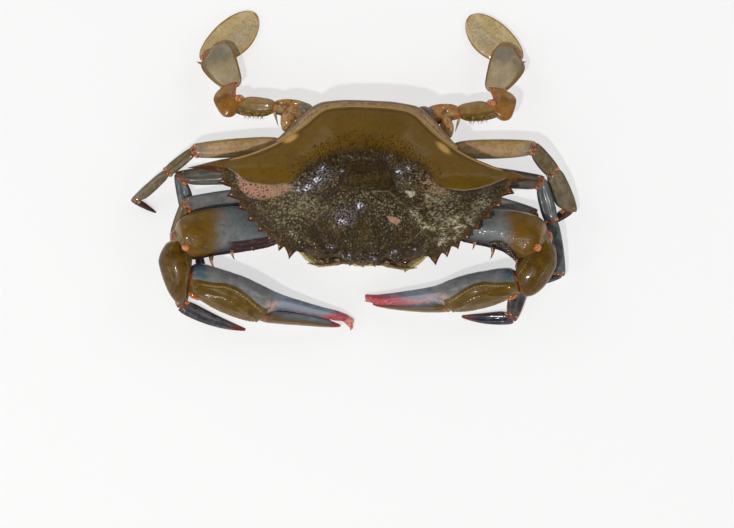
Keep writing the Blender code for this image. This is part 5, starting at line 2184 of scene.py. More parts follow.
@dataclass
class Claw:
    """A claw-bearing limb: base, arm, wrist, palm with its fixed finger, and the moving finger."""

    side: Side
    joints: tuple[Point, ...]
    width: float
    tip: Spot
    spines: tuple[Spot, ...]
    finger_tip: float
    arm_front: tuple[float, ...]
    arm_look: Finish = ARM_LOOK
    palm_look: Finish = PALM_LOOK
    set_out: Spot = (6.95, 3.0)
    hinge: float = 0.472
    finger_bow: float = -0.45
    wrist_cut: float = 0.85
    spine_radius: float = 1.05
    spine_length: float = 4.6
    spine_lift: Spot = (1.6, 1.2)
    leaf: tuple[Spot, ...] = (
        (0.0, 0.12), (0.035, 0.05), (0.12, -0.12), (0.2, -0.33), (0.27, -0.33), (0.355, -0.14), (0.42, 0.1),
        (0.47, 0.34),
    )
    leaf_end: float = 0.478
    hook: Point = (0.2, 3.2, 1.3)
    hook_radius: float = 1.45
    palm_rows: tuple[Station, ...] = CLAW_PALM_PROFILE
    set_down: float = 0.0
    crescent: int = 0

    def build(self) -> None:
        """Models the claw."""
        sign = self.side.sign
        name = f"claw_{self.side.value}"
        palm = (*scaled(self.palm_rows, self.width), (1.0, *self.tip, 0.7))
        arm = tuple(
            (t, behind, ahead, half)
            for (t, behind, _, half), ahead in zip(CLAW_MERUS_PROFILE, self.arm_front)
        )
        limb = Limb(
            name, self.joints, ("base", "merus", "carpus", "propodus"),
            (CLAW_BASE_PROFILE, arm, CLAW_CARPUS_PROFILE, palm),
            (FORWARD, FORWARD, (-sign, 0.0, 0.0), FORWARD),
            (WRIST_LOOK, self.arm_look, WRIST_LOOK, self.palm_look),
            (Slot.CREAM, Slot.BLUE, Slot.OLIVE, Slot.BLUE), (ARM_SKIN, ARM_SKIN, WRIST_SKIN, PALM_SKIN),
            leans=(0.5, None, self.wrist_cut), patches={"propodus": (self.leaf, self.leaf_end)},
        )
        limb.build()
        self._finger(name)
        self._arm_spines(name, limb.pieces["merus"])
        if self.crescent:
            self._crease(name, limb.pieces["merus"])
        self._knuckles(name, limb)
        self._hook(name, limb.pieces["propodus"])

    def _finger(self, name: str) -> None:
        """The moving finger.

        Args:
            name: The claw's name.
        """
        start, tip = Vector(self.joints[-2]), Vector(self.joints[-1])
        along = (tip - start).normalized()
        ahead = Vector(FORWARD)
        ahead = (ahead - along * ahead.dot(along)).normalized()
        out, end_out = (offset * self.width for offset in self.set_out)
        hinge = start.lerp(tip, self.hinge) + ahead * out - UP * self.set_down
        end = start.lerp(tip, self.finger_tip) + ahead * end_out
        self.finger = LimbPiece(
            f"{name}_moving_finger", tuple(hinge), tuple(end), scaled(CLAW_FINGER_PROFILE, self.width),
            FORWARD, FINGER_LOOK, Slot.FINGER, FINGER_SKIN, bow=self.finger_bow,
            stands_for=(f"{name}_dactyl",),
        )
        self.finger.build()

    def _arm_spines(self, name: str, arm: LimbPiece) -> None:
        """The sharp spines along the front edge of the arm.

        Args:
            name: The claw's name.
            arm: The arm.
        """
        ahead = arm.frame()[1]
        bend = Vector((self.side.sign * 0.4, 0.0, 0.3))
        made = []
        for t, reach in self.spines:
            foot = Vector(arm.start).lerp(Vector(arm.end), t)
            root = foot + ahead * (reach - self.spine_length) + UP * self.spine_lift[0]
            made.append(
                thorn(root, foot + ahead * reach + UP * self.spine_lift[1], self.spine_radius, bend),
            )
        finish(join(made), f"{name}_arm_thorns", THORN, Slot.SPINE)

    def _crease(self, name: str, arm: LimbPiece) -> None:
        """The row of beads that bends across the top of the arm.

        Args:
            name: The claw's name.
            arm: The arm.
        """
        beads = []
        for w in (k / (self.crescent - 1) for k in range(self.crescent)):
            side = 0.77 * (1 - w)**2 + w * (1 - w) + w * w
            spot = arm.point(0.45 + 0.284 * w, side, 0.97 * math.sqrt(max(0.0, 1 - side * side)) + 0.04)
            size = 0.75 + 0.3 * math.sin(math.pi * w)
            beads.append(ball(spot, (size, size * 1.15, size), Vector((0.3, 0.2, 1.0)), 0.3))
        finish(join(beads), f"{name}_arm_crease", CREASE_LOOK, Slot.DARK_BLUE)

    def _knuckles(self, name: str, limb: Limb) -> None:
        """The skin that shows in the joints and the knobs on which they turn.

        Args:
            name: The claw's name.
            limb: The claw's chain of pieces.
        """
        arm, wrist, palm = (limb.pieces[key] for key in ("merus", "carpus", "propodus"))
        finger, sign = self.finger, self.side.sign
        skins = [
            ball(Vector(arm.end), (3.4, 3.4, 2.2), arm.frame()[0]),
            ball(Vector(wrist.end), (3.6, 3.8, 2.4), wrist.frame()[0]),
            ball(finger.point(0.0), (1.9, 2.9, 1.6), finger.frame()[0]),
            ball(Vector(self.joints[1]), (4.2, 3.6, 1.6), arm.frame()[0]),
        ]
        knobs = [
            ball(arm.point(0.935, 0.4, 0.93), (1.5, 1.5, 1.3), Vector((sign * 0.3, -0.3, 0.9))),
            ball(wrist.point(0.985, 0.55, 0.7), (0.8, 0.8, 0.7), Vector((0.0, -0.5, 0.9))),
            ball(
                palm.point(0.055, 0.93, 0.25), (1.3, 1.2, 2.6), palm.frame()[0] + Vector((0.0, -0.3, 0.0)),
            ),
            ball(finger.point(0.0, -0.1, 0.75), (0.8, 0.8, 0.7), UP),
        ]
        dress_joints(name, skins, knobs)
        fold = [
            ball(arm.point(0.97, -0.12, 0.5), (1.9, 3.2, 2.0), Vector((sign * 0.6, 0.35, 0.6))),
            ball(arm.point(1.0, 0.35, 0.45), (1.4, 2.4, 1.5), Vector((sign * 0.3, -0.5, 0.7))),
        ]
        finish(join(fold), f"{name}_arm_fold", FOLD_LOOK, Slot.BLUE)

    def _hook(self, name: str, palm: LimbPiece) -> None:
        """The curved point of the fixed finger.

        Args:
            name: The claw's name.
            palm: The palm.
        """
        tip = palm.point(0.985, 0.35, 0.1)
        out = (palm.point(1.0) - palm.point(0.9)).normalized()
        end = tip + palm.frame()[1] * self.hook[1] + out * self.hook[0]
        hook = thorn(tip - out * 2.0, end, self.hook_radius, out * self.hook[2], 0.8)
        finish(hook, f"{name}_finger_hook", HOOK_LOOK, Slot.FINGER)


# ---------------------------------------------------------------- walking legs

LEG_BASE_PROFILE = ((0.0, 2.6, 2.6, 2.4), (0.3, 3.0, 3.0, 2.7), (0.7, 2.7, 2.7, 2.4), (1.0, 2.5, 2.5, 2.1))
LEG_MERUS_PROFILE = (
    (0.0, 2.4, 2.4, 2.0), (0.12, 3.2, 3.2, 2.2), (0.4, 3.6, 3.6, 2.2), (0.75, 3.3, 3.3, 2.0),
    (0.94, 2.8, 2.8, 1.9), (1.0, 2.2, 2.2, 1.6),
)
LEG_CARPUS_PROFILE = (
    (0.0, 2.0, 2.0, 1.4), (0.16, 2.5, 2.5, 1.5), (0.5, 2.8, 2.8, 1.5), (0.86, 2.7, 2.7, 1.5),
    (1.0, 2.2, 2.2, 1.3),
)
LEG_PROPODUS_PROFILE = (
    (0.0, 2.1, 2.1, 1.4), (0.12, 2.7, 2.7, 1.7), (0.45, 3.1, 3.1, 1.7), (0.8, 3.0, 3.0, 1.6),
    (0.95, 2.4, 2.4, 1.5), (1.0, 1.6, 1.6, 1.2),
)
LEG_DACTYL_PROFILE = (
    (0.0, 1.5, 1.5, 1.2), (0.12, 1.9, 1.9, 1.3), (0.45, 1.7, 1.7, 1.15), (0.8, 1.0, 1.0, 0.85),
    (1.0, 0.35, 0.35, 0.45),
)


def leg_look(
    name: str, base: Colour, pale: Colour, edge: Colour, tip: Colour | None = None,
    extra: tuple[Layer, ...] = (),
) -> Finish:
    """A walking leg's finish.

    Args:
        name: Its name.
        base: The shell's colour in the middle.
        pale: The colour of its cloudy patches.
        edge: The colour along both edges: on most legs a darker tone that is painted shade where the sides
            turn from the light, on the blue toes and dark shins an orange to red-brown rim of their own.
        tip: The colour of its end, if that differs.
        extra: More layers over the edges.

    Returns:
        The finish.
    """
    layers = [
        lay(0.7, pale, Cloud(3.0, 0.4, 0.62)),
        lay(0.45, tuple((0.5 * c for c in base)), Cloud(1.3, 0.52, 0.72)),
        # Both edges: painted shade where the sides turn from the light, except on the legs whose edge
        # colour is a rim of their own.
        lay(0.9, edge, SIDE(-0.62, -0.88, 0.2)),
        lay(0.85, edge, SIDE(0.68, 0.92, 0.2)),
        *extra,
        lay(0.45, tuple((0.35 * c for c in edge)), Dots(1.1, 0.3)),
        UNDER_WHITE,
        lay(0.75, (0.16, 0.045, 0.018), ALONG(0.86, 0.97, 0.1), Cloud(1.2, 0.44, 0.58)),
        lay(0.7, (0.14, 0.04, 0.018), ALONG(0.11, 0.02, 0.08), Cloud(1.2, 0.44, 0.58)),
        lay(0.75, (0.27, 0.07, 0.025), ALONG(0.955, 0.995, 0.04)),
        lay(0.7, (0.22, 0.06, 0.025), ALONG(0.035, 0.0, 0.04)),
    ]
    if tip:
        layers.append(lay(0.9, tip, ALONG(0.62, 0.95, 0.1)))
    return Finish(
        name, base, tuple(layers), roughness=0.36, wet=0.55, film_size=3.0, grain_size=0.5,
        grain_depth=0.035,
    )


THIGH_TAN = leg_look(
    "leg_thigh_tan", (0.37, 0.225, 0.105), (0.48, 0.33, 0.18), (0.085, 0.066, 0.028),
    extra=(
        lay(0.75, (0.22, 0.2, 0.155), ALONG(0.78, 0.93, 0.15)),
        lay(0.75, (0.27, 0.175, 0.045), SIDE(-0.25, -0.6, 0.3), Cloud(1.4, 0.4, 0.58)),
        lay(0.6, (0.52, 0.37, 0.22), SIDE(0.05, 0.3, 0.2), SIDE(0.55, 0.35, 0.2), Cloud(1.6, 0.42, 0.6)),
    ),
)
THIGH_GREY = leg_look("leg_thigh_grey", (0.076, 0.07, 0.052), (0.125, 0.115, 0.09), (0.035, 0.03, 0.022))
# A lighter copy of the blue thigh: painted light that makes up for the shell's shadow over the left second
# leg.
THIGH_LIT = leg_look("leg_thigh_lit", (0.25, 0.255, 0.245), (0.33, 0.32, 0.29), (0.11, 0.1, 0.085))
THIGH_BLUE = leg_look("leg_thigh_blue", (0.165, 0.168, 0.165), (0.24, 0.24, 0.23), (0.075, 0.088, 0.095))
KNEE_OLIVE = leg_look("leg_knee_olive", (0.12, 0.08, 0.03), (0.19, 0.145, 0.075), (0.05, 0.032, 0.014))
SHIN_OLIVE = leg_look("leg_shin_olive", (0.125, 0.096, 0.05), (0.2, 0.16, 0.1), (0.05, 0.035, 0.018))
SHIN_BLUE = leg_look("leg_shin_blue", (0.082, 0.09, 0.095), (0.14, 0.152, 0.16), (0.022, 0.018, 0.016))
TOE_BROWN = leg_look(
    "leg_toe_brown", (0.048, 0.045, 0.05), (0.115, 0.118, 0.13), (0.045, 0.018, 0.01), (0.15, 0.03, 0.014),
)
SHIN_DARK = leg_look("leg_shin_dark", (0.042, 0.037, 0.035), (0.1, 0.096, 0.092), (0.13, 0.05, 0.02))
TOE_DARK = leg_look(
    "leg_toe_dark", (0.04, 0.014, 0.012), (0.09, 0.05, 0.045), (0.025, 0.008, 0.009), (0.012, 0.003, 0.003),
)
TOE_BLUE = leg_look(
    "leg_toe_blue", (0.026, 0.028, 0.045), (0.07, 0.073, 0.095), (0.17, 0.065, 0.02), (0.17, 0.03, 0.014),
)

LEG_SKIN = Skin(
    crests=(
        Crest(150.0, 0.3, 0.55, 0.08, 0.92), Crest(35.0, 0.24, 0.5, 0.1, 0.92),
        Crest(92.0, -0.28, 1.0, 0.1, 0.9), Crest(-90.0, -0.2, 1.0, 0.1, 0.9),
    ),
    grain=0.02, levels=2, unevenness=0.05, sides=16,
)
KNEE_SKIN = Skin(
    crests=(
        Crest(125.0, 0.28, 0.5, 0.1, 0.92), Crest(60.0, 0.25, 0.5, 0.1, 0.92),
        Crest(92.0, -0.22, 0.6, 0.1, 0.9),
    ),
    grain=0.02, levels=2, unevenness=0.05, sides=16,
)
TOE_SKIN = Skin(
    crests=(
        Crest(120.0, 0.16, 0.35, 0.08, 0.9), Crest(90.0, -0.22, 0.4, 0.08, 0.9),
        Crest(60.0, 0.16, 0.35, 0.08, 0.9), Crest(-90.0, -0.15, 0.4, 0.1, 0.9),
    ),
    levels=2, unevenness=0.02, sides=16,
)


@dataclass
class WalkingLeg:
    """A walking leg of five pieces, the last a pointed blade whose tip rests on the floor."""

    number: int
    side: Side
    joints: tuple[Point, ...]
    looks: tuple[Finish, Finish, Finish, Finish]
    widths: tuple[float, float, float, float] = (1.0, 1.0, 1.0, 1.0)
    toe_bow: float = 0.0

    def build(self) -> None:
        """Models the leg."""
        sign = self.side.sign
        name = f"leg{self.number}_{self.side.value}"
        shaped = (LEG_MERUS_PROFILE, LEG_CARPUS_PROFILE, LEG_PROPODUS_PROFILE, LEG_DACTYL_PROFILE)
        limb = Limb(
            name, self.joints, ("base", "merus", "carpus", "propodus", "dactyl"),
            (LEG_BASE_PROFILE, *(scaled(profile, width) for profile, width in zip(shaped, self.widths))),
            (FORWARD, FORWARD, (sign, 0.0, 0.0), (sign, 0.0, 0.0), FORWARD), (THIGH_TAN, *self.looks),
            (Slot.CREAM, Slot.LEG, Slot.LEG, Slot.LEG, Slot.DARK_BLUE),
            (KNEE_SKIN, LEG_SKIN, KNEE_SKIN, LEG_SKIN, TOE_SKIN), bows=(0.0, 0.0, 0.0, 0.0, self.toe_bow),
        )
        limb.build()
        dress_joints(
            name, *limb.joint_balls((0.92, 1.04, 1.45), (0.965, 0.72, 0.42), (0.95, 0.8, 0.62), 0.2, 1),
        )

# ---------------------------------------------------------------- swimming legs

SWIMMER_BASE_PROFILE = (
    (0.0, 2.6, 2.6, 2.4), (0.3, 3.5, 3.5, 3.0), (0.6, 3.5, 3.5, 2.8), (0.85, 2.9, 2.9, 2.3),
    (1.0, 2.3, 2.3, 1.9),
)
SWIMMER_MERUS_PROFILE = (
    (0.0, 2.2, 2.2, 1.8), (0.15, 3.1, 3.1, 2.2), (0.5, 3.6, 3.6, 2.4), (0.85, 3.4, 3.4, 2.2),
    (1.0, 2.5, 2.5, 1.7),
)
SWIMMER_CARPUS_PROFILE = (
    (0.0, 3.4, 3.4, 1.8), (0.18, 4.4, 5.2, 2.3), (0.4, 3.3, 4.9, 2.4), (0.62, 2.8, 5.6, 2.6),
    (0.85, 2.8, 5.0, 2.3), (1.0, 2.4, 3.8, 1.7),
)
SWIMMER_PROPODUS_PROFILE = (
    (0.0, 2.2, 1.8, 1.2), (0.1, 3.7, 3.7, 1.3), (0.25, 4.1, 5.7, 1.4), (0.5, 4.4, 7.8, 1.4),
    (0.69, 4.5, 8.5, 1.3), (0.8, 4.2, 6.0, 1.2), (0.91, 3.3, 3.9, 1.0), (1.0, 1.5, 1.6, 0.7),
)
RIM_BROWN = (0.2, 0.085, 0.028)
SWIM_BASE_LOOK = Finish(
    "swimmer_root", (0.27, 0.16, 0.062),
    (
        lay(0.6, (0.17, 0.15, 0.11), Cloud(3.5)),
        lay(0.8, (0.33, 0.135, 0.025), ALONG(0.4, 0.6, 0.3), Cloud(3.0, 0.36, 0.56)),
        lay(0.6, (0.4, 0.27, 0.1), ALONG(0.4, 0.6), Cloud(2.4, 0.5, 0.68)),
        lay(0.7, (0.085, 0.04, 0.012), ALONG(0.4, 0.6), Cloud(2.4, 0.5, 0.4)),
        lay(0.8, (0.45, 0.38, 0.28), LIFT(-0.2, -0.8, 0.2)),
    ),
    roughness=0.34, wet=0.6, grain_depth=0.04,
)
SWIM_MERUS_LOOK = Finish(
    "swimmer_thigh", (0.215, 0.125, 0.036),
    (
        lay(0.7, (0.3, 0.19, 0.065), Cloud(3.0)),
        lay(0.6, (0.12, 0.08, 0.035), Cloud(1.4, 0.5, 0.7)),
        lay(0.9, (0.115, 0.062, 0.008), SIDE(0.05, 0.35, 0.35, 2.0)),
        # Painted highlight: a broken yellow line along the thigh.
        lay(0.8, (0.36, 0.24, 0.05), SIDE(0.38, 0.55, 0.3, 1.5), Cloud(1.0, 0.48, 0.58)),
        lay(0.85, (0.045, 0.022, 0.005), SIDE(0.45, 0.7, 0.3, 1.5), Cloud(0.8, 0.5, 0.6)),
        lay(0.8, RIM_BROWN, SIDE(0.8, 0.95, 0.1)),
        lay(0.7, RIM_BROWN, SIDE(-0.85, -0.97, 0.1)),
        lay(0.8, (0.3, 0.075, 0.02), ALONG(0.93, 0.99, 0.05)),
        lay(0.8, (0.26, 0.07, 0.02), ALONG(0.08, 0.0, 0.05)),
        lay(0.8, (0.45, 0.38, 0.28), LIFT(-0.3, -0.85, 0.2)),
    ),
    roughness=0.34, wet=0.6, grain_depth=0.04,
)
SWIM_CARPUS_LOOK = Finish(
    "swimmer_elbow", (0.235, 0.098, 0.014),
    (
        lay(0.7, (0.32, 0.165, 0.04), Cloud(3.0)),
        lay(0.7, (0.09, 0.045, 0.008), Cloud(1.5, 0.5, 0.7)),
        # Painted highlight: a pale cap over the elbow's lobe.
        lay(0.7, (0.27, 0.185, 0.075), ALONG(0.3, 0.95, 0.5), Cloud(2.4, 0.35, 0.6)),
        lay(0.45, (0.06, 0.03, 0.008), ALONG(0.42, 0.54, 0.2), ALONG(0.68, 0.56)),
        lay(0.7, (0.28, 0.09, 0.015), SIDE(0.72, 0.92, 0.2)),
        lay(0.8, (0.32, 0.08, 0.02), SIDE(-0.55, -0.85, 0.2)),
        lay(0.8, (0.3, 0.075, 0.02), ALONG(0.9, 0.97, 0.05)),
        lay(0.8, (0.45, 0.38, 0.28), LIFT(-0.3, -0.85, 0.2)),
    ),
    roughness=0.32, wet=0.65, grain_depth=0.04,
)
SWIM_PROPODUS_LOOK = Finish(
    "swimmer_shin", (0.325, 0.255, 0.15),
    (
        lay(0.6, (0.41, 0.34, 0.215), Cloud(4.0)),
        lay(0.8, (0.15, 0.085, 0.018), SIDE(0.62, 0.82, 0.12)),
        lay(0.85, (0.175, 0.145, 0.095), ALONG(0.4, 0.75, 0.2, 5.0), Cloud(5.0, 0.3, 0.6)),
        lay(0.45, (0.185, 0.175, 0.145), ALONG(0.6, 0.8, 0.2, 4.0), SIDE(0.5, 0.0, 0.3, 4.0)),
        lay(0.35, (0.1, 0.075, 0.045), Cloud(1.2, 0.55, 0.72)),
        lay(0.95, RIM_BROWN, SIDE(0.86, 0.93, 0.05)),
        lay(0.95, RIM_BROWN, SIDE(-0.84, -0.92, 0.05)),
        lay(0.9, (0.27, 0.07, 0.02), ALONG(0.05, 0.0, 0.03)),
        lay(0.9, (0.25, 0.1, 0.03), ALONG(0.955, 0.985, 0.03)),
        lay(0.6, (0.45, 0.38, 0.28), LIFT(-0.5, -0.9, 0.2)),
    ),
    roughness=0.3, wet=0.7, grain_depth=0.03, glow=0.12,
)
PADDLE_LOOK = Finish(
    "swimmer_blade", (0.46, 0.35, 0.17),
    (
        lay(0.6, (0.56, 0.46, 0.27), Cloud(5.0)),
        lay(0.5, (0.24, 0.165, 0.075), Cloud(1.1, 0.5, 0.66)),
        # Painted reflection: a grey-white glare patch towards the tip, with dark streaks through it.
        lay(
            0.6, (0.62, 0.6, 0.56), SIDE(0.75, 0.5, 0.3), SIDE(-0.25, 0.05, 0.3), ALONG(0.42, 0.56, 0.2),
            ALONG(0.92, 0.76), Cloud(0.6, 0.48, 0.6),
        ),
        lay(
            0.55, (0.13, 0.1, 0.08), SIDE(0.85, 0.55, 0.3), SIDE(-0.45, -0.05, 0.3), ALONG(0.38, 0.52, 0.2),
            Cloud(0.6, 0.46, 0.6),
        ),
        lay(0.6, (0.2, 0.12, 0.045), Dots(0.6, 0.35), ALONG(0.45, 0.8)),
        lay(0.5, (0.34, 0.18, 0.06), SIDE(0.25, 0.8, 0.3), ALONG(0.7, 0.3)),
        lay(0.9, (0.26, 0.115, 0.035), SIDE(0.87, 0.95, 0.05)),
        lay(0.9, (0.26, 0.115, 0.035), SIDE(-0.87, -0.95, 0.05)),
        lay(0.9, (0.26, 0.115, 0.035), ALONG(0.97, 0.985, 0.01)),
        lay(0.8, (0.26, 0.09, 0.03), ALONG(0.05, 0.02, 0.02)),
    ),
    roughness=0.3, wet=0.7, grain_depth=0.03, glow=0.15,
)
ROOT_SKIN = Skin(
    crests=(
        Crest(110.0, 0.5, 0.6, 0.3, 0.97), Crest(60.0, -0.6, 0.5, 0.35, 0.97),
        Crest(30.0, 0.4, 0.5, 0.3, 0.97), Crest(150.0, -0.4, 0.5, 0.4, 0.97),
    ),
    knobs=(
        Knob(0.62, 90.0, -0.8, 0.9), Knob(0.78, 70.0, 0.6, 1.1), Knob(0.88, 110.0, -0.6, 0.8),
        Knob(0.5, 60.0, 0.5, 1.2),
    ),
    grain=0.08, levels=3, unevenness=0.12, sides=16,
)
SWIM_SKIN = Skin(
    crests=(
        Crest(110.0, 0.22, 0.6, 0.08, 0.92), Crest(150.0, -0.15, 0.8, 0.1, 0.9),
        Crest(20.0, 0.2, 0.5, 0.1, 0.92),
    ),
    grain=0.02, levels=3, unevenness=0.06, sides=16,
)
SHIN_SKIN = Skin(
    crests=(
        Crest(168.0, 0.28, 0.45, 0.04, 0.97), Crest(12.0, 0.28, 0.45, 0.04, 0.97),
        Crest(70.0, -0.16, 1.6, 0.1, 0.9), Crest(100.0, 0.12, 0.8, 0.05, 0.8),
    ),
    levels=3, unevenness=0.05, sides=18,
)
BLADE_SKIN = Skin(
    crests=(
        Crest(170.0, 0.2, 0.4, 0.02, 0.98), Crest(10.0, 0.2, 0.4, 0.02, 0.98),
        Crest(95.0, 0.14, 0.7, 0.02, 0.75), Crest(90.0, -0.1, 2.5, 0.1, 0.9),
    ),
    levels=3, unevenness=0.05, sides=18,
)


@dataclass
class SwimmingLeg:
    """A swimming leg: short joints, a flat broad propodus and an oval paddle folded under it."""

    side: Side
    joints: tuple[Point, ...]
    paddle_ends: tuple[Point, Point]
    bows: tuple[float, ...] = (1.8, 0.3, 2.8, 0.0)
    paddle_bow: float = 0.9
    half_width: float = 6.6
    roundness: float = 0.5
    inset: float = 0.0025
    width_at_hinge: float = 0.89
    widening: float = 0.2
    half_height: float = 0.85
    edge_height: float = 0.75
    rows: int = 12
    thigh_bristles: int = 46
    elbow_bristles: int = 16
    bristle_tufts: tuple[float, ...] = (0.3, 0.42, 0.55, 0.68, 0.8)

    def _setae(self, name: str, limb: Limb) -> None:
        """Short bristles on the front edge of the thigh and at the elbow.

        Args:
            name: The leg's name.
            limb: Its chain of pieces.
        """
        rng = np.random.default_rng(23)
        thigh, elbow = limb.pieces["merus"], limb.pieces["carpus"]
        roots, tips = [], []
        for _ in range(self.thigh_bristles):
            t = rng.choice(self.bristle_tufts) + rng.normal(0.0, 0.02)
            root = np.array(thigh.point(t, 0.93, -0.1))
            lean = rng.normal(0.0, 0.35)
            roots.append(root)
            tips.append(root + np.array((lean, -rng.uniform(0.8, 1.9), rng.normal(0.0, 0.25))))
        for _ in range(self.elbow_bristles):
            root = np.array(elbow.point(rng.uniform(0.85, 1.0), -0.8, 0.0))
            roots.append(root)
            tips.append(
                root
                + np.array((
                    -self.side.sign * rng.uniform(1.0, 2.2), rng.uniform(0.0, 1.4), rng.normal(0.0, 0.2),
                )),
            )
        tuft(f"{name}_bristles", roots, tips, 0.08)

    def paddle_profile(self) -> tuple[Station, ...]:
        """An oval blade, a little narrower at its hinge than at its tip.

        Returns:
            The profile.
        """
        found = []
        for k in range(self.rows + 1):
            t = 0.5 - 0.5 * math.cos(math.pi * k / self.rows)
            inset = min(max(t, self.inset), 1.0 - self.inset)
            width = self.half_width * math.sin(math.pi * inset)**self.roundness
            width *= self.width_at_hinge + self.widening * t
            swell = self.edge_height + (1.0 - self.edge_height) * math.sin(math.pi * t)
            found.append((t, width, width, self.half_height * swell))
        return tuple(found)

    def build(self) -> None:
        """Models the swimming leg."""
        sign = self.side.sign
        name = f"swimmer_{self.side.value}"
        limb = Limb(
            name, self.joints, ("base", "merus", "carpus", "propodus"),
            (SWIMMER_BASE_PROFILE, SWIMMER_MERUS_PROFILE, SWIMMER_CARPUS_PROFILE, SWIMMER_PROPODUS_PROFILE),
            (BACKWARD, FORWARD, (sign, 0.0, 0.0), (sign, 0.0, 0.0)),
            (SWIM_BASE_LOOK, SWIM_MERUS_LOOK, SWIM_CARPUS_LOOK, SWIM_PROPODUS_LOOK),
            (Slot.CREAM, Slot.SWIMMER, Slot.SWIMMER, Slot.SWIMMER),
            (ROOT_SKIN, SWIM_SKIN, SWIM_SKIN, SHIN_SKIN), leans=(0.5, 0.5, None), bows=self.bows,
            reach_back={"carpus": 1.4, "propodus": 1.4},
        )
        limb.build()
        LimbPiece(
            f"{name}_blade", *self.paddle_ends, self.paddle_profile(), FORWARD, PADDLE_LOOK, Slot.PADDLE,
            BLADE_SKIN, bow=self.paddle_bow, stands_for=(f"{name}_paddle",), blunt=0.006,
        ).build()
        self._joints(name, limb)

    def _joints(self, name: str, limb: Limb) -> None:
        """The skin and the knobs of the joints, and the spike beside the paddle's hinge.

        Args:
            name: The leg's name.
            limb: Its chain of pieces.
        """
        skins, knobs = limb.joint_balls((0.9, 0.9, 1.2), (0.97, 0.75, 0.35), (0.7, 0.7, 0.6))
        hinge, sign = Vector(self.paddle_ends[0]), self.side.sign
        skins.append(
            ball(hinge + Vector((-sign * 1.6, 0.7, 2.7)), (1.5, 2.0, 1.2), Vector((sign * 0.5, 0.3, 0.8))),
        )
        knobs.append(ball(hinge + Vector((-sign * 1.3, -1.0, 2.9)), (0.9, 0.9, 0.9), UP))
        skins.append(ball(hinge + Vector((-sign * 2.6, 1.6, 1.4)), (2.0, 2.0, 1.9), UP))
        elbow = limb.pieces["carpus"]
        knobs.append(ball(elbow.point(0.3, -0.8, 0.75), (1.9, 1.6, 1.5), Vector((0.0, 0.2, 1.0))))
        spike = thorn(
            hinge + Vector((-sign * 1.4, -1.6, 2.2)), hinge + Vector((sign * 1.5, -0.7, 1.9)), 0.9,
        )
        finish(spike, f"{name}_shin_spike", KNUCKLE, Slot.JOINT)
        self._setae(name, limb)
        dress_joints(name, skins, knobs)


# ---------------------------------------------------------------- trunk, face and tail plate

FACE_LOOK = Finish(
    "face_shell", (0.085, 0.05, 0.02),
    (
        lay(0.8, (0.16, 0.1, 0.045), Cloud(1.4, 0.45, 0.6)),
        lay(0.8, (0.03, 0.016, 0.009), Cloud(1.0, 0.5, 0.62)),
        lay(0.95, (0.46, 0.37, 0.15), Source.CREAM(0.25, 0.6, 0.2, 1.0)),
        lay(0.8, (0.3, 0.28, 0.07), Source.PALE(0.3, 0.8, 0.2, 1.0)),
        lay(0.95, (0.47, 0.45, 0.38), Source.DARK(0.3, 0.7, 0.2, 2.0)),
    ),
    roughness=0.32, wet=0.8, film_size=1.6, coat_roughness=0.08, grain_size=0.5, grain_depth=0.07,
)
PLATE_LOOK = Finish(
    "breast_plate", (0.5, 0.46, 0.37),
    (
        lay(0.6, (0.58, 0.55, 0.48), Cloud(6.0)),
        lay(0.45, (0.3, 0.33, 0.36), Cloud(4.0, 0.52, 0.7)),
        lay(0.45, (0.36, 0.21, 0.1), Cloud(2.2, 0.55, 0.72)),
        lay(0.8, (0.27, 0.17, 0.09), Source.DARK(0.2, 0.9)),
        lay(0.9, (0.28, 0.175, 0.095), Source.WARM(0.2, 0.8, 0.2)),
    ),
    roughness=0.4, wet=0.4, film_size=3.0, grain_size=0.6, grain_depth=0.04,
)
APRON_LOOK = Finish(
    "tail_plate", (0.5, 0.44, 0.33),
    (
        lay(0.6, (0.58, 0.54, 0.45), Cloud(5.0)),
        lay(0.45, (0.33, 0.22, 0.12), Cloud(2.0, 0.56, 0.72)),
        lay(0.75, (0.3, 0.19, 0.1), Source.DARK(0.2, 0.9)),
        lay(0.95, (0.31, 0.195, 0.095), Source.WARM(0.2, 0.7, 0.15)),
        lay(0.8, (0.09, 0.048, 0.016), Source.SPECK(0.3, 0.7)),
        lay(0.9, (0.46, 0.34, 0.15), Source.CREAM(0.3, 0.7)),
    ),
    roughness=0.38, wet=0.45, film_size=3.0, grain_size=0.6, grain_depth=0.04,
)
RIM_LOOK = Finish(
    "rear_rim", (0.235, 0.145, 0.072),
    (
        lay(0.6, (0.32, 0.215, 0.12), Cloud(2.6, 0.42, 0.6)),
        lay(0.6, (0.12, 0.065, 0.028), Cloud(1.2, 0.5, 0.62)),
        lay(0.9, (0.46, 0.34, 0.16), ALONG(0.3, 0.12, 0.05, 2.0)),
        lay(0.8, (0.13, 0.065, 0.022), ALONG(0.62, 0.72, 0.08, 2.0), ALONG(0.92, 0.8)),
        lay(0.8, (0.3, 0.215, 0.13), ALONG(0.9, 0.98)),
    ),
    roughness=0.36, wet=0.6, film_size=2.0, grain_size=0.45, grain_depth=0.04,
)
EYE_LOOK = Finish(
    "eye_stalk", (0.13, 0.075, 0.032),
    (
        lay(0.7, (0.3, 0.22, 0.12), Cloud(1.0, 0.45, 0.6)),
        lay(1.0, (0.05, 0.03, 0.014), ALONG(0.62, 0.7, 0.06, 1.0)),
        lay(0.5, (0.1, 0.07, 0.04), ALONG(0.62, 0.7), Dots(0.45, 0.35)),
        lay(0.8, (0.016, 0.01, 0.008), ALONG(0.8, 0.9)),
    ),
    roughness=0.22, wet=0.8, film_size=2.0, coat_roughness=0.06, grain_size=0.22, grain_depth=0.02,
)
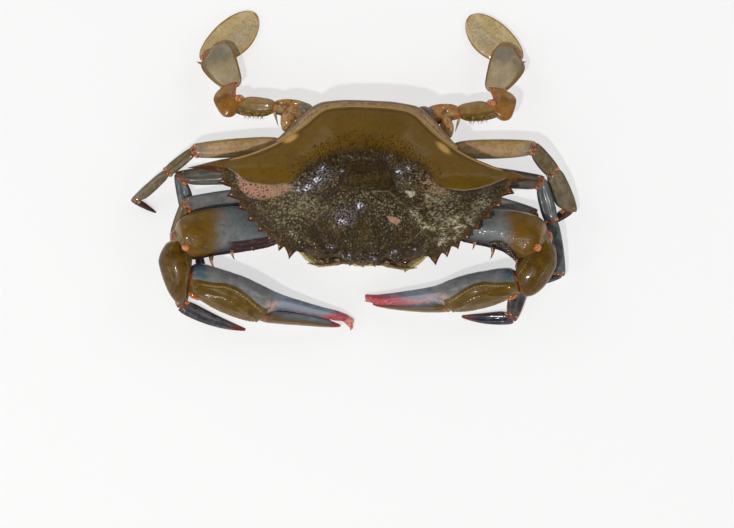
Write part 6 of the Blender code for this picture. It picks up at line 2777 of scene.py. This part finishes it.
FEELER_LOOK = Finish(
    "feeler_brown", (0.17, 0.1, 0.045),
    (lay(0.7, (0.32, 0.22, 0.11), Cloud(1.0, 0.45, 0.6)), lay(0.6, (0.07, 0.04, 0.02), Dots(0.8, 0.4))),
    roughness=0.35, wet=0.6, film_size=1.0, grain_size=0.3, grain_depth=0.02,
)
ROOT_LOOK = Finish(
    "leg_root", (0.12, 0.108, 0.08),
    (
        lay(0.7, (0.1, 0.11, 0.105), Cloud(2.6)),
        lay(0.7, (0.26, 0.15, 0.06), Cloud(1.4, 0.46, 0.6)),
        lay(0.6, (0.1, 0.05, 0.02), Cloud(0.9, 0.55, 0.68)),
    ),
    roughness=0.34, wet=0.6, film_size=1.6, grain_size=0.4, grain_depth=0.04,
)
WEDGE_LOOK = Finish(
    "swimmer_wedge", (0.36, 0.215, 0.085),
    (
        lay(0.8, (0.42, 0.15, 0.035), Cloud(1.8, 0.42, 0.58)),
        lay(0.6, (0.46, 0.34, 0.18), Cloud(1.3, 0.5, 0.65)),
        lay(0.85, (0.075, 0.028, 0.01), Cloud(0.75, 0.52, 0.62)),
    ),
    roughness=0.3, wet=0.75, film_size=1.2, grain_size=0.35, grain_depth=0.05,
)


def copy_of(node: str) -> Piece:
    """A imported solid's own mesh as a new object in the crab's millimetres, merged and in quads.

    Args:
        node: The solid's name.

    Returns:
        The copy.
    """
    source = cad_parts[node]
    piece = bpy.data.objects.new(node, source.data.copy())
    bpy.context.scene.collection.objects.link(piece)
    set_raw_points(piece, (raw_points(piece) - np.array(MIDLINE)) / MM)
    edit_all(piece)
    bpy.ops.mesh.remove_doubles(threshold=0.01)
    bpy.ops.mesh.tris_convert_to_quads()
    bpy.ops.mesh.normals_make_consistent(inside=False)
    leave_edit_mode()
    if piece.data.has_custom_normals:
        bpy.ops.object.select_all(action="DESELECT")
        pick(piece)
        bpy.ops.mesh.customdata_custom_splitnormals_clear()
    return piece


@dataclass
class Face:
    """The block under the orbits: mouth frame, lower eye margins, central spine and bristles."""

    front_places: tuple[float, ...] = (0.0, 5.0, 6.3, 10.0, 15.0, 19.0, 22.6)
    front_edge: tuple[float, ...] = (-32.3, -31.4, -31.4, -31.8, -33.4, -31.0, -27.6)
    orbit_bristles: int = 150
    brow_bristles: int = 170
    spine: tuple[Point, Point] = ((0.25, -29.2, 17.4), (0.3, -32.2, 16.2))
    lower_teeth: tuple[tuple[Point, Point], ...] = (
        ((14.3, -30.4, 12.9), (14.8, -33.3, 13.2)), ((-13.6, -30.2, 12.9), (-14.6, -32.6, 13.2)),
        ((8.6, -29.6, 14.0), (8.2, -31.6, 14.2)), ((-8.6, -29.4, 14.0), (-8.4, -31.4, 14.2)),
    )

    def build(self) -> None:
        """Models the face."""
        piece = copy_of("face")
        subdivide(piece, 4)
        points = raw_points(piece)
        x, y, z = points.T
        edge = np.interp(np.abs(x), self.front_places, self.front_edge)
        inward = y - edge
        lobes = 0.5 * blotches(x, y, 2.2, 3.0) + 0.35 * granules(x, y, 1.1, 4.0)
        rise = (lobes - 0.35) * smoothstep(0.1, 1.5, inward + 0.6)
        side = np.abs(x)
        rise += 0.5 * bell((inward - 1.6) / 0.6) * smoothstep(10.0, 13.0, side)
        rise -= 0.5 * bell((inward - 3.2) / 0.9) * smoothstep(8.0, 11.0, side)
        points = points + normals(piece) * rise[:, None]
        set_raw_points(piece, points)
        top = smoothstep(11.8, 12.8, z)
        cream = (
            smoothstep(10.2, 13.4, side) * smoothstep(23.5, 22.0, side) * smoothstep(3.4, 2.4, inward) * top
        )
        cream = np.maximum(
            cream,
            0.9 * smoothstep(1.1, 0.6, inward) * smoothstep(4.4, 3.0, side) * smoothstep(14.0, 15.5, z),
        )
        pale = smoothstep(0.9, 0.3, inward) * smoothstep(9.0, 12.0, side) * top
        below = smoothstep(11.4, 10.2, z)
        write_vectors(piece, TINT, np.stack([0 * x, cream, 0 * x], 1))
        write_vectors(piece, ZONE, np.stack([0 * x, below, pale], 1))
        settle(piece)
        finish(piece, "face_shell", FACE_LOOK, Slot.CREAM, "face")
        self._spines()
        self._bristles()

    def _spines(self) -> None:
        """The spine under the forehead and the teeth below the orbits."""
        made = [thorn(Vector(self.spine[0]), Vector(self.spine[1]), 0.95)]
        finish(join(made), "forehead_spine", DARK_THORN, Slot.SPINE)
        teeth = [thorn(Vector(a), Vector(b), 1.25) for a, b in self.lower_teeth]
        finish(join(teeth), "lower_eye_teeth", FEELER_LOOK, Slot.CREAM)

    def _bristles(self) -> None:
        """The short hair that fringes the orbits and the mouth."""
        rng = np.random.default_rng(17)
        roots, tips = [], []
        for sign in (1.0, -1.0):
            for _ in range(self.orbit_bristles):
                x = rng.uniform(4.0, 13.5) if rng.random() < 0.7 else rng.uniform(13.5, 21.0)
                y = np.interp(x, self.front_places, self.front_edge) + rng.uniform(1.6, 3.6)
                z = rng.uniform(12.6, 14.2)
                lean = rng.normal(0.0, 0.5, 2)
                roots.append((sign * x, y, z))
                tips.append((sign * (x + lean[0]), y - 0.9 + 0.5 * lean[1], z + rng.uniform(0.7, 1.6)))
            for _ in range(self.brow_bristles):
                x = rng.uniform(0.5, 23.5)
                y = np.interp(x, *zip(*BackShell.front_margin)) + rng.uniform(0.3, 0.9)
                z = 18.6 - 0.02 * x
                lean = rng.normal(0.0, 0.4)
                roots.append((sign * x, y, z))
                tips.append((sign * (x + lean), y - rng.uniform(0.5, 1.3), z + rng.uniform(-0.6, 0.4)))
        tuft("orbit_bristles", roots, tips)


@dataclass
class Eyes:
    """Both eyes with their stalks, and the feelers beside them."""

    eye: tuple[Point, Point] = ((10.6, -26.6, 14.9), (20.6, -26.2, 15.0))
    feeler: tuple[Point, Point] = ((7.4, -30.4, 14.3), (18.8, -31.4, 14.3))
    small: tuple[Point, Point] = ((2.6, -29.6, 14.6), (4.6, -31.6, 15.6))
    eye_rows: tuple[Station, ...] = (
        (0.0, 0.9, 0.9, 0.9), (0.3, 1.2, 1.2, 1.2), (0.55, 1.25, 1.25, 1.25), (0.68, 1.8, 1.8, 1.7),
        (0.86, 1.95, 1.95, 1.8), (0.96, 1.4, 1.4, 1.3), (1.0, 0.7, 0.7, 0.7),
    )
    whip_rows: tuple[Station, ...] = (
        (0.0, 0.95, 0.95, 0.75), (0.12, 1.0, 1.0, 0.8), (0.2, 0.62, 0.62, 0.55), (0.28, 0.5, 0.5, 0.45),
        (0.6, 0.34, 0.34, 0.34), (1.0, 0.16, 0.16, 0.16),
    )
    small_rows: tuple[Station, ...] = (
        (0.0, 0.7, 0.7, 0.6), (0.4, 0.6, 0.6, 0.55), (0.55, 0.35, 0.35, 0.35), (1.0, 0.15, 0.15, 0.15),
    )

    def build(self) -> None:
        """Models eyes and feelers."""
        rings = tuple(
            Crest(a, 0.09, 0.3, 0.25, 0.95, beads=1.0, spacing=0.5)
            for a in (0.0, 90.0, 180.0, -90.0)
        )
        ringed, plain = Skin(crests=rings, levels=2, unevenness=0.0), Skin(levels=3, unevenness=0.03)
        for side in Side:
            for label, ends, rows, look, slot, skin, bow, node in (
                ("eye", self.eye, self.eye_rows, EYE_LOOK, Slot.EYE, plain, 0.0, ("eye",)),
                (
                    "feeler", self.feeler, self.whip_rows, FEELER_LOOK, Slot.FEELER, ringed, 1.0,
                    ("antenna",),
                ),
                ("small_feeler", self.small, self.small_rows, FEELER_LOOK, Slot.FEELER, ringed, 0.3, ()),
            ):
                start, end = ((side.sign * x, y, z) for x, y, z in ends)
                LimbPiece(
                    f"{label}_{side.value}_shell", start, end, rows, FORWARD, look, slot, skin, bow=bow,
                    stands_for=tuple((f"{part}_{side.value}" for part in node)),
                ).build()


@dataclass
class Underside:
    """The breastplate with its grooves, the folded tail plate and the jaw legs."""

    plate_grooves: tuple[float, ...] = (-11.0, -5.5, 0.0, 5.5, 11.0)
    wall_grooves: tuple[float, ...] = (4.5, 9.0, 13.0, 17.0)
    tail_widths: tuple[float, ...] = (14.6, 15.6, 15.8, 14.8, 14.2, 13.8, 13.6, 11.4, 6.6, 2.8, 0.9)
    tail_path: tuple[tuple[float, float], ...] = (
        (19.4, 16.3), (22.0, 16.1), (23.4, 14.4), (23.7, 9.5), (22.2, 4.4), (18.6, 1.4), (10.0, 0.95),
        (2.0, 0.95), (-5.0, 0.95), (-8.0, 0.95), (-12.0, 0.95),
    )
    tail_joints: tuple[float, ...] = (2.3, 3.2, 4.2, 5.35, 6.6, 7.9)
    fringe_bristles: int = 420
    jaw_bristles: int = 110
    jaw_leg: tuple[Point, Point] = ((4.7, -18.6, 3.5), (4.3, -30.4, 9.6))
    jaw_rows: tuple[Station, ...] = (
        (0.0, 2.4, 2.4, 0.7), (0.2, 3.6, 3.6, 0.85), (0.6, 3.9, 3.9, 0.85), (1.0, 2.6, 2.6, 0.7),
    )
    jaw_finger: tuple[Point, Point] = ((6.6, -29.4, 9.4), (2.2, -30.8, 8.8))
    finger_rows: tuple[Station, ...] = ((0.0, 1.0, 1.0, 0.8), (0.5, 0.9, 0.9, 0.7), (1.0, 0.4, 0.4, 0.35))

    def build(self) -> None:
        """Models the underside."""
        self._plate()
        self._tail()
        self._fringe()
        self._jaws()
        self._jaw_hair()

    def _plate(self) -> None:
        """The breastplate and side walls."""
        piece = copy_of("thorax")
        subdivide(piece, 4)
        points = raw_points(piece)
        x, y, z = points.T
        low = smoothstep(7.5, 4.0, z)
        groove = np.zeros(x.shape)
        for place in self.plate_grooves:
            line = y - place - 0.22 * (np.abs(x) - 8.0) * np.sign(place + 2.0)
            groove = np.maximum(groove, bell(line / 0.45) * smoothstep(6.0, 9.0, np.abs(x)))
        groove = np.maximum(groove, 0.7 * bell(x / 0.5))
        wall = smoothstep(10.0, 17.0, y) * smoothstep(3.0, 5.5, z)
        ribs = np.zeros(x.shape)
        for place in self.wall_grooves:
            ribs = np.maximum(ribs, bell((np.abs(x) - place - 0.12 * (z - 10.0)) / 0.4) * wall)
        ribs = np.maximum(ribs, bell((z - 9.4 - 0.5 * waves(x, y, 6.0, 4.0)) / 0.35) * wall)
        rise = (
            -0.55 * groove * low + 0.16 * waves(x, y, 8.0, 1.0) + 0.1 * granules(x, y + z, 1.2, 5.0)
            - 0.6 * ribs
        )
        depth = np.clip((17.0 - z) / 13.0, 0.0, 1.0)**1.3
        drawn = 3.4 * depth + 3.4 * smoothstep(9.0, 20.0, np.abs(x))
        inwards = np.stack(
            [-0.14 * x * depth * smoothstep(4.0, 17.0, y), -drawn * smoothstep(9.0, 19.0, y), 0 * x], 1,
        )
        set_raw_points(piece, points + normals(piece) * rise[:, None] + inwards)
        write_vectors(piece, ZONE, np.stack([0 * x, np.maximum(groove * low, ribs), 0 * x], 1))
        warm = smoothstep(5.0, 8.5, z)
        write_vectors(piece, TINT, np.stack([warm, 0 * x, 0 * x], 1))
        settle(piece)
        finish(piece, "breast_plate", PLATE_LOOK, Slot.CREAM, "thorax")

    def _tail(self) -> None:
        """The tail plate with its segments and its fringe."""
        piece = copy_of("abdomen")
        subdivide(piece, 4)
        points = raw_points(piece)
        x, y, z = points.T
        _, run = path_distance(y, z, self.tail_path)
        place = run * (len(self.tail_path) - 1)
        groove = np.zeros(x.shape)
        for joint in self.tail_joints:
            groove = np.maximum(groove, bell((place - joint - 0.004 * x * x / 10.0) / 0.07))
        side_lines = bell((np.abs(x) - 8.5) / 0.5) * smoothstep(7.0, 5.0, place)
        rise = -0.4 * groove - 0.22 * side_lines + 0.05 * waves(x, y + z, 7.0, 3.0)
        out = normals(piece)
        outer_face = smoothstep(
            0.0, 0.5, (out[:, 1] * (y - 14.0) + out[:, 2] * (z - 9.0)) / np.hypot(y - 14.0, z - 9.0),
        )
        share = np.abs(x) / np.interp(place, range(11), self.tail_widths)
        rise = rise - 1.5 * outer_face * smoothstep(0.5, 1.02, share)**1.3
        rise = np.where(z < 1.0, np.minimum(rise, 0.0), rise)
        moved = points + out * rise[:, None]
        moved[:, 1] -= self._curl(share, y, z)
        moved[:, 0] *= 1.0 - 0.13 * smoothstep(15.0, 4.0, z)
        moved[:, 2] = np.maximum(moved[:, 2], 0.0)
        set_raw_points(piece, moved)
        top = smoothstep(3.2, 2.2, place)
        write_vectors(piece, ZONE, np.stack([0 * x, groove, 0 * x], 1))
        write_vectors(piece, TINT, np.stack([top, smoothstep(0.6, 0.3, np.abs(y - 23.2)) * top, 0 * x], 1))
        write_vectors(piece, GRAIN, np.stack([0 * x, smoothstep(24.0, 24.5, y) * top, 0 * x], 1))
        settle(piece)
        finish(piece, "tail_plate", APRON_LOOK, Slot.CREAM, "abdomen")

    def _fringe(self) -> None:
        """The short hair along both sides of the tail plate."""
        rng = np.random.default_rng(5)
        roots, tips = [], []
        for _ in range(self.fringe_bristles):
            spot = rng.uniform(4.4, 9.6)
            y0, z0 = (np.interp(spot, range(11), [p[c] for p in self.tail_path]) for c in (0, 1))
            half = np.interp(spot, range(11), self.tail_widths)
            sign = rng.choice((-1.0, 1.0))
            y0 -= self._curl(0.97, y0, z0)
            half *= 1.0 - 0.13 * smoothstep(15.0, 4.0, z0)
            roots.append((sign * (half - 0.4), y0, z0 + 0.1))
            reach = rng.uniform(0.5, 1.3) * (0.4 if y0 > 13.0 else 1.0)
            tips.append((
                sign * (half + reach), y0 - rng.uniform(0.0, 0.8), max(0.15, z0 + rng.uniform(-0.3, 0.5)),
            ))
        tuft("tail_fringe", roots, tips)

    @staticmethod
    def _curl(share: Array | float, y: Array, z: Array) -> Array:
        """How far the tail plate's rear wall bends forwards towards its sides."""
        return 3.6 * smoothstep(0.5, 1.05, share)**1.5 * smoothstep(1.0, 5.0, z) * smoothstep(12.0, 16.0, y)

    def _jaws(self) -> None:
        """The jaw legs that close the mouth."""
        crests = (
            Crest(-60.0, 0.3, 0.6, 0.05, 0.95),
            Crest(-90.0, -0.35, 0.8, 0.05, 0.95),
            Crest(-120.0, 0.25, 0.6, 0.05, 0.6),
        )
        skin = Skin(crests=crests, knobs=(Knob(0.6, -90.0, -0.3, 1.6),), grain=0.03, levels=3)
        for side in Side:
            sign, tag = side.sign, side.value
            (x0, *start), (x1, *end) = self.jaw_leg
            LimbPiece(
                f"jaw_leg_{tag}_shell", (sign * x0, *start), (sign * x1, *end), self.jaw_rows,
                (sign, 0.0, 0.0), PLATE_LOOK, Slot.CREAM, skin, stands_for=(f"maxilliped_{tag}",),
            ).build()
            (x0, *start), (x1, *end) = self.jaw_finger
            LimbPiece(
                f"jaw_finger_{tag}", (sign * x0, *start), (sign * x1, *end), self.finger_rows, FORWARD,
                PLATE_LOOK, Slot.CREAM, Skin(levels=2),
            ).build()

    def _jaw_hair(self) -> None:
        """The hair along the inner edges of the jaw legs."""
        rng = np.random.default_rng(9)
        roots, tips = [], []
        for sign in (side.sign for side in Side):
            start, end = (np.array((sign * x, y, z)) for x, y, z in self.jaw_leg)
            for _ in range(self.jaw_bristles):
                root = start + (end - start) * rng.uniform(0.05, 1.0) + (-sign * 3.2, 0.0, -0.2)
                lean = (-sign * rng.uniform(0.4, 1.1), -rng.uniform(0.2, 0.9), -rng.uniform(0.1, 0.7))
                roots.append(root)
                tips.append(root + lean)
        tuft("jaw_bristles", roots, tips)


@dataclass
class RearRim:
    """The pale rim that shows behind the shell, and the roots of the swimming legs beside it."""

    path: tuple[Spot, ...] = (
        (31.0, 9.6), (26.0, 12.9), (22.3, 15.9), (18.8, 19.0), (15.5, 21.5), (12.0, 22.6), (8.0, 23.1),
        (0.0, 23.3), (-8.0, 23.1), (-12.0, 22.6), (-15.5, 21.5), (-18.8, 19.0), (-22.3, 15.9),
        (-26.0, 12.9), (-31.0, 9.6),
    )
    cells: tuple[int, int] = (220, 28)
    edge_height: float = 20.0
    edge_fall: float = 2.0 / 61.7
    places: tuple[float, ...] = (0.0, 12.0, 17.0, 22.0, 27.0, 31.0)
    reach: tuple[float, ...] = (1.35, 1.5, 2.3, 2.3, 1.2, 0.2)
    section: tuple[Spot, ...] = (
        (-0.6, -0.7), (0.05, -0.55), (0.45, -0.75), (0.8, -1.25), (1.0, -2.0), (0.9, -3.0), (0.3, -4.0),
        (-0.9, -5.0),
    )
    root_knobs: tuple[tuple[Point, Point], ...] = (
        ((19.4, 21.6, 11.8), (3.2, 2.0, 2.4)), ((-21.6, 21.2, 11.8), (3.2, 2.0, 2.4)),
    )
    wedges: tuple[tuple[Point, Point], ...] = (
        ((27.0, 17.6, 11.2), (2.5, 4.6, 2.6)), ((-27.4, 18.4, 11.2), (2.6, 5.2, 2.6)),
    )
    spurs: tuple[tuple[Point, Point], ...] = (
        ((-32.2, 20.0, 12.0), (-30.6, 14.9, 12.0)), ((31.2, 20.2, 12.0), (29.9, 15.4, 12.0)),
    )

    def build(self) -> None:
        """Models the rim and the roots."""
        self._rim()
        roots = [ball(Vector(c), r, Vector((0.3, 1.0, 0.2)), 0.05) for c, r in self.root_knobs]
        finish(join(roots), "swimmer_roots", ROOT_LOOK, Slot.LEG)
        wedges = [
            ball(Vector(c), (r[0], r[2], r[1]), Vector((0.15 * (1 if c[0] < 0 else -1), 1.0, 0.0)), 0.2)
            for c, r in self.wedges
        ]
        finish(join(wedges), "swimmer_wedges", WEDGE_LOOK, Slot.JOINT)
        spurs = [thorn(Vector(a), Vector(b), 0.62) for a, b in self.spurs]
        finish(join(spurs), "swimmer_spurs", RIM_LOOK, Slot.SWIMMER)

    def _line(self) -> tuple[Array, Array, Array]:
        """Rounds the path of the rim.

        Returns:
            Shares of its length, its points there and its outward directions.
        """
        path = np.array(self.path)
        steps = np.hypot(*np.diff(path, axis=0).T)
        run = np.concatenate([[0.0], np.cumsum(steps)]) / steps.sum()
        fine = np.linspace(0, 1, 400)
        line = np.stack([np.interp(fine, run, path[:, c]) for c in (0, 1)], 1)
        padded = np.vstack([np.repeat(line[:1], 14, 0), line, np.repeat(line[-1:], 14, 0)])
        line = np.stack([smoothed(padded[:, c], 14, 6.0) for c in (0, 1)], 1)
        way = np.gradient(line, axis=0)
        way /= np.hypot(*way.T)[:, None]
        return fine, line, np.stack([way[:, 1], -way[:, 0]], 1)

    def _rim(self) -> None:
        """The rim itself: a folded strip with a thickness."""
        leave_edit_mode()
        bpy.ops.mesh.primitive_grid_add(
            x_subdivisions=self.cells[0], y_subdivisions=self.cells[1], size=2.0,
        )
        piece = bpy.context.object
        u, v = (raw_points(piece)[:, :2] * 0.5 + 0.5).T
        fine, line, out = self._line()
        x0, y0, ox, oy = (np.interp(u, fine, values) for values in (*line.T, *out.T))
        shares = np.linspace(0, 1, len(self.section))
        offset, drop = (np.interp(v, shares, [p[c] for p in self.section]) for c in (0, 1))
        far = np.abs(x0)
        reach = np.interp(far, self.places, self.reach)
        x, y = x0 + ox * offset * reach, y0 + oy * offset * reach
        drop = np.where(drop < -2.0, -2.0 + (drop + 2.0) * (1 - 0.7 * smoothstep(16.0, 28.0, far)), drop)
        drop = -0.6 + (drop + 0.6) * smoothstep(31.5, 21.0, far)
        edge = self.edge_height - self.edge_fall * far
        z = edge + drop + 0.12 * waves(x, y, 3.0, 2.0) - 0.25 * bell((v - 0.36) / 0.05)
        set_raw_points(piece, np.stack([x, y, z], 1))
        write_vectors(piece, LAY, np.stack([v * 1.6, u, v], 1))
        apply_modifier(piece, "SOLIDIFY", thickness=0.8, offset=0.0)
        settle(piece)
        face_outwards(piece)
        finish(piece, "rear_rim", RIM_LOOK, Slot.CREAM)


# ---------------------------------------------------------------- the studio


@dataclass
class Studio:
    """The pale floor, the soft lights and the camera that looks straight down."""

    look_at: Point = (1.6, -30.8, 12.0)
    camera_height: float = 1500.0
    view_width: float = 251.5
    sensor_width: float = 36.0
    turn: float = 2.3
    floor_size: float = 6.0
    surround: float = 0.85
    top_shade: Colour = (0.05, 0.05, 0.055)
    floor_colour: float = 0.33
    floor_glow: float = 0.61
    lights: tuple[tuple[str, Point, float, float, Colour], ...] = (
        ("key", (-300.0, -400.0, 1150.0), 75.0, 7.8, (1.0, 0.985, 0.96)),
        ("front_left_low", (-900.0, -560.0, 640.0), 480.0, 1.95, (0.98, 0.99, 1.0)),
        ("front_right_low", (900.0, -560.0, 640.0), 480.0, 2.1, (0.98, 0.99, 1.0)),
        ("rear_left_low", (-800.0, 760.0, 640.0), 480.0, 1.95, (1.0, 0.99, 0.98)),
        ("rear_right_low", (800.0, 760.0, 640.0), 480.0, 2.1, (1.0, 0.99, 0.98)),
    )

    def build(self) -> None:
        """Sets the stage."""
        scene = bpy.context.scene
        scene.view_settings.view_transform = "Standard"
        self._floor()
        self._sky()
        for name, where, size, power, colour in self.lights:
            self._light(name, where, size, power, colour)
        self._camera()

    def _floor(self) -> None:
        """The plain floor under the animal."""
        leave_edit_mode()
        bpy.ops.mesh.primitive_plane_add(size=self.floor_size, location=(0.0, 0.0, 0.0))
        floor = bpy.context.object
        floor.name = "floor"
        paper = bpy.data.materials.new("pale_floor")
        paper.use_nodes = True
        shader = paper.node_tree.nodes["Principled BSDF"]
        for name, value in (
            ("Base Color", (*[self.floor_colour] * 3, 1.0)), ("Emission Color", (1.0, 1.0, 1.0, 1.0)),
            ("Emission Strength", self.floor_glow), ("Roughness", 0.9), ("Specular IOR Level", 0.1),
        ):
            shader.inputs[name].default_value = value
        floor.data.materials.append(paper)

    def _sky(self) -> None:
        """An even pale surround."""
        world = bpy.data.worlds.new("surround")
        world.use_nodes = True
        w = Wiring(world.node_tree)
        height = w.add(
            "ShaderNodeSeparateXYZ", {0: w.add("ShaderNodeTexCoord").outputs["Generated"]},
        ).outputs[2]
        colour = w.mix(w.step(height, 0.4, 0.72), (1.0, 1.0, 1.0, 1.0), (*self.top_shade, 1.0))
        w.tree.links.new(colour, world.node_tree.nodes["Background"].inputs["Color"])
        world.node_tree.nodes["Background"].inputs["Strength"].default_value = self.surround
        bpy.context.scene.world = world

    def _light(self, name: str, where: Point, size: float, power: float, colour: Colour) -> None:
        """One soft round light that faces the animal.

        Args:
            name: Its name.
            where: Its place in millimetres.
            size: Its width in millimetres.
            power: Its power in watts.
            colour: Its tint.
        """
        data = bpy.data.lights.new(name, "AREA")
        data.shape = "DISK"
        data.size = size * MM
        data.energy = power
        data.color = colour
        light = bpy.data.objects.new(name, data)
        bpy.context.scene.collection.objects.link(light)
        light.location = Vector(where) * MM
        light.rotation_euler = (-Vector(where)).to_track_quat("-Z", "Y").to_euler()

    def _camera(self) -> None:
        """The camera, upright over the animal."""
        data = bpy.data.cameras.new("camera")
        data.sensor_width = self.sensor_width
        data.lens = self.sensor_width * (self.camera_height - self.look_at[2]) / self.view_width
        data.clip_start, data.clip_end = 0.05, 20.0
        camera = bpy.data.objects.new("camera", data)
        bpy.context.scene.collection.objects.link(camera)
        camera.location = Vector((self.look_at[0], self.look_at[1], self.camera_height)) * MM + MIDLINE
        camera.rotation_euler = (0.0, 0.0, math.radians(self.turn))
        bpy.context.scene.camera = camera


LEFT, RIGHT = Side.LEFT, Side.RIGHT
CLAWS = (
    Claw(
        LEFT,
        (
            (19.2, -12.8, 7.2), (30.5, -16.0, 9.0), (62.6, -19.8, 12.4), (53.8, -34.4, 11.0),
            (1.3, -42.0, 1.4),
        ),
        0.92, (0.9, 1.3), ((0.246, 7.6), (0.45, 9.8), (0.72, 11.4)), 0.955,
        (4.6, 5.4, 5.8, 6.0, 8.2, 9.0, 8.6, 7.2, 4.4), narrowed(ARM_LOOK, "claw_arm_left", 0.74),
        reddened(PALM_LOOK, "claw_palm_left", 0.66, 0.84), (7.3, 3.2), finger_bow=0.3, hook=(1.2, 1.0, 0.3),
        hook_radius=1.2, palm_rows=CLAW_PALM_CLOSED, set_down=0.8, crescent=15,
    ),
    Claw(
        RIGHT,
        (
            (-19.2, -12.8, 7.2), (-30.5, -16.6, 9.0), (-64.0, -25.0, 12.8), (-59.3, -37.7, 11.0),
            (-1.8, -49.4, 1.4),
        ),
        1.05, (-0.6, 2.6), ((0.27, 9.6), (0.475, 11.0), (0.69, 12.4)), 0.93,
        (8.8, 9.2, 9.0, 8.5, 8.2, 8.2, 8.2, 7.2, 4.4), set_out=(6.95, 3.8), wrist_cut=1.1,
    ),
)
BLUE_SET = (THIGH_LIT, KNEE_OLIVE, SHIN_DARK, TOE_BLUE)
BROWN_SET = (THIGH_BLUE, KNEE_OLIVE, SHIN_DARK, TOE_BROWN)
SLATE_SET = (THIGH_GREY, SHIN_BLUE, SHIN_BLUE, TOE_BLUE)
TAN_SET = (THIGH_TAN, KNEE_OLIVE, SHIN_OLIVE, TOE_DARK)
LEGS = (
    WalkingLeg(
        2, LEFT,
        (
            (21.4, -6.6, 5.2), (30.0, -6.0, 4.2), (57.8, -12.0, 4.0), (58.6, -23.0, 3.9),
            (51.8, -47.2, 2.8), (35.0, -47.6, 0.2),
        ),
        BLUE_SET, (1.1, 1.0, 1.05, 1.3), 0.6,
    ),
    WalkingLeg(
        2, RIGHT,
        (
            (-21.4, -6.6, 5.6), (-30.0, -8.2, 4.4), (-61.3, -13.4, 7.5), (-64.3, -24.0, 4.4),
            (-61.3, -47.6, 2.3), (-39.4, -55.2, 0.2),
        ),
        BROWN_SET, (1.14, 1.0, 1.0, 1.4), 1.1,
    ),
    WalkingLeg(
        3, LEFT,
        (
            (22.0, 0.4, 8.0), (30.2, 2.0, 8.6), (60.2, -0.6, 8.2), (64.4, -13.6, 6.4), (67.6, -31.6, 3.2),
            (56.8, -36.6, 0.2),
        ),
        SLATE_SET,
    ),
    WalkingLeg(
        3, RIGHT,
        (
            (-22.0, 0.4, 8.0), (-30.2, 0.0, 8.4), (-63.6, -3.9, 4.5), (-60.3, -17.0, 2.0),
            (-56.4, -30.6, 2.2), (-53.2, -43.4, 0.2),
        ),
        SLATE_SET,
    ),
    WalkingLeg(
        4, LEFT,
        (
            (20.8, 7.2, 8.6), (30.0, 9.6, 9.4), (57.2, 11.2, 8.2), (64.4, 3.2, 6.2), (70.2, -9.6, 3.0),
            (63.4, -14.8, 0.2),
        ),
        TAN_SET, (1.0, 1.08, 1.22, 1.0),
    ),
    WalkingLeg(
        4, RIGHT,
        (
            (-20.8, 7.2, 8.6), (-30.0, 8.9, 9.4), (-59.4, 5.6, 8.4), (-68.4, -2.0, 5.8),
            (-79.0, -12.2, 2.2), (-71.9, -16.0, 0.2),
        ),
        TAN_SET, (0.97, 0.76, 0.62, 0.66),
    ),
)
SWIMMERS = (
    SwimmingLeg(
        LEFT,
        ((16.4, 17.0, 9.6), (31.0, 22.4, 10.8), (42.6, 24.2, 8.6), (43.2, 31.0, 6.4), (46.6, 46.2, 5.2)),
        ((52.2, 41.8, 1.9), (33.0, 55.6, 0.6)),
    ),
    SwimmingLeg(
        RIGHT,
        (
            (-16.4, 17.0, 9.6), (-32.4, 21.6, 10.8), (-44.6, 22.1, 8.6), (-47.4, 29.0, 6.4),
            (-52.5, 42.9, 5.2),
        ),
        ((-58.5, 37.2, 1.9), (-39.9, 53.7, 0.6)),
    ),
)


def main() -> None:
    """Builds the sub-assemblies in order."""
    logging.basicConfig(level=logging.INFO, format="%(name)s %(message)s")
    Studio().build()
    BackShell().build()
    Face().build()
    Eyes().build()
    Underside().build()
    RearRim().build()
    for claw in CLAWS:
        claw.build()
    for leg in LEGS:
        leg.build()
    for swimmer in SWIMMERS:
        swimmer.build()


if __name__ == "__main__":
    main()
